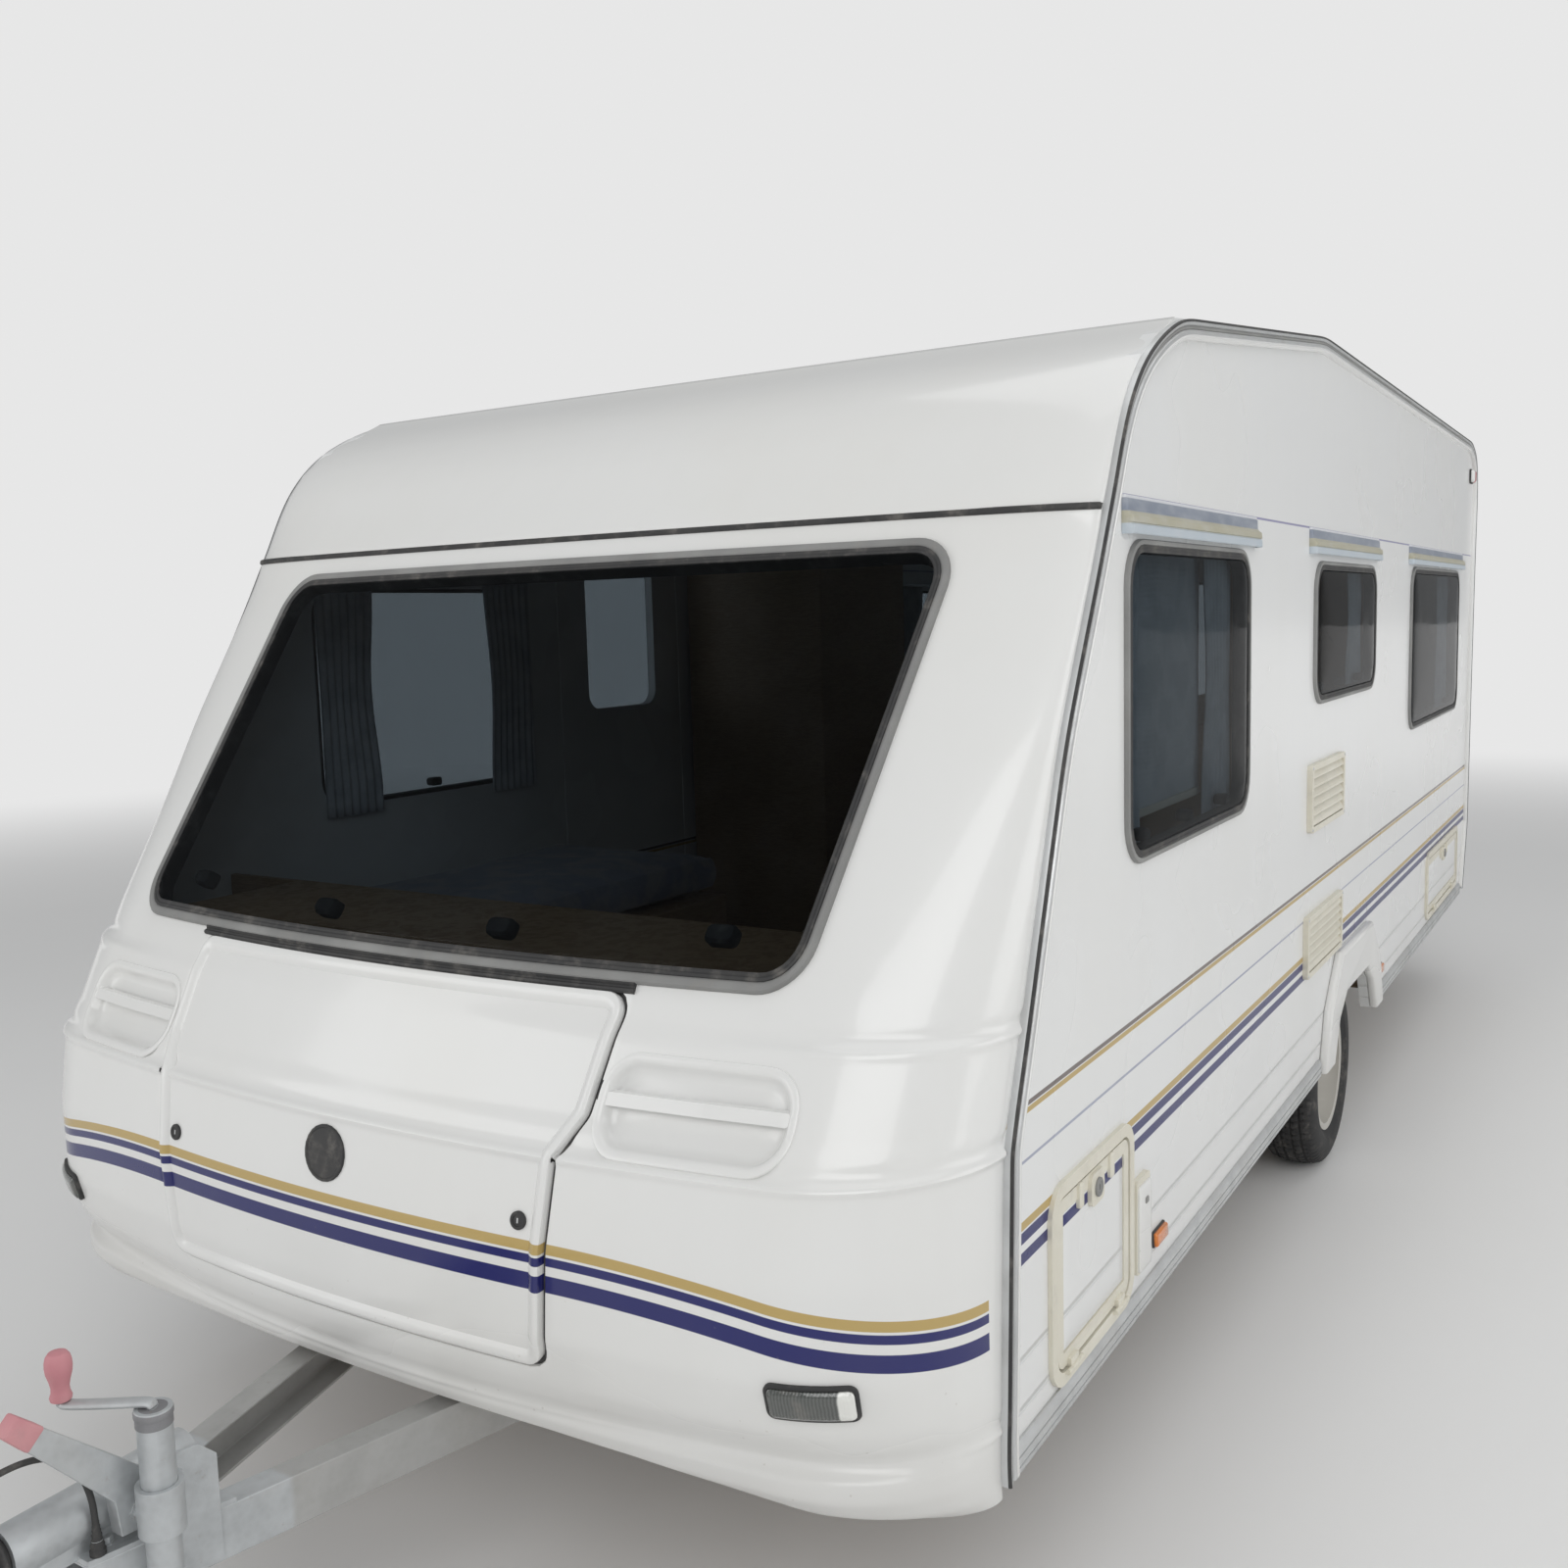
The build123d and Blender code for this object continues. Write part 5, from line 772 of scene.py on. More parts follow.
def raise_mesh(name: str, points: Array, faces: Array, slot: str, body: str = "body",
               nodes: Nodes = (), tidy: bool = False) -> bpy.types.Object:
    """Make one finished piece from arrays.

    Args:
        name: Name of the piece.
        points: Vertices, n by 3, in metres.
        faces: Faces as rows of 4 indices; a row whose last two are equal is a triangle.
        slot: Material slot of the record.
        body: CAD body on which the piece rides.
        nodes: CAD nodes for which the piece stands.
        tidy: Whether doubles are merged and normals turned outwards.

    Returns:
        The new object at the origin.
    """
    mesh = bpy.data.meshes.new(name)
    single = faces[:, 2] == faces[:, 3]
    used = np.ones(faces.shape, bool)
    used[:, 3] = ~single
    corners = faces[used]
    starts = np.concatenate(([0], np.cumsum(np.where(single, 3, 4))[:-1]))
    mesh.vertices.add(len(points))
    mesh.vertices.foreach_set("co", np.ascontiguousarray(points, np.float32).ravel())
    mesh.loops.add(len(corners))
    mesh.loops.foreach_set("vertex_index", corners.astype(np.int32))
    mesh.polygons.add(len(faces))
    mesh.polygons.foreach_set("loop_start", starts.astype(np.int32))
    mesh.update(calc_edges=True)
    mesh.validate()
    if tidy:
        merge(mesh, 1e-6, False)
    return settle(mesh, name, slot, body, nodes)


def modify(piece: bpy.types.Object, kind: str, **settings: object) -> bpy.types.Modifier:
    """Add one modifier with its settings.

    Args:
        piece: Object that gets it.
        kind: Type of modifier.
        settings: Its properties.

    Returns:
        The modifier.
    """
    modifier = piece.modifiers.new(kind.lower(), kind)
    for key, value in settings.items():
        setattr(modifier, key, value)
    return modifier


def round_edges(piece: bpy.types.Object, width: float, angle: float) -> None:
    """Bevel the edges that are sharper than an angle in degrees."""
    modify(piece, "BEVEL", width=width, segments=2, limit_method="ANGLE",
           angle_limit=math.radians(angle))


def soften(node: str, width: float, angle: float = 32.0) -> None:
    """Stand a merged copy with rounded edges in for a CAD node.

    Args:
        node: Name of the CAD node.
        width: Width of the rounding.
        angle: Edges sharper than this, in degrees, are rounded.
    """
    source = frame["nodes"][node]
    mesh = source.data.copy()
    mesh.name = f"{node}_dressed"
    merge(mesh, 2e-5, True)
    slot = source.data.materials[0].name.split(".")[0]
    round_edges(settle(mesh, mesh.name, slot, source["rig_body"], (node,), angle), width, angle)


def net(rows: int, columns: int, close_rows: bool = False, close_columns: bool = False) -> Array:
    """Faces of a grid of points numbered row by row, as rows of 4 indices.

    Args:
        rows: Rows of points.
        columns: Points in a row.
        close_rows: Whether the last row joins the first.
        close_columns: Whether the last column joins the first.

    Returns:
        The faces.
    """
    i, j = np.meshgrid(np.arange(rows if close_rows else rows - 1),
                       np.arange(columns if close_columns else columns - 1), indexing="ij")
    i2, j2 = (i + 1) % rows, (j + 1) % columns
    return np.stack([i * columns + j, i2 * columns + j, i2 * columns + j2, i * columns + j2],
                    -1).reshape(-1, 4)


def unit(vectors: Array) -> Array:
    """Vectors scaled to length one."""
    return vectors / np.maximum(np.linalg.norm(vectors, axis=-1, keepdims=True), 1e-12)


def gaussian(values: Array, sigma: float) -> Array:
    """Smooth columns of a table with a bell curve of sigma rows; the ends run on straight.

    Args:
        values: Table, one row a step.
        sigma: Width of the curve in rows.

    Returns:
        The smooth table.
    """
    reach = int(3 * sigma) + 1
    bell = np.exp(-0.5 * (np.arange(-reach, reach + 1) / sigma) ** 2)
    bell /= bell.sum()
    first = values[0] + (values[0] - values[1]) * np.arange(reach, 0, -1)[:, None]
    last = values[-1] + (values[-1] - values[-2]) * np.arange(1, reach + 1)[:, None]
    long = np.vstack([first, values, last])
    return np.stack([np.convolve(column, bell, "valid") for column in long.T], -1)


def along(line: Array, count: Optional[int] = None, step: float = 0.005) -> Array:
    """Evenly spaced points of a polyline: a count that leaves out its end, or one each step.

    Args:
        line: Points of the polyline.
        count: How many points to give.
        step: Distance between points without a count.

    Returns:
        The points.
    """
    way = np.concatenate(([0], np.cumsum(np.linalg.norm(np.diff(line, axis=0), axis=1))))
    s = np.linspace(0, way[-1], count, endpoint=False) if count else np.arange(0, way[-1], step)
    return np.stack([np.interp(s, way, column) for column in line.T], -1)


@dataclass
class EndFace:
    """Outer surface of one end of the body, as a depth behind its foremost point.

    Between the middle and the shoulder the depth grows with the square of the distance from the
    centre line. From the shoulder to the side it follows a quarter of an ellipse that starts with
    the same slope. With a level, heights up to 3 cm over the top row stand for a level strip that
    runs back from the top row to the depth named by level.
    """

    rows: Array
    face_x: float
    toward: int
    shoulder: float
    soft: float
    crisp: float
    crisp_below: float
    level: float = 0.0

    def __post_init__(self) -> None:
        """Smooth the rows over height, gently above crisp_below and barely under it."""
        step, rows = 0.002, self.rows
        self.top = rows[-1, 0]
        self.z_table = np.arange(rows[0, 0], self.top + step, step)
        plain = np.stack([np.interp(self.z_table, rows[:, 0], rows[:, c]) for c in (1, 2, 3)], -1)
        share = np.clip((self.z_table - self.crisp_below) / 0.06, 0, 1)[:, None]
        share = share * share * (3 - 2 * share)
        self.table = (gaussian(plain, self.crisp / step) * (1 - share)
                      + gaussian(plain, self.soft / step) * share)

    def x(self, y: Array, z: Array) -> Array:
        """Place along X of the surface at each y and z.

        Args:
            y: Places along Y.
            z: Heights.

        Returns:
            Places along X.
        """
        over = np.clip((z - self.top) / 0.03, 0, 1) if self.level else 0.0
        side, corner, middle = (np.interp(z, self.z_table, column) * (1 - over)
                                + self.level * over for column in self.table.T)
        a, s, h = np.abs(y), self.shoulder, HALF_WIDTH
        slope = 2 * (corner - middle) / s
        t = np.clip((a - s) / (h - s), 0, 1)
        inner = middle + (corner - middle) * (a / s) ** 2
        rest = side - corner - slope * (h - s)
        outer = corner + slope * (a - s) + rest * (1 - np.sqrt(1 - t * t))
        return self.face_x - self.toward * np.where(a < s, inner, outer)

    def points(self, y: Array, z: Array, proud: float = 0.0) -> Array:
        """Points on the surface, or proud of it along its normal."""
        place = np.stack([self.x(y, z), y, np.minimum(z, self.top)], -1)
        return place + proud * self.normal(y, z) if proud else place

    def normal(self, y: Array, z: Array, d: float = 0.002) -> Array:
        """Outward normal from finite differences.

        Args:
            y: Places along Y.
            z: Heights.
            d: Half the width of the differences.

        Returns:
            Unit vectors.
        """
        y = np.clip(y, d - HALF_WIDTH, HALF_WIDTH - d)
        gy = (self.x(y + d, z) - self.x(y - d, z)) / (2 * d)
        gz = (self.x(y, z + d) - self.x(y, z - d)) / (2 * d)
        return unit(self.toward * np.stack([np.ones_like(gy), -gy, -gz], -1))


@dataclass(frozen=True)
class SideSite:
    """Outer face of a side wall: the first coordinate runs along X and the second up."""

    toward: int
    base: float = HALF_WIDTH

    def points(self, a: Array, b: Array, proud: float = 0.0) -> Array:
        """Points proud of the wall."""
        return np.stack([a, np.full(np.shape(a), self.toward * (self.base + proud)), b], -1)


def inset(ring: Array, by: float) -> Array:
    """Polygon with each side moved inwards; the ring runs counter-clockwise.

    Args:
        ring: Corners of the polygon.
        by: Distance inwards.

    Returns:
        The moved corners.
    """
    d1, d2 = unit(ring - np.roll(ring, 1, 0)), unit(np.roll(ring, -1, 0) - ring)
    n1, n2 = (np.stack([-d[:, 1], d[:, 0]], -1) for d in (d1, d2))
    return ring + by * (n1 + n2) / (1 + np.sum(n1 * n2, -1, keepdims=True))


@dataclass(frozen=True)
class Outline:
    """Rounded outline on a site: a polygon moved in by its corner radius and out again."""

    ring: Array
    corner: float = 0.0

    def distance(self, y: Array, z: Array) -> Array:
        """Signed distance, negative inside.

        It is the least distance to any side of the inset polygon, less the corner radius, with
        the sign of the even-odd count of the sides that lie beyond the point.

        Args:
            y: Places along Y.
            z: Heights.

        Returns:
            The distances in metres.
        """
        core = inset(self.ring, self.corner)
        best, inside = np.full(y.shape, 1e9), np.zeros(y.shape, bool)
        for (ay, az), (by, bz) in zip(core, np.roll(core, -1, 0)):
            ey, ez = by - ay, bz - az
            t = np.clip(((y - ay) * ey + (z - az) * ez) / (ey * ey + ez * ez), 0, 1)
            best = np.minimum(best, np.hypot(y - ay - t * ey, z - az - t * ez))
            inside ^= ((az > z) != (bz > z)) & (y < ey * (z - az) / (ez if ez else 1e-12) + ay)
        return np.where(inside, -best, best) - self.corner

    def around(self, grow: float, count: int) -> Array:
        """Evenly spaced points of the outline grown by a distance, as two rows.

        Args:
            grow: Distance outwards.
            count: Number of points.

        Returns:
            Row of Y and row of Z.
        """
        corner = max(self.corner, 0.0008 - grow)
        core = inset(self.ring, corner)
        radius = corner + grow
        parts = []
        for here, prev, nxt in zip(core, np.roll(core, 1, 0), np.roll(core, -1, 0)):
            d1, d2 = unit(here - prev), unit(nxt - here)
            a1 = math.atan2(d1[1], d1[0]) - math.pi / 2
            bend = (math.atan2(d2[1], d2[0]) - math.pi / 2 - a1) % math.tau
            reach, angles = radius, np.linspace(a1, a1 + bend, 9)
            if bend > math.pi:
                reach = radius / math.cos((math.tau - bend) / 2)
                angles = np.array([a1 + (bend - math.tau) / 2])
            parts.append(here + reach * np.stack([np.cos(angles), np.sin(angles)], -1))
        return along(np.vstack(parts + [parts[0][:1]]), count).T


def oblong(y0: float, y1: float, z0: float, z1: float, corner: float) -> Outline:
    """Outline of a rectangle with rounded corners."""
    return Outline(np.array([[y0, z0], [y1, z0], [y1, z1], [y0, z1]]), corner)


def block(y: float, z: float, half_y: float, half_z: float, corner: float) -> Outline:
    """Rounded rectangle about a point."""
    return oblong(y - half_y, y + half_y, z - half_z, z + half_z, corner)


def disc(y: float, z: float, radius: float, count: int = 24) -> Outline:
    """Outline of a circle as a polygon."""
    angle = np.linspace(0, math.tau, count, endpoint=False)
    return Outline(np.stack([y + radius * np.cos(angle), z + radius * np.sin(angle)], -1))


def mirrored(*values: float) -> Array:
    """Ring from heights and half-widths in millimetres that run downwards."""
    half = mm(*values)[:, ::-1]
    return np.vstack([half[::-1], half * (-1, 1)])


FRONT = EndFace(FRONT_ROWS, NOSE_X, 1, 0.800, 0.040, 0.0038, 1.125)
BROW = EndFace(BROW_ROWS, NOSE_X, 1, 0.800, 0.024, 0.016, 0.0)
REAR = EndFace(REAR_ROWS, TAIL_X, -1, 0.930, 0.045, 0.02, 0.0, 0.3285)
WINDOW_RING = mirrored(1813, 812, 1166, 764)
LID = Outline(mirrored(1138, 503, 975, 492, 915, 461, 592, 436), 0.030)
REAR_HOLE = block(0.0, 1.535, 0.75, 0.2865, 0.070)


# ---------------------------------------------------------------- ways to make a piece
def tube(name: str, grid: Array, slot: str, body: str = "body", nodes: Nodes = (),
         ring: bool = False, middles: Optional[list] = None) -> bpy.types.Object:
    """Closed shell whose loops of points are the rows of a grid.

    Neighbouring loops are joined. A ring also joins the last loop to the first; another shell is
    closed at each end by a fan about a middle point.

    Args:
        name: Name of the piece.
        grid: Points, rows by columns by 3.
        slot: Material slot.
        body: CAD body.
        nodes: CAD nodes for which the piece stands.
        ring: Whether the last loop joins the first.
        middles: Middle points of the two fans, if not the means of their loops; may be empty.

    Returns:
        The new piece.
    """
    rows, columns = grid.shape[:2]
    points, faces = grid.reshape(-1, 3), net(rows, columns, ring, True)
    if middles is None:
        middles = [] if ring else [grid[0].mean(0), grid[-1].mean(0)]
    for row, middle in zip((0, rows - 1), middles):
        points = np.vstack([points, middle])
        loop = np.arange(row * columns, (row + 1) * columns)
        tip = np.full(columns, len(points) - 1)
        faces = np.vstack([faces, np.stack([loop, np.roll(loop, -1), tip, tip], -1)])
    return raise_mesh(name, points, faces, slot, body, nodes, True)


def stack(name: str, site: Union[EndFace, SideSite], outline: Outline, steps: Array, slot: str,
          body: str = "body", nodes: Nodes = (), ring: bool = False,
          count: int = 132) -> bpy.types.Object:
    """Closed shell through grown copies of one outline.

    Loop k is the outline grown by the first value of step k, laid on the site proud by the
    second.

    Args:
        name: Name of the piece.
        site: Surface with a points method.
        outline: Rounded outline on the site.
        steps: Pairs of growth and height in metres.
        slot: Material slot.
        body: CAD body.
        nodes: CAD nodes for which the piece stands.
        ring: Whether the shell is a frame round a hole.
        count: Points in each loop.

    Returns:
        The new piece.
    """
    grid = np.stack([site.points(*outline.around(grow, count), proud) for grow, proud in steps])
    middles = [] if ring else [site.points(*outline.around(grow, count).mean(1, keepdims=True),
                                           proud)[0] for grow, proud in steps[[0, -1]]]
    return tube(name, grid, slot, body, nodes, ring, middles)


def run(name: str, path: Array, out: Array, profile: Array, slot: str, body: str = "body",
        nodes: Nodes = ()) -> bpy.types.Object:
    """Piece of one section carried along a path.

    Point (i, j) = path i + across i * profile j's first value + out i * its second, where across
    is the direction square to the path and to out.

    Args:
        name: Name of the piece.
        path: Points of the path.
        out: Direction of the section's height.
        profile: Section as pairs of across and out.
        slot: Material slot.
        body: CAD body on which it rides.
        nodes: CAD nodes for which it stands.

    Returns:
        The new piece.
    """
    way = unit(np.gradient(path, axis=0))
    across = unit(np.cross(out, way))
    out = unit(np.cross(way, across))
    return tube(name, path[:, None] + across[:, None] * profile[:, :1]
                + out[:, None] * profile[:, 1:], slot, body, nodes)


def turn(name: str, centre: tuple, profile: Array, slot: str, body: str = "body",
         axis: tuple = (0, 0, 1), nodes: Nodes = (), count: int = 48) -> bpy.types.Object:
    """Surface turned about an axis through a centre.

    Point (i, j) lies at profile i's radius from the axis, at angle 2 pi j / count, and at profile
    i's distance along the axis. Points on the axis fall together and are merged.

    Args:
        name: Name of the piece.
        centre: Point on the axis from which distances count.
        profile: Pairs of radius and distance along the axis.
        slot: Material slot.
        body: CAD body on which it rides.
        axis: Direction of the axis.
        nodes: CAD nodes for which it stands.
        count: Points in each circle.

    Returns:
        The new piece.
    """
    angle = np.linspace(0, math.tau, count, endpoint=False)[:, None]
    w = unit(np.array(axis, float))
    u = unit(np.cross(w, [0.0, 0.0, 1.0] if abs(w[2]) < 0.9 else [1.0, 0.0, 0.0]))
    spokes = np.cos(angle) * u + np.sin(angle) * np.cross(w, u)
    grid = np.array(centre, float) + profile[:, :1, None] * spokes + profile[:, 1:, None] * w
    return tube(name, grid, slot, body, nodes, False, [])


def snap(y: Array, z: Array, distance: Field) -> tuple[Array, Array, Array]:
    """Pull grid points onto the line where distance is zero.

    An edge of the grid that crosses the line has its nearer end moved to it along the gradient.

    Args:
        y: Grid of Y.
        z: Grid of Z.
        distance: Signed distance, negative where the sheet stays.

    Returns:
        Moved Y, moved Z and the new signed distance, zero at moved points.
    """
    reach, e = 0.02, 0.0005
    d = distance(y, z)
    move = np.zeros(d.shape, bool)
    for low, high in ((np.s_[:-1], np.s_[1:]), (np.s_[:, :-1], np.s_[:, 1:])):
        cross = (d[low] < 0) != (d[high] < 0)
        nearer = np.abs(d[low]) <= np.abs(d[high])
        move[low] |= cross & nearer
        move[high] |= cross & ~nearer
    move &= np.abs(d) < reach
    for _ in range(2):
        dn = distance(y, z)
        gy = (distance(y + e, z) - distance(y - e, z)) / (2 * e)
        gz = (distance(y, z + e) - distance(y, z - e)) / (2 * e)
        size = np.maximum(gy * gy + gz * gz, 0.25)
        y, z = np.where(move, y - dn * gy / size, y), np.where(move, z - dn * gz / size, z)
    return y, z, np.where(move, 0.0, distance(y, z))


def cut_net(y: Array, z: Array, d: Array, distance: Field) -> Array:
    """Faces of a snapped grid that lie where the distance isn't positive.

    A face with all its corners on the line stays where the distance at its middle is negative.

    Args:
        y: Snapped grid of Y.
        z: Snapped grid of Z.
        d: Distance at each of its points.
        distance: Function of that distance.

    Returns:
        The faces that stay.
    """

    def inside(corners: Array) -> Array:
        """Whether the faces have a corner off the line, or their middle where the sheet stays."""
        middle = distance(y.ravel()[corners].mean(1), z.ravel()[corners].mean(1))
        return ~np.all(d.ravel()[corners] == 0, axis=1) | (middle < -0.0003)

    faces = net(*d.shape)
    over = d.ravel()[faces] > 1e-9
    whole, single = over.sum(1) == 0, over.sum(1) == 1
    order = (np.argmax(over[single], 1)[:, None] + np.array([1, 2, 3, 3])) % 4
    tri = np.take_along_axis(faces[single], order, 1)
    tri[:, 3] = tri[:, 2]
    return np.vstack([faces[whole & inside(faces)], tri[inside(tri[:, :3])]])


def crowded(count: int, bend: float) -> Array:
    """Places along Y from side to side that crowd towards the sides."""
    return np.sin(np.linspace(-1, 1, count) * bend) / math.sin(bend) * HALF_WIDTH


def skin(name: str, face: EndFace, y_lines: Array, z_lines: Array, nodes: Nodes,
         distance: Optional[Field] = None, shift: Optional[Field] = None,
         wall: float = PANEL_WALL, slot: str = "white_gelcoat", body: str = "body") -> None:
    """Sheet of the end surface over a grid, cut by a distance and thickened inwards.

    Args:
        name: Name of the piece.
        face: Surface that the sheet follows.
        y_lines: Places of the grid's columns.
        z_lines: Heights of the grid's rows.
        nodes: CAD nodes for which it stands.
        distance: Signed distance of the part that stays, negative inside it.
        shift: Extra height along the normal as a function of Y and Z.
        wall: Thickness.
        slot: Material slot.
        body: CAD body.
    """
    z, y = np.meshgrid(z_lines, y_lines, indexing="ij")
    faces = net(*y.shape)
    if distance is not None:
        y, z, d = snap(y, z, distance)
        faces = cut_net(y, z, d, distance)
    y, z = y.ravel(), z.ravel()
    points = face.points(y, z)
    if shift is not None:
        points = points + face.normal(y, z) * shift(y, z)[:, None]
    used, back = np.unique(faces, return_inverse=True)
    faces = back.reshape(faces.shape)
    if face.toward > 0:
        faces = faces[:, ::-1].copy()
        tri = faces[:, 0] == faces[:, 1]
        faces[tri] = faces[tri][:, [1, 2, 3, 3]]
    piece = raise_mesh(name, points[used], faces, slot, body, nodes)
    modify(piece, "SOLIDIFY", thickness=wall, offset=-1.0, use_even_offset=False)
    round_edges(piece, 0.0022, 50.0)


# ---------------------------------------------------------------- sub-assemblies
BACKDROP = (0.80, 0.80, 0.80)


@dataclass
class Studio:
    """Camera at the photograph's place, soft lights and a pale floor."""

    eye: tuple[float, float, float] = (3.8187, 1.8574, 1.6999)
    yaw: float = 31.97
    pitch: float = 6.49
    roll: float = 1.64
    focal: float = 1473.4
    frame_width: float = 1600.0
    ground: Colour = (0.88, 0.877, 0.868)
    lights: tuple = (("key", (8.5, 5.5, 6.5), (0.6, 0.2, 1.0), 6.0, 310.0),
                     ("front_fill", (8.0, -4.5, 3.2), (1.2, 0.0, 1.1), 5.0, 140.0),
                     ("top", (-1.0, 1.5, 8.5), (0.0, 0.0, 1.0), 7.0, 150.0),
                     ("side_fill", (-1.5, 9.5, 3.6), (-0.4, 1.0, 1.2), 6.0, 190.0))

    def aim(self, name: str, data: bpy.types.ID, place: tuple, forward: Array,
            roll: float = 0.0) -> bpy.types.Object:
        """Object that looks along a direction, turned about it by the roll.

        Args:
            name: Name of the object.
            data: Light or camera.
            place: Its place.
            forward: Unit vector along which it looks.
            roll: Angle in radians.

        Returns:
            The new object.
        """
        right = unit(np.cross(forward, [0, 0, 1]))
        up = np.cross(right, forward)
        right, up = (math.cos(roll) * right - math.sin(roll) * up,
                     math.sin(roll) * right + math.cos(roll) * up)
        matrix = np.eye(4)
        matrix[:3] = np.stack([right, up, -forward, place], 1)
        thing = enlist(name, data)
        thing.matrix_world = Matrix(matrix.tolist())
        return thing

    def camera(self) -> None:
        """Aim the camera."""
        yaw, pitch = math.radians(self.yaw), math.radians(self.pitch)
        forward = -np.array([math.cos(yaw) * math.cos(pitch), math.sin(yaw) * math.cos(pitch),
                             math.sin(pitch)])
        data = bpy.data.cameras.new("camera")
        data.sensor_width = 36.0
        data.lens = data.sensor_width * self.focal / self.frame_width
        data.clip_start, data.clip_end = 0.05, 400.0
        bpy.context.scene.camera = self.aim("camera", data, self.eye, forward,
                                            math.radians(self.roll))

    def lamp(self, name: str, place: tuple, target: tuple, size: float, watts: float) -> None:
        """One square soft light.

        Args:
            name: Name of the light.
            place: Its place.
            target: Point it faces.
            size: Side of the square.
            watts: Power.
        """
        data = bpy.data.lights.new(name, "AREA")
        data.size, data.energy = size, watts
        self.aim(name, data, place, unit(np.array(target) - np.array(place)))

    def floor(self) -> None:
        """Large pale disc; far out it takes the plain colour of the background."""
        angles = np.linspace(0, math.tau, 96, endpoint=False)
        radii = np.array([0.001, 4.0, 9.0, 16.0, 30.0, 120.0])
        r, a = np.meshgrid(radii, angles, indexing="ij")
        points = np.stack([r * np.cos(a), r * np.sin(a), 0 * r], -1).reshape(-1, 3)
        ink = Ink("studio_floor")
        tone = ink.noise(1.2, 3.0).rise(0.3, 0.8)
        ink.set(Base_Color=ink.shade(tone * 0.25, self.ground, 0.97),
                Roughness=0.75 + ink.noise(40.0).rise(0.3, 0.8) * 0.1,
                Normal=ink.bump(ink.noise(150.0, 3.0), 0.0004, 0.3))
        ink.end_in((ink.x * ink.x + ink.y * ink.y).rise(5.0, 210.0), ink.shader,
                   ink.node("ShaderNodeEmission", {0: BACKDROP}))
        mesh = bpy.data.meshes.new("studio_floor")
        mesh.from_pydata(points.tolist(), [],
                         net(len(radii), len(angles), False, True)[:, ::-1].tolist())
        mesh.materials.append(ink.material)
        enlist("studio_floor", mesh)

    def world(self) -> None:
        """Even pale light, and the backdrop's colour where a ray looks straight at it."""
        world = bpy.data.worlds.new("studio")
        world.use_nodes = True
        tree = world.node_tree
        tree.nodes.clear()
        out, blend, path = (tree.nodes.new(f"ShaderNode{kind}")
                            for kind in ("OutputWorld", "MixShader", "LightPath"))
        tree.links.new(path.outputs["Is Camera Ray"], blend.inputs[0])
        tree.links.new(blend.outputs[0], out.inputs[0])
        for place, colour, strength in ((1, (0.97, 0.985, 1.0), 0.36), (2, BACKDROP, 1.0)):
            light = tree.nodes.new("ShaderNodeBackground")
            light.inputs[0].default_value = (*colour, 1.0)
            light.inputs[1].default_value = strength
            tree.links.new(light.outputs[0], blend.inputs[place])
        bpy.context.scene.world = world
        bpy.context.scene.view_settings.view_transform = "Standard"

    def build(self) -> None:
        """Set the whole studio up."""
        self.camera()
        self.world()
        self.floor()
        for row in self.lights:
            self.lamp(*row)


@dataclass
class Shell:
    """White outer skin of the front, made of smooth surfaces with their openings cut."""

    window: Outline = Outline(WINDOW_RING, 0.040)
    pocket: Outline = oblong(*POCKET, POCKET_CORNER)

    def lips(self, y: Array, z: Array) -> Array:
        """Height of the moulded lips along the ledges of the front.

        Each lip is a bell curve over height with a shallow hollow above it; the upper one fades
        out towards the middle of the face.

        Args:
            y: Places along Y.
            z: Heights.

        Returns:
            Heights along the normal in metres.
        """
        fade = np.clip((np.abs(y) - 0.66) / 0.18, 0, 1)
        rise = np.zeros(np.shape(z))
        for height, top, width, share in ((0.917, 0.0052, 0.0065, 1.0),
                                          (1.084, 0.0040, 0.0060, fade),
                                          (0.4975, 0.0030, 0.0060, 1.0)):
            step = (z - height) / width
            rise = rise + share * top * (np.exp(-step ** 2)
                                         - 0.7 * np.exp(-((step - 2.8) / 1.6) ** 2))
        return rise

    def outside(self, y: Array, z: Array) -> Array:
        """Distance of the front panel: over its arched foot and clear of its openings.

        Args:
            y: Places along Y.
            z: Heights.

        Returns:
            Signed distances, negative where the panel stays.
        """
        side = np.abs(y)
        return np.maximum.reduce([-self.window.distance(y, z), LID_GAP - LID.distance(y, z),
                                  np.interp(side, *FRONT_ARCH.T) - z,
                                  -self.pocket.distance(side, z)])

    def build(self) -> None:
        """Front panel, locker lid and brow."""
        y_lines = crowded(181, math.pi / 2 * 0.96)
        z_lines = np.concatenate([np.arange(*part) for part in (
            (0.3885, 0.474, 0.0065), (0.475, 0.504, 0.003), (0.505, 0.890, 0.0095),
            (0.895, 0.989, 0.003), (0.990, 1.069, 0.0065), (1.070, 1.119, 0.004),
            (1.12, 1.860, 0.0145))] + [[FRONT_TOP_Z]])
        skin("front_panel_skin", FRONT, y_lines, z_lines, ("front_panel",), self.outside,
             self.lips)
        skin("gas_locker_lid_skin", FRONT, np.linspace(-0.51, 0.51, 121),
             z_lines[(z_lines > 0.583) & (z_lines < 1.147)], ("gas_locker_lid",), LID.distance,
             self.lips, body="gas_locker_lid")
        skin("front_brow_skin", BROW, y_lines, np.linspace(1.876, 2.233, 44), ("front_brow",))


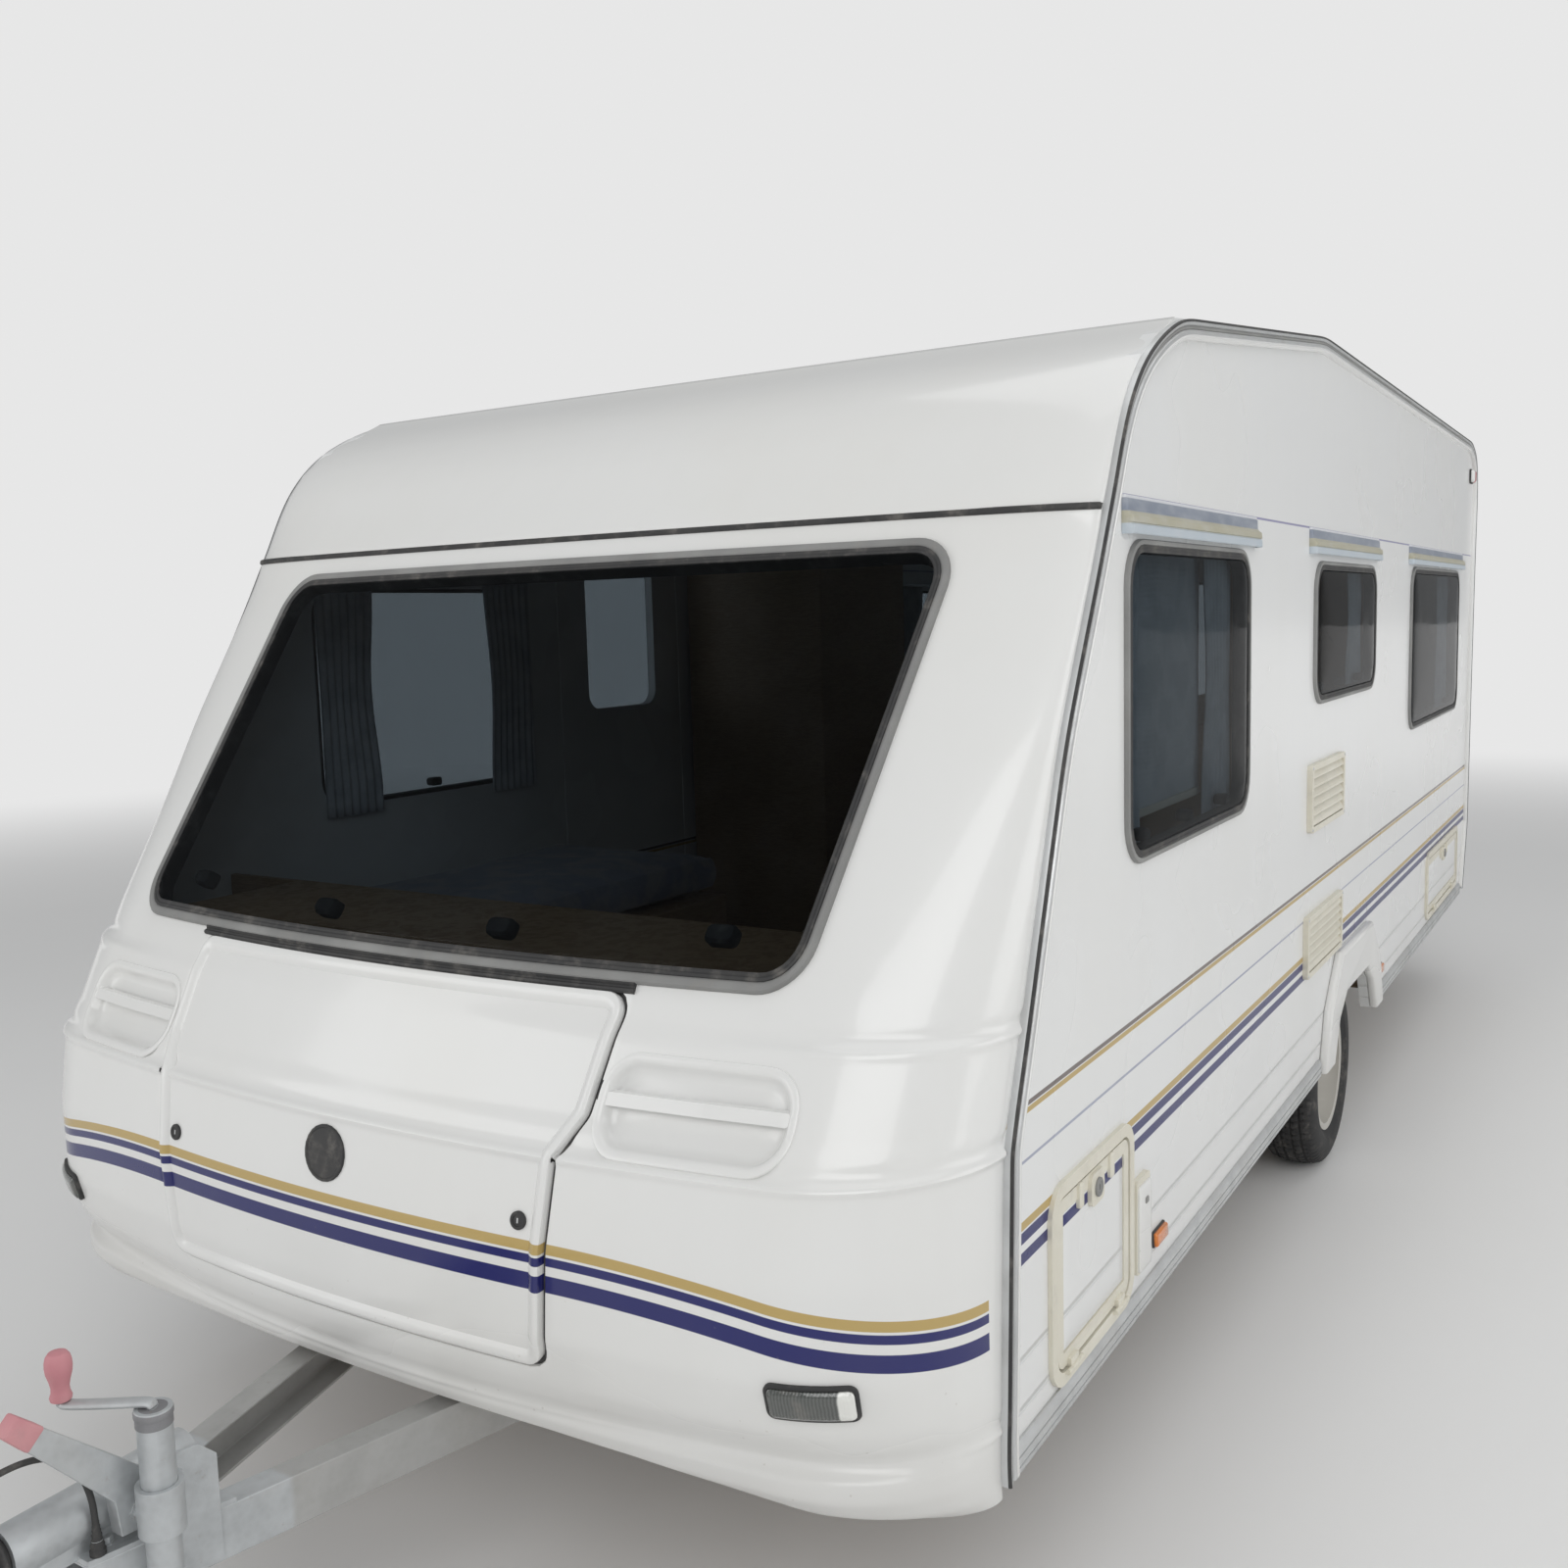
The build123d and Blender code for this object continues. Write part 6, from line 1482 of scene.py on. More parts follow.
SURROUND = mm(14, 0, 14, 4.5, 12, 8.2, 8, 9, 4.5, 8.6, 3.5, 6, -0.5, 6, -0.5, 0)
GUTTER_SECTION = mm(
    1834, 0, 1828.5, 18.5, 1830.5, 19.8, 1844, 19.2, 1845.2, 16.8, 1847.4, 16.8, 1848.4, 19,
    1860, 17.8, 1864, 12.2, 1867, 10.6, 1869, 8.8, 1888, 8, 1889, 6, 1894.5, 6, 1896, 0)


@dataclass(frozen=True)
class SideWindow:
    """One hinged side window: pane, rubber surround and catches."""

    name: str
    side: Side
    x: float
    z: float
    length: float
    tall: float

    def build(self) -> None:
        """Pane crowned by 5 mm, grey rubber lip, dark inner bead and three catches."""
        site = SideSite(self.side.value)
        hole = block(self.x, self.z, self.length / 2, self.tall / 2, 0.070)
        stack(f"pane_{self.name}", site, hole,
              mm(-30, -4, -10.5, -4, -10.5, 3, -12.5, 6.2, -20, 8, -50, 10, -100, 11.3,
                 -150, 11.8), "acrylic")
        stack(f"surround_{self.name}", site, hole, SURROUND, "seal_rubber", ring=True)
        stack(f"bead_{self.name}", site, hole,
              mm(-0.6, 0, 3, 6.2, 2.4, 7.8, -1, 8.4, -3, 7, -5, 7.2, -7.5, 8.6, -9.5, 8,
                 -10.1, 5, -10.1, -27, -0.6, -27), "gaiter_rubber", ring=True)
        for index, place in enumerate((0.13 - self.length / 2, 0.0, self.length / 2 - 0.13)):
            catch = block(self.x + place, self.z - self.tall / 2 + 0.029, 0.019, 0.011, 0.008)
            stack(f"catch_{self.name}_{index}", site, catch, mm(-3, -30, 0, -28, 0, -10, -3, -4.2),
                  "gaiter_rubber", count=40)


LEFT_WINDOWS = (
    SideWindow("left_front", Side.LEFT, NOSE_X - 1.326, 1.535, 0.806, 0.548),
    SideWindow("left_middle", Side.LEFT, NOSE_X - 2.838, 1.625, 0.836, 0.348),
    SideWindow("left_rear", Side.LEFT, NOSE_X - 4.571, 1.534, 1.209, 0.549),
)
RIGHT_WINDOWS = (
    SideWindow("right_front", Side.RIGHT, NOSE_X - 1.300, 1.535, 0.780, 0.548),
    SideWindow("right_middle", Side.RIGHT, NOSE_X - 3.420, 1.625, 0.640, 0.348),
    SideWindow("right_rear", Side.RIGHT, NOSE_X - 4.571, 1.534, 1.209, 0.549),
)
# Side, distance of the middle behind the nose, and length of each gutter
GUTTERS = ((Side.LEFT, 1.348, 0.900), (Side.LEFT, 2.826, 0.960), (Side.LEFT, 4.594, 1.370),
           (Side.RIGHT, 1.300, 0.840), (Side.RIGHT, 3.420, 0.700), (Side.RIGHT, 4.594, 1.370))


def ledge(name: str, toward: int, x: Array, section: Array, slot: str, nodes: Nodes = (),
          lift: Union[Array, float] = 1.0) -> None:
    """Section of heights and distances over a wall, carried along X and scaled by the lift.

    Args:
        name: Name of the piece.
        toward: Sign of the wall's Y.
        x: Places along X.
        section: Heights and distances over the wall.
        slot: Material slot.
        nodes: CAD nodes for which it stands.
        lift: Factor on the distance over the wall.
    """
    x = x[:, None] + 0 * section[:, 0]
    y = toward * (HALF_WIDTH + STANDOFF + lift * section[:, 1]) + 0 * x
    tube(name, np.stack([x, y, section[:, 0] + 0 * x], -1), slot, nodes=nodes)


@dataclass
class Windows:
    """All glazing with its rubber, and the gutters over the side windows."""

    gutter_end: float = 0.014
    catches: tuple = ((-0.62, 1.215), (-0.21, 1.2), (0.21, 1.2), (0.62, 1.215))
    front_hole: Outline = Outline(WINDOW_RING, 0.060)
    front_inset: float = 0.0112
    rear_inset: float = 0.0103
    pane_wall: float = 0.005

    def gutter(self, index: int, side: Side, back: float, length: float) -> None:
        """Stepped gutter whose height over the wall dies away in a quarter round at its ends.

        Args:
            index: Its number.
            side: Side of the caravan.
            back: Distance of its middle behind the nose.
            length: Length along X.
        """
        end = self.gutter_end
        ends = end * (1 - np.cos(np.linspace(0, math.pi / 2, 7)))
        s = np.concatenate([ends, np.linspace(0.02, length - 0.02, 24), length - ends[::-1]])
        place = np.minimum(s, length - s)
        lift = np.sqrt(np.clip(1 - np.clip(1 - place / end, 0, 1) ** 2, 0.0004, 1))
        ledge(f"gutter_{index}", side.value, NOSE_X - back - length / 2 + s, GUTTER_SECTION,
              "pale_blue_plastic", () if index else ("window_gutters",), lift[:, None])

    def front(self) -> None:
        """Wide front window under the brow."""
        hole = self.front_hole
        stack("front_window_surround", FRONT, hole,
              mm(16, 0, 16, 5, 13.5, 9, 7, 9.8, 4, 8, 2, 6, -2, 6, -2, 0), "seal_rubber",
              nodes=("window_seals",), ring=True, count=360)
        stack("front_window_bead", FRONT, hole,
              mm(-2.1, -1, 1.6, 6.2, 1, 8, -2.5, 8.8, -5, 7, -7.5, 8.6, -10.5, 7.5, -11, -26,
                 -2.1, -26), "gaiter_rubber", ring=True, count=360)
        skin("front_pane", FRONT, np.linspace(-0.83, 0.83, 121), np.linspace(1.158, 1.822, 50),
             ("windows",), lambda y, z: hole.distance(y, z) + self.front_inset,
             lambda y, z: 0.0068 + 0 * y, self.pane_wall, "acrylic")
        for index, (place, height) in enumerate(self.catches):
            stack(f"front_catch_{index}", FRONT, block(place, height + 0.013, 0.026, 0.013, 0.01),
                  mm(-4, -26, 0, -24, 0, -6, -4, 0.8), "gaiter_rubber", count=48)

    def rear(self) -> None:
        """Rear window."""
        stack("rear_window_surround", REAR, REAR_HOLE, SURROUND, "seal_rubber", ring=True,
              count=300)
        stack("rear_window_bead", REAR, REAR_HOLE,
              mm(-0.6, -1, 3, 6.2, 2.4, 7.8, -1, 8.4, -5, 7.2, -7.5, 8.6, -10.1, 5, -10.1, -27,
                 -0.6, -27), "gaiter_rubber", ring=True, count=300)
        skin("rear_pane", REAR, np.linspace(-0.78, 0.78, 91), np.linspace(1.24, 1.83, 41), (),
             lambda y, z: REAR_HOLE.distance(y, z) + self.rear_inset,
             lambda y, z: 0.0065 + 0 * y, self.pane_wall, "acrylic")

    def build(self) -> None:
        """Every window and gutter."""
        self.front()
        self.rear()
        for window in LEFT_WINDOWS + RIGHT_WINDOWS:
            window.build()
        for index, row in enumerate(GUTTERS):
            self.gutter(index, *row)


# Each piece of the awning rail: slot, then distance inwards from the edge and over the wall
RAIL_SECTIONS = {
    "rail": ("rail_aluminium", mm(
        0, -2, 0.4, 10, 2.2, 13.4, 6, 14, 10, 13.6, 11.8, 11.6, 12.4, 8.8, 19.6, 8.8, 20.2, 11.6,
        22, 13.6, 27, 13.8, 33.5, 12.6, 36.5, 9.2, 38, 1.2, 38, -2)),
    "insert": ("seal_rubber", mm(12.8, 8, 12.8, 9.4, 14, 10.8, 16, 11.2, 18.2, 10.8, 19.3, 9.4,
                                 19.3, 8)),
    "seal": ("gaiter_rubber", mm(0.6, 2, 0.6, 12.6, 2, 15.2, 4, 15.6, 5.6, 14.6, 6.2, 12, 6.2, 2)),
    "lip": ("white_gelcoat", mm(29, 2, 29, 13.8, 31, 15, 35, 14.6, 38.2, 11, 39.2, 5, 39.2, -2,
                                33, -2)),
}
FOOT_SECTION = mm(
    404, 0, 404, 7, 406, 8.4, 414, 8.8, 415, 6.6, 417.2, 6.6, 418.2, 9, 431, 9.6, 432, 7.2,
    434.2, 7.2, 435.2, 9.6, 442, 9.4, 448, 6.2, 452, 3.8, 452, 0)


@dataclass
class Rails:
    """Awning rails round the side walls, foot rails and the seam strip under the brow."""

    foot: float = WALL_FOOT_Z
    arch_reach: float = 0.442
    front_end: float = NOSE_X - 0.390
    rear_end: float = TAIL_X + 0.290
    seam_lift: float = 0.0025

    def side_line(self) -> tuple[Array, Array]:
        """Smooth side edge of the body from the foot in front, over the roof, to the foot behind.

        Returns:
            Points in X and Z 15 mm apart, and the inward direction at each.
        """
        heights = np.arange(self.foot, 1.872, 0.004)
        front = NOSE_X - np.interp(heights, FRONT.z_table, FRONT.table[:, 0])
        rear = REAR_ROWS[::-1][:, :2]
        corners = np.vstack([
            np.stack([front, heights], -1), BROW_ROWS[:, 1::-1] * (-1, 1) + (NOSE_X, 0),
            ROOF_PEAK, rear[:, ::-1] + (TAIL_X, 0),
            (TAIL_X + 0.240 - 0.115 * (self.foot - 0.43) / 0.27, self.foot)])
        line = along(corners)
        share = np.clip((line[:, 1] - 1.05) / 0.15, 0, 1)[:, None]
        line = (gaussian(line, 2.0) * (1 - share) + gaussian(line, 9.0) * share)[::3]
        way = unit(np.gradient(line, axis=0))
        return line, np.stack([-way[:, 1], way[:, 0]], -1)

    def build(self) -> None:
        """Both sides and the seam under the brow."""
        line, inward = self.side_line()
        for side in Side:
            for part, (slot, section) in RAIL_SECTIONS.items():
                place = line[:, None] + inward[:, None] * section[:, :1]
                y = side.value * (HALF_WIDTH + section[:, 1]) + 0 * place[..., 0]
                nodes = ("wall_rails",) if (part, side) == ("rail", Side.LEFT) else ()
                tube(f"awning_{part}_{side.word}", np.stack([place[..., 0], y, place[..., 1]], -1),
                     slot, nodes=nodes)
            for part, low, high in (("front", AXLE_X + self.arch_reach, self.front_end),
                                    ("rear", self.rear_end, AXLE_X - self.arch_reach)):
                ledge(f"foot_rail_{part}_{side.word}", side.value, np.linspace(low, high, 12),
                      FOOT_SECTION, "rail_aluminium")
        y = np.linspace(0.001 - HALF_WIDTH, HALF_WIDTH - 0.001, 241)
        top = np.full(y.shape, FRONT_TOP_Z)
        run("brow_seam", FRONT.points(y, top) + [0, 0, self.seam_lift], FRONT.normal(y, top - 0.002),
            mm(-6, -3, -6, 1.5, -3, 4, 3, 4, 6, 1.5, 6, -3), "gaiter_rubber")


@dataclass
class FrontDetail:
    """Handle recesses, lid flange, hinge strip, disc, locks and lamps of the front."""

    body: str = "gas_locker_lid"
    lock: tuple[float, float] = (0.407, 0.819)
    disc: tuple[float, float] = (0.856, 0.046)
    hinge_z: float = 1.1455
    lamp_y: tuple[float, float] = (0.805, 0.925)
    lamp_z: tuple[float, float] = (0.592, 0.648)
    marker_places: tuple = ((1.100, 0.510), (3.470, 0.500))

    def lid(self) -> None:
        """Rounded flange round the locker lid, a dark strip in its gap as painted shade, hinge strip
        along its top, disc and locks.
        """
        stack("lid_flange", FRONT, LID,
              mm(-0.4, -20, -0.4, 3, -2, 7, -6.5, 9, -12, 8.4, -18, 4.8, -23, 0.6, -25, -2,
                 -25, -20), "white_gelcoat", self.body, ring=True, count=460)
        # Dark rubber strip deep in the lid gap: painted shade that darkens the gap.
        stack("lid_seal", FRONT, LID, mm(0.6, -22, 0.6, -6, 6.8, -6, 6.8, -22), "gaiter_rubber",
              self.body, ring=True, count=460)
        y = np.linspace(-0.512, 0.512, 121)
        z = np.full(y.shape, self.hinge_z)
        run("lid_hinge_strip", FRONT.points(y, z, 0.0015), FRONT.normal(y, z),
            mm(-10, -3, -10, 1.8, -7.5, 5, -4, 5.6, -1.4, 2.4, 1.4, 2.4, 4, 5.6, 7.5, 5, 10, 1.8,
               10, -3), "gaiter_rubber", self.body)
        stack("lid_disc", FRONT, disc(0.0, *self.disc),
              mm(-10, -4, 0, -3, 0, 3, -1.2, 4.4, -4.5, 4.4, -5.8, 3, -8, 3, -20, 4, -35, 4.4),
              "gaiter_rubber", self.body, count=72)
        for side in Side:
            y, z = side.value * self.lock[0], self.lock[1]
            stack(f"lid_lock_{side.word}", FRONT, disc(y, z, 0.014),
                  mm(-6, -4, 0, -3, 0, 3.5, -1.2, 4.8, -5, 5, -5.8, 3.6, -10, 3.6),
                  "gaiter_rubber", self.body, count=40)
            stack(f"lid_keyway_{side.word}", FRONT, block(y, z, 0.0012, 0.004, 0.0008),
                  mm(0, 3, 0, 3.9, -0.4, 4), "rail_aluminium", self.body, count=24)

    def recess(self, side: Side) -> None:
        """Dished pocket with a raised lip round it.

        Args:
            side: Side of the caravan.
        """
        stack(f"handle_recess_{side.word}", FRONT,
              oblong(*side.span(*POCKET[:2]), *POCKET[2:], POCKET_CORNER),
              mm(-30, -21.5, -10, -19.5, 0, -10, 10, -3.5, 12.5, -0.5, 11.5, 2.4, 7, 3.6, 2, 2.6,
                 -2, -1.5, -5, -8, -11, -15, -20, -18, -35, -19), "white_gelcoat", count=200)

    def lamp(self, side: Side) -> None:
        """Position lamp: dark rubber bezel and a ribbed lens.

        Args:
            side: Side of the caravan.
        """
        outline = oblong(*side.span(*self.lamp_y), *self.lamp_z, 0.012)
        stack(f"front_lamp_bezel_{side.word}", FRONT, outline,
              mm(0, -4, 0, 5, -1.5, 6.8, -4.5, 6.8, -5.8, 5, -5.8, -4), "gaiter_rubber",
              ring=True, count=96)
        stack(f"front_lamp_lens_{side.word}", FRONT, outline,
              mm(-12, -4, -5.6, -3, -5.6, 8, -8, 11.2, -13, 13.2, -20, 13.8), "lamp_amber",
              nodes=("position_lamps",) if side is Side.LEFT else (), count=96)

    def markers(self) -> None:
        """Amber side markers in dark rubber."""
        corners = mm(-40, -17, 34, -17, 40, 17, -34, 17)
        for side in Side:
            for index, (back, height) in enumerate(self.marker_places):
                outline = Outline(corners + (NOSE_X - back, height), 0.006)
                stack(f"marker_base_{side.word}_{index}", SideSite(side.value), outline,
                      mm(-4, 0, 0, 0.2, 0, 3.2, -2, 4.2), "gaiter_rubber", count=60)
                stack(f"marker_lens_{side.word}_{index}", SideSite(side.value, HALF_WIDTH + 0.003),
                      outline, mm(-6, 0, -3, 0.2, -3, 5, -5.5, 8, -9, 8.8), "lamp_amber",
                      count=60)

    def build(self) -> None:
        """All details of the front."""
        self.lid()
        for side in Side:
            self.recess(side)
            self.lamp(side)
        self.markers()


@dataclass
class Hatches:
    """Service doors with their white panels and locks, the inlet flap and the vents' screws."""

    doors: tuple = (("front", 0.738, 0.625, 0.385, 0.325), ("rear", 4.888, 0.597, 0.860, 0.250))
    vents: tuple = ((2.568, 1.196, 0.425, 0.178), (2.553, 0.806, 0.450, 0.165))
    rim: float = 0.015 + 0.005 + 0.024 + 0.0015
    corner: float = 0.006
    lock_drop: float = 0.051
    lug_reach: float = 0.075
    inlet_place: tuple[float, float] = (NOSE_X - 0.985, 0.578)

    def door(self, name: str, back: float, middle: float, length: float, tall: float) -> None:
        """White panel let into the door, a grey oval lock on its boss and two finger lugs.

        Args:
            name: Which door.
            back: Distance of its middle behind the nose.
            middle: Height of its middle.
            length: Length along X.
            tall: Height of the door.
        """
        body, x = f"service_door_{name}", NOSE_X - back
        stack(f"{body}_panel", SideSite(1, HALF_WIDTH + 0.002),
              block(x, middle, length / 2 - self.rim, tall / 2 - self.rim, self.corner),
              mm(-4, -1, 0, 0.2, 0, 1.2, -1.5, 2, -30, 2.2), "white_sheet", body, count=120)
        z = middle + tall / 2 - self.lock_drop
        boss = SideSite(1, HALF_WIDTH + 0.012)
        stack(f"{body}_lock", boss, disc(x, z, 0.0165),
              mm(-4, -1, 0, 0, 0, 3, -1.5, 4.2, -6, 4.2, -7, 2.8, -12, 2.8), "seal_rubber", body,
              count=48)
        stack(f"{body}_keyway", boss, block(x, z, 0.001, 0.005, 0.0006),
              mm(0, 2.4, 0, 3.1, -0.3, 3.2), "gaiter_rubber", body, count=20)
        for letter, place in (("a", x - self.lug_reach), ("b", x + self.lug_reach)):
            stack(f"{body}_lug_{letter}", SideSite(1, HALF_WIDTH + 0.0062),
                  block(place, z + 0.012, 0.009, 0.022, 0.005),
                  mm(0, -2, 0, 4, -2, 5.8, -5, 6.2), "cream_plastic", body, count=40)

    def inlet(self) -> None:
        """Whitish flap of the mains inlet with a dark catch."""
        (x, z), site = self.inlet_place, SideSite(1, HALF_WIDTH + 0.010)
        stack("inlet_flap", site, oblong(x - 0.034, x + 0.034, z - 0.086, z + 0.078, 0.009),
              mm(-4, -1, 0, 0, 0, 3, -2, 4.8, -8, 5.6, -20, 6), "white_gelcoat", count=90)
        stack("inlet_catch", site, block(x, z + 0.046, 0.008, 0.006, 0.003),
              mm(-2, 4, 0, 4.5, 0, 7.2, -2, 8.4), "seal_rubber", count=28)

    def build(self) -> None:
        """Both doors, the inlet and a screw in each corner of the vents."""
        for row in self.doors:
            self.door(*row)
        self.inlet()
        for number, (back, height, length, tall) in enumerate(self.vents):
            for index, (sx, sz) in enumerate(((-1, -1), (1, -1), (1, 1), (-1, 1))):
                stack(f"vent_screw_{number}_{index}", SideSite(1, HALF_WIDTH + 0.014),
                      disc(NOSE_X - back + sx * (length / 2 - 0.009),
                           height + sz * (tall / 2 - 0.008), 0.0042, 12),
                      mm(-1, -1, 0, 0, -0.8, 1.4, -2.4, 1.9), "rail_aluminium", count=16)


@dataclass
class Wheel:
    """One wheel: grooved tyre, rim with softened edges, bolts and centre cap."""

    side: Side
    blocks: int = 74
    steps: int = 444
    grooves: tuple[float, ...] = (-0.041, -0.0145, 0.0145, 0.041)
    bolt_circle: float = 0.050
    bolt_y: float = 0.868
    groove_half: float = 0.0026
    groove_depth: float = 0.0072
    cut_depth: float = 0.0050
    rib_width: float = 0.027
    shoulder_y: float = 0.0755

    def tyre(self) -> None:
        """Tyre turned about the axle.

        The radius at angle t and offset y from the middle is the crown's radius less the grooves:
        four round grooves 7 mm wide and 7 mm deep, and slanted cuts between the blocks, which
        swap their slant from rib to rib and die out past the shoulder.
        """
        outer = mm(-63.5, 168.3, -65.5, 170, -66.8, 179, -67, 183.5, -69, 187, -73.5, 193,
                   -79, 205, -79.8, 206, -81.2, 212, -82.2, 221, -82.5, 232, -82.2, 240,
                   -80.6, 250, -78, 258, -74.5, 266, -70, 273, -66, 277.5, -63, 280.2)
        crown = np.linspace(-0.060, 0.060, 49)
        crown = np.stack([crown, 0.2896 - 0.0085 * (np.abs(crown) / 0.060) ** 2.6], -1)
        table = np.vstack([outer, crown, outer[::-1] * (-1, 1), mm(50, 168.3, -50, 168.3)])
        y, r = table[:, :1], table[:, 1:]
        t = np.linspace(0, math.tau, self.steps, endpoint=False)
        groove = 1.6 - np.abs(y - np.array(self.grooves)) / self.groove_half
        groove = np.clip(groove, 0, 1).max(1, keepdims=True)
        rib = np.floor((y + 0.0545) / self.rib_width)
        slant = np.where(rib % 2 == 0, 1.0, -1.0) * y * 55.0 + rib * 1.9
        cut = np.clip((np.cos(self.blocks * t + slant) - 0.62) / 0.16, 0, 1)
        shoulder = np.clip((self.shoulder_y - np.abs(y)) / 0.006, 0, 1) * (r > 0.262)
        r = (r - self.groove_depth * groove * (r > 0.27)
             - (1 - groove) * self.cut_depth * cut * shoulder)
        tube(f"tyre_tread_{self.side.word}",
             np.stack([AXLE_X + r * np.cos(t), self.side.value * WHEEL_Y + y + 0 * t,
                       TYRE_R + r * np.sin(t)], -1),
             "tyre_rubber", f"wheel_{self.side.word}", (f"tyre_{self.side.word}",), True)

    def build(self) -> None:
        """Tyre, rim, hub, five wheel bolts, a cap over the hub and the valve."""
        word, sign = self.side.word, self.side.value
        self.tyre()
        soften(f"rim_{word}", 0.0022, 24.0)
        soften(f"hub_{word}", 0.0015)
        fittings = [(f"wheel_bolt_{word}_{index}", self.bolt_circle * math.cos(angle), self.bolt_y,
                     self.bolt_circle * math.sin(angle), "galvanised", 6,
                     mm(0, -2, 12.5, -2, 13, 4, 10.5, 4.8, 9.8, 15, 8.2, 17, 0, 17.2))
                    for index, angle in enumerate(np.radians(18 + 72 * np.arange(5)))]
        fittings += [
            (f"hub_cap_{word}", 0.0, 0.896, 0.0, "seal_rubber", 48,
             mm(0, -4, 30, -4, 31.2, 0, 30, 3.5, 28.5, 4, 27, 6.2, 20, 7.4, 0, 7.8)),
            (f"valve_{word}", 0.118, 0.905, 0.045, "gaiter_rubber", 20,
             mm(0, -12, 6, -12, 5.5, 0, 3.4, 10, 3.4, 24, 4.8, 24.5, 4.8, 34, 0, 36))]
        for name, x, y, z, slot, count, profile in fittings:
            turn(name, (AXLE_X + x, sign * y, TYRE_R + z), profile, slot, f"wheel_{word}",
                 (0, sign, 0), count=count)


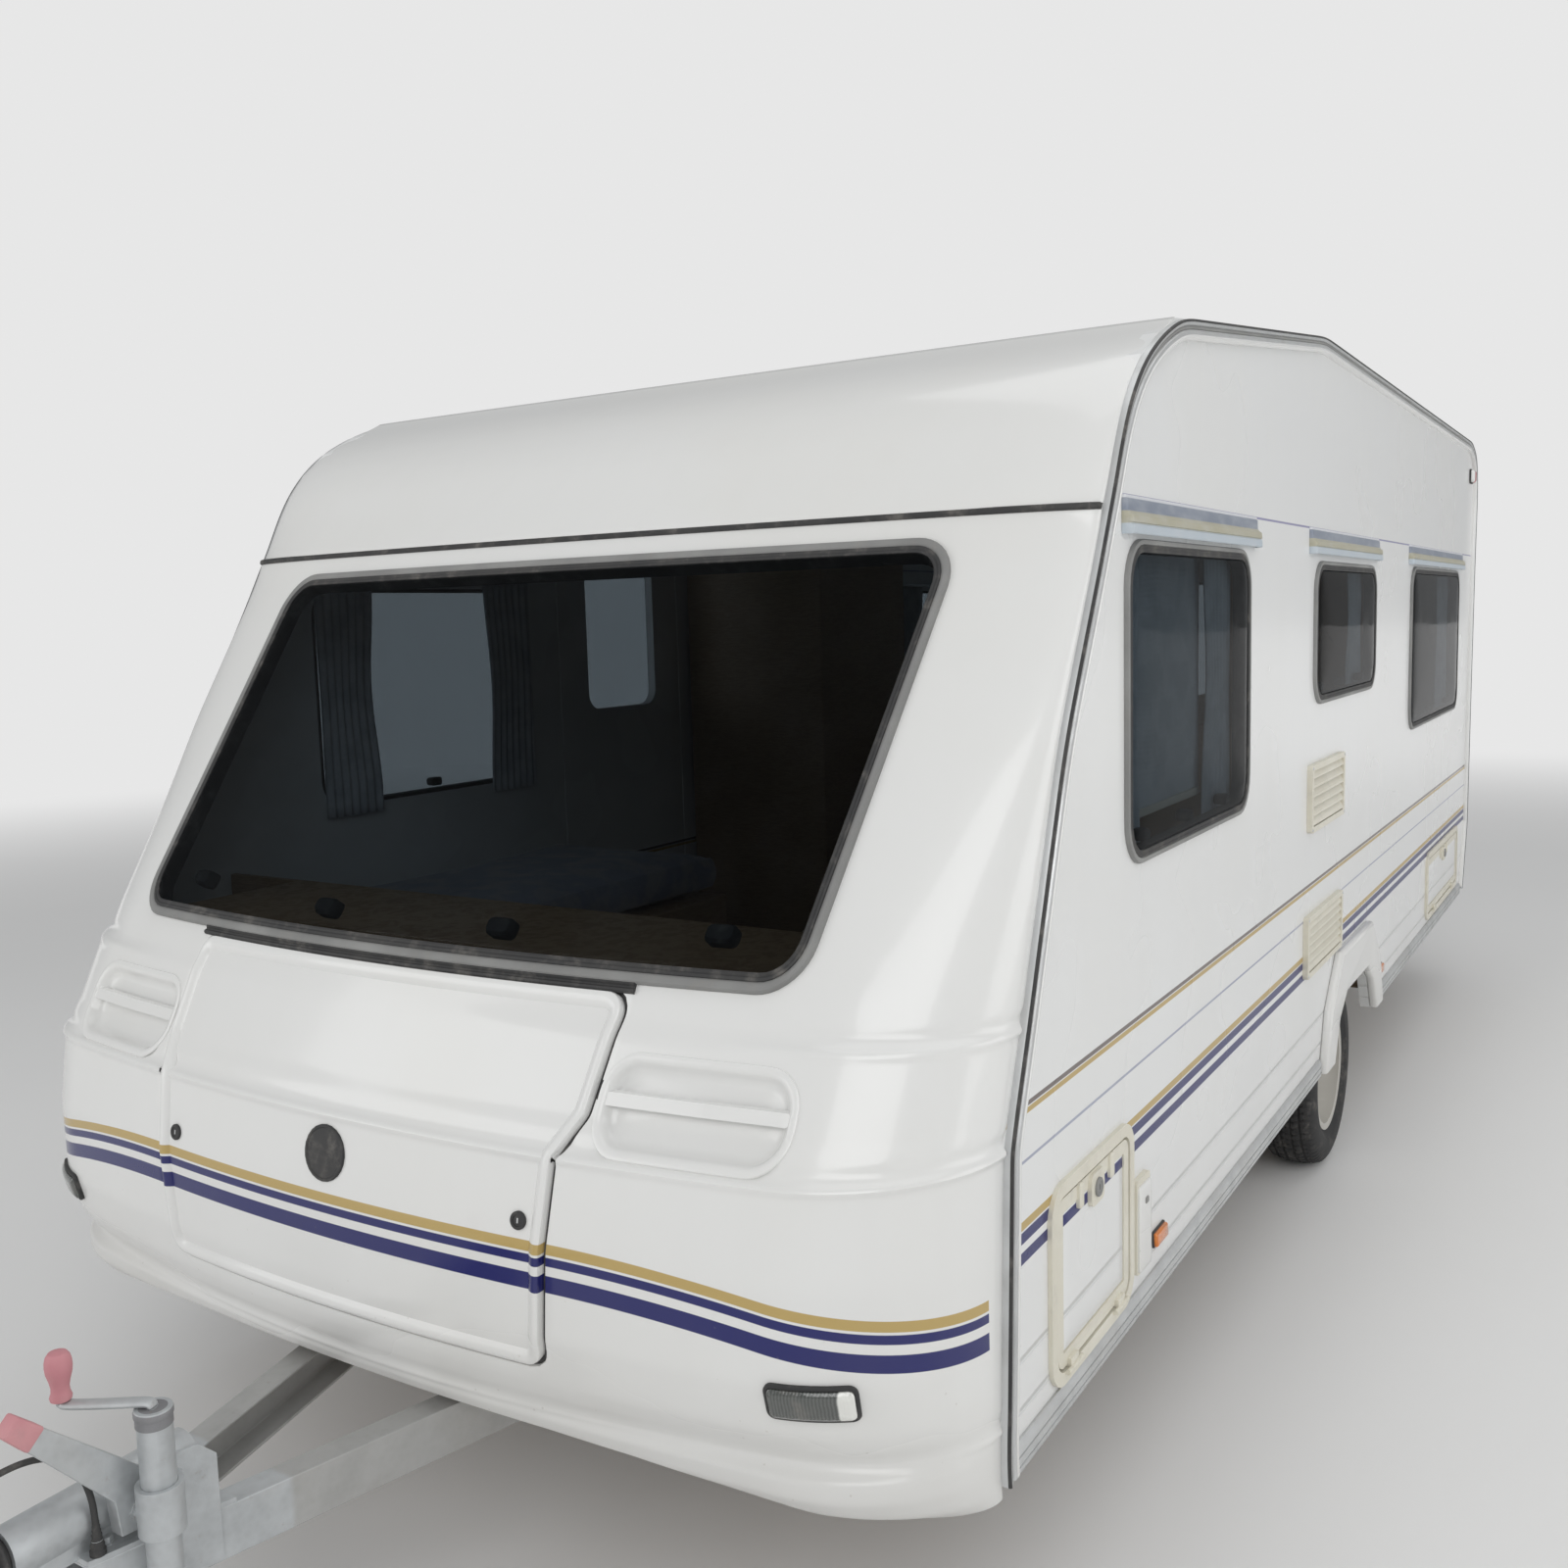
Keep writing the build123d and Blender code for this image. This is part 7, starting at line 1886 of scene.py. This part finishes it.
@dataclass
class Hitch:
    """Drawbar front: road lead, gaiter, jockey wheel fittings and lever."""

    jockey_x: float = 2.697
    jockey_y: float = 0.106
    jockey_top: float = 0.650
    unit_z: float = 0.492
    bellows: tuple[float, float] = (2.8653, 3.055)
    folds: int = 9
    neck: float = 0.0255
    crank_turn: float = math.radians(-58.0)
    crank_length: float = 0.125

    def lead(self) -> None:
        """Road lead as a smooth curve with its tapered relief and its plug."""
        data = bpy.data.curves.new("road_lead_line", "CURVE")
        data.dimensions = "3D"
        spline = data.splines.new("NURBS")
        spline.points.add(len(LEAD_POINTS) - 1)
        for point, place in zip(spline.points, LEAD_POINTS):
            point.co = (*place, 1.0)
        spline.order_u, spline.resolution_u, spline.use_endpoint_u = 3, 10, True
        data.bevel_depth, data.bevel_resolution, data.use_fill_caps = LEAD_R, 5, True
        data.materials.append(MATERIALS["gaiter_rubber"])
        line = tie(enlist("road_lead_line", data), "gaiter_rubber", "body", ("road_lead",))
        relief = turn("lead_relief", (2.757, 0.046, 0.4485),
                      mm(0, 0, 11, 0, 11, 7, 9.5, 9, 9.5, 15, 8.6, 16.5, 8, 21, 6.8, 24, 7, 29,
                         5.9, 31, 6.1, 35, 5.2, 37, 5.4, 41, 4.8, 43, 4.4, 48, 0, 48),
                      "gaiter_rubber", count=32)
        plug = turn("road_plug_dressed", tuple(LEAD_POINTS[-1]),
                    mm(0, 0, 5.5, 0, 6.6, 2, 6, 5, 7.4, 8, 6.8, 11, 8, 14, 8, 24, 12, 25.5,
                       18, 27.5, 19, 30, 19, 40, 18, 41, 19, 42, 19, 50, 18, 51, 19, 52, 19, 69,
                       21.5, 70.5, 22, 72, 22, 80, 21, 81.6, 17.5, 81.8, 17, 76, 0, 76),
                    "gaiter_rubber", axis=tuple(LEAD_POINTS[-1] - LEAD_POINTS[-2]),
                    nodes=("road_plug",), count=56)

    def gaiter(self) -> None:
        """Bellows of nine rounded folds, closed at each end at the neck's radius."""
        (start, end), neck = self.bellows, self.neck
        t = np.linspace(0, 1, self.folds * 14 + 1)
        radius = (0.035 + 0.0048 * np.cos(math.tau * self.folds * t + math.pi)
                  + 0.0007 * np.sin(math.tau * 4.3 * t))
        folded = np.stack([radius, start + (end - start) * t], -1)
        turn("overrun_bellows", (0.0, 0.0, self.unit_z),
             np.vstack([(neck, start), folded, (neck, end), (neck, start)]), "gaiter_rubber",
             axis=(1, 0, 0), nodes=("overrun_gaiter",), count=72)

    def jockey(self) -> None:
        """Rusty cap rim, crank arm as a bent bar, waisted club grip, lever cap and bolts."""
        x, y, top = self.jockey_x, self.jockey_y, self.jockey_top
        turn("jockey_cap", (x, y, top - 0.0062),
             mm(0, 6.2, 10, 6.4, 18, 6.4, 25.2, 5.2, 26.4, 3, 26.4, -3.5, 25.6, -6, 25.1, -6.2,
                25.1, -18, 24.6, -18.6, 23.6, -18.6, 23.6, 0), "cast_metal", count=64)
        way = np.array([math.cos(self.crank_turn), math.sin(self.crank_turn), 0.0])
        bends = mm(0, -18, 0, -6, 0, 2, 4, 6.2, 16, 7, 35, 6.6, 65, 6, 95, 6, 110, 6.2, 121, 7.2,
                   125, 10, 125, 14, 125, 20)
        path = (x, y, top) + bends[:, :1] * way + bends[:, 1:] * (0, 0, 1)
        dense = gaussian(np.stack([np.interp(np.linspace(0, 12, 61), np.arange(13), column)
                                   for column in path.T], -1), 1.6)
        ring = np.linspace(0, math.tau, 16, endpoint=False)
        run("crank_arm", dense, np.tile(0.25 * way + (0, 0, 1), (len(dense), 1)),
            np.stack([0.0105 * np.cos(ring), 0.0062 * np.sin(ring)], -1), "galvanised",
            nodes=("jockey_crank",))
        turn("crank_club", tuple((x, y, top) + self.crank_length * way),
             mm(0, 12.5, 10, 12.5, 14, 15, 14.8, 19, 12.5, 26, 12, 33, 14, 43, 17.2, 54, 18, 62,
                17.6, 70, 15.8, 77, 12.2, 82, 6, 83.8, 0, 84), "faded_grip",
             nodes=("crank_grip",))
        tip = Outline(mm(2853, 652.6, 2883.2, 688.1, 2861, 708.2, 2827.2, 676.3), 0.003)
        stack("lever_cap", SideSite(1, 0.0445), tip,
              mm(-4, 0, -1, 1, 0, 4, 0, 23, -1, 26, -4, 27), "faded_grip", count=60)
        bolts = [("lever_pivot", (2.705, 0.0702, self.unit_z), (0, 1, 0), 0.011)]
        for ending, sign in (("", 1), ("_right", -1)):
            bolts += [(f"unit_bolt_front{ending}", (2.735, sign * 0.030, 0.448), (0, 0, 1), 0.0085),
                      (f"unit_bolt_rear{ending}", (2.610, sign * 0.055, 0.448), (0, 0, 1), 0.0085)]
        for name, place, axis, size in bolts:
            profile = np.array([(0.0, -0.001), (size * 1.5, -0.001), (size * 1.5, 0.0016),
                                (size * 1.15, 0.0018), (size * 1.12, 0.0080), (size, 0.0092),
                                (0.0, 0.0094)])
            turn(name, place, profile, "galvanised", axis=axis, count=6)

    def build(self) -> None:
        """All of the hitch."""
        self.lead()
        self.gaiter()
        self.jockey()


@dataclass
class Rear:
    """Back of the caravan: skin, lamp clusters with bezels, and high markers on the walls."""

    inner_y: float = 0.650
    outer_y: float = 0.910
    bezel_z: tuple[float, float] = (0.595, 0.685)
    lens_z: tuple[float, float] = (0.6025, 0.6775)
    clusters: tuple = ((0.0075, 0.085, "lamp_red"), (0.0895, 0.165, "lamp_amber"),
                       (0.1695, 0.2525, "lamp_red"))
    high: tuple = ((0.149, 0.189, "lamp_red"), (0.191, 0.231, "white_gelcoat"))

    def lamps(self, side: Side) -> None:
        """Cluster of three lenses in its bezel, and the high marker, on one side.

        Args:
            side: Side of the caravan.
        """
        stack(f"tail_bezel_{side.word}", REAR,
              oblong(*side.span(self.inner_y, self.outer_y), *self.bezel_z, 0.018),
              mm(0, -6, 0, 12, -2, 15, -6, 15, -7.5, 12, -7.5, -6), "gaiter_rubber",
              nodes=("tail_lamps",) if side is Side.LEFT else (), ring=True)
        for index, (near, far, slot) in enumerate(self.clusters):
            lens = oblong(*side.span(self.outer_y - near, self.outer_y - far), *self.lens_z,
                          0.011)
            stack(f"tail_lens_{side.word}_{index}", REAR, lens,
                  mm(-6, -4, 0, -2, 0, 18, -2.5, 24, -8, 27.5, -18, 29), slot, count=80)
        site = SideSite(side.value)
        stack(f"high_marker_base_{side.word}", site,
              oblong(TAIL_X + 0.145, TAIL_X + 0.235, 2.205, 2.265, 0.012),
              mm(-4, 0, 0, 0.2, 0, 6, -2, 7.5), "gaiter_rubber", count=60)
        for index, (a, b, slot) in enumerate(self.high):
            stack(f"high_marker_lens_{side.word}_{index}", site,
                  oblong(TAIL_X + a, TAIL_X + b, 2.209, 2.261, 0.009),
                  mm(-4, 5, 0, 5.5, 0, 13, -3, 18, -8, 20.5), slot, count=60)

    def build(self) -> None:
        """Rear panel with its window opening, then the lamps of both sides."""
        skin("rear_panel_skin", REAR, crowded(141, 1.5),
             np.concatenate([np.arange(0.430, 2.3745, 0.018), [2.375, 2.385, 2.395, 2.405]]),
             ("rear_panel",), lambda y, z: -REAR_HOLE.distance(y, z), wall=0.027)
        for side in Side:
            self.lamps(side)


def swell(piece: bpy.types.Object, cap: float = 0.012, frames: int = 14) -> None:
    """Blow a closed pad up with cloth pressure and keep the form it takes.

    Each point keeps the direction of its simulated move, and its length up to the cap.

    Args:
        piece: Closed piece, a little smaller than the finished pad.
        cap: Longest move of a point.
        frames: Steps of the simulation.
    """
    scene = bpy.context.scene
    cloth = piece.modifiers.new("swell", "CLOTH")
    cloth.settings.quality = 4
    cloth.settings.use_pressure = True
    cloth.settings.uniform_pressure_force = 4.0
    cloth.settings.effector_weights.gravity = 0.0
    cloth.point_cache.frame_start, cloth.point_cache.frame_end = 1, frames
    for frame_number in range(1, frames + 1):
        scene.frame_set(frame_number)
    swollen = piece.evaluated_get(bpy.context.evaluated_depsgraph_get()).data
    start, after = (np.empty(len(data.vertices) * 3) for data in (piece.data, swollen))
    piece.data.vertices.foreach_get("co", start)
    swollen.vertices.foreach_get("co", after)
    piece.modifiers.remove(cloth)
    scene.frame_set(1)
    move = (after - start).reshape(-1, 3)
    length = np.linalg.norm(move, axis=1, keepdims=True)
    move *= np.minimum(1.0, cap / np.maximum(length, 1e-9))
    piece.data.vertices.foreach_set("co", start + move.ravel())
    piece.data.update()


@dataclass
class Inside:
    """Soft furnishings behind the glass: curtains on their tracks, a blind, bench cushions."""

    seats: tuple = (("front", 0.765, 1.775), ("rear", 4.055, 5.315))
    seat_y: float = 0.700
    seat_z: float = 1.0056
    seat_gap: float = 0.006
    seat_half: tuple[float, float] = (0.289, 0.0560)
    gathered: float = 0.24
    longest: float = 0.590
    overlap: float = 0.042
    fold_pitch: float = 0.026
    fold_depth: float = 0.0050
    blind_ends: tuple[float, float] = (-0.30, 0.52)
    curtain_top: float = 1.8255
    curtain_y: float = INNER_Y - 0.011
    track_y: float = INNER_Y - 0.0218
    track_z: float = 1.834
    blind_y: float = INNER_Y - 0.030
    roller_z: float = 1.860

    def sheet(self, name: str, points: Array, thickness: float, nodes: Nodes = ()
              ) -> bpy.types.Object:
        """Thin cloth over a grid of points.

        Args:
            name: Name of the piece.
            points: Grid of points.
            thickness: Thickness of the cloth.
            nodes: CAD nodes for which it stands.

        Returns:
            The new piece.
        """
        piece = raise_mesh(name, points.reshape(-1, 3), net(*points.shape[:2]), "curtain_cloth",
                           nodes=nodes)
        modify(piece, "SOLIDIFY", thickness=thickness, offset=0.0)
        return piece

    def curtain(self, window: SideWindow, end: int, nodes: Nodes) -> None:
        """Curtain drawn back to one end of a window.

        Along the curtain the depth is a sine with one wave per fold. Down the curtain its
        amplitude grows, its phase drifts a little, and the cloth gathers towards mid-height.

        Args:
            window: Window to which it belongs.
            end: Sign of the end along X.
            nodes: CAD nodes for which it stands.
        """
        width, top = self.gathered * window.length, self.curtain_top
        drop = min(self.longest, window.tall + self.overlap) - 0.002
        folds = max(3, round(width / self.fold_pitch))
        s, t = np.meshgrid(np.linspace(0, 1, folds * 12 + 1), np.linspace(0, 1, 22))
        seed = window.x * 3.1 + end
        phase = math.tau * folds * s + 0.9 * np.sin(2.2 * t + seed) * t + 0.5 * np.sin(5 * s + seed)
        depth = self.fold_depth * (0.62 + 0.38 * t) * np.sin(phase) + 0.0010 * np.sin(9 * t + 4 * s)
        squeeze = 1 - 0.10 * np.sin(math.pi * np.clip(t * 1.05, 0, 1)) ** 2
        points = np.stack([window.x + end * (window.length / 2 - width * squeeze * s),
                           window.side.value * (self.curtain_y + depth), top - drop * t], -1)
        piece = self.sheet(f"curtain_{window.name}_{'ab'[end > 0]}", points, 0.0009, nodes)

    def track(self, window: SideWindow) -> None:
        """Curtain track with a rounded face along the wall over a window.

        Args:
            window: Window to which it belongs.
        """
        stack(f"curtain_track_{window.name}", SideSite(window.side.value, self.track_y),
              block(window.x, self.track_z, window.length / 2 + 0.020, 0.0078, 0.003),
              mm(0, 21.5, 0, 1.5, -1.5, 0), "rail_aluminium", count=60)

    def blind(self, window: SideWindow) -> None:
        """Pale blind pulled down over most of a window, with its roller and bottom bar.

        Args:
            window: Window to which it belongs.
        """
        low, high = (window.x + share * window.length for share in self.blind_ends)
        toward = window.side.value
        base = toward * self.blind_y
        s, t = np.meshgrid(np.linspace(0, 1, 49), np.linspace(0, 1, 40))
        wave = 0.0018 * np.sin(7 * s + 1.2) * t + 0.0010 * np.sin(17 * s + 4 * t)
        piece = self.sheet("window_blind", np.stack(
            [low + (high - low) * s, base - toward * wave, 1.858 - BLIND_DROP * t], -1),
            0.0008)
        length = high - low + 0.020
        turn("blind_roller", (low - 0.01, base - toward * 0.012, self.roller_z),
             np.array([(0.0, 0.0), (0.0115, 0.0), (0.0122, 0.002), (0.0122, length - 0.002),
                       (0.0115, length), (0.0, length)]), "cream_plastic", axis=(1, 0, 0),
             count=24)
        bar = stack("blind_bar", SideSite(toward, self.blind_y - 0.006),
                    oblong(low, high, 1.304, 1.320, 0.004),
                    mm(-2, 0, 0, 1.5, 0, 9.5, -2, 11), "cream_plastic", count=60)

    def cushion(self, name: str, near: float, far: float, side: Side, nodes: Nodes) -> None:
        """Bench cushion: a soft slab whose sides pull in between its corners, then swollen.

        A point of a subdivided block moves inwards by the pull, which is greatest at the middle
        of a side, and its height shrinks towards the rim with the sixth power of its distance.

        Args:
            name: Name of the piece.
            near: Distance of its near end behind the nose.
            far: Distance of its far end behind the nose.
            side: Side of the caravan.
            nodes: CAD nodes for which it stands.
        """
        cells = (round((far - near) / 0.021), 26, 6)
        centre = np.array([NOSE_X - (near + far) / 2, side.value * self.seat_y, self.seat_z])
        half = np.array([(far - near) / 2 - self.seat_gap, *self.seat_half])
        parts, faces, count = [], [], 0
        for axis in range(3):
            a, b = [k for k in range(3) if k != axis]
            u, v = np.meshgrid(np.linspace(-1, 1, cells[a] + 1), np.linspace(-1, 1, cells[b] + 1))
            for sign in (-1, 1):
                part = np.zeros(u.shape + (3,))
                part[..., a], part[..., b], part[..., axis] = u, v, sign
                faces.append(net(*u.shape) + count)
                parts.append(part.reshape(-1, 3))
                count += u.size
        u, v, w = np.vstack(parts).T
        pull = 0.012 * np.stack([u * (1 - v * v), v * (1 - u * u), 0 * w], -1)
        rim = np.maximum(np.abs(u), np.abs(v)) ** 6
        shape = np.stack([u * (1 - 0.018 * w * w), v * (1 - 0.03 * w * w), w * (1 - 0.30 * rim)],
                         -1)
        piece = raise_mesh(name, centre + shape * half - pull, np.vstack(faces), "seat_fabric",
                           nodes=nodes, tidy=True)
        swell(piece)

    def build(self) -> None:
        """Curtains and tracks at all side windows, the blind and the four cushions."""
        nodes = ("curtains",)
        for window in LEFT_WINDOWS + RIGHT_WINDOWS:
            self.track(window)
            for end in (-1, 1):
                self.curtain(window, end, nodes)
                nodes = ()
        self.blind(LEFT_WINDOWS[0])
        nodes = ("cushions",)
        for place, near, far in self.seats:
            for side in Side:
                self.cushion(f"cushion_{place}_{side.word}", near, far, side, nodes)
                nodes = ()


STEADIES = tuple(f"steady_{part}_{place}_{side.word}" for part in ("leg", "strut")
                 for place in ("front", "rear") for side in Side)
SOFTENED = {
    0.0050: ("wheel_arch_trims",),
    0.0035: ("furniture", "jockey_roller"),
    0.0025: ("hatch_frames", "service_door_front", "service_door_rear", "rooflight_frame",
             "grab_handles"),
    0.0015: ("fridge_vents", "rooflight_lid", "jockey_clamp", "overrun_unit", "handbrake_lever",
             "drawbar_rails", "chassis_frame", "coupling_head", "axle", "trailing_arms",
             "jockey_fork", "jockey_leg", "jockey_tube", "steady_brackets", *STEADIES),
}


def main() -> None:
    """Build every sub-assembly in order."""
    logging.basicConfig(level=logging.INFO, format="%(message)s")
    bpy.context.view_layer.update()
    for slot, finish in FINISHES.items():
        MATERIALS[slot] = finish.make(slot)
    for node in frame["nodes"].values():
        slot = node.data.materials[0].name.split(".")[0]
        for index in range(len(node.data.materials)):
            node.data.materials[index] = MATERIALS[slot]
    for assembly in (Studio(), Shell(), Windows(), Rails(), FrontDetail(), Hatches(),
                     *map(Wheel, Side), Hitch(), Rear(), Inside()):
        assembly.build()
    for width, names in SOFTENED.items():
        for node in names:
            soften(node, width)


if __name__ == "__main__":
    main()
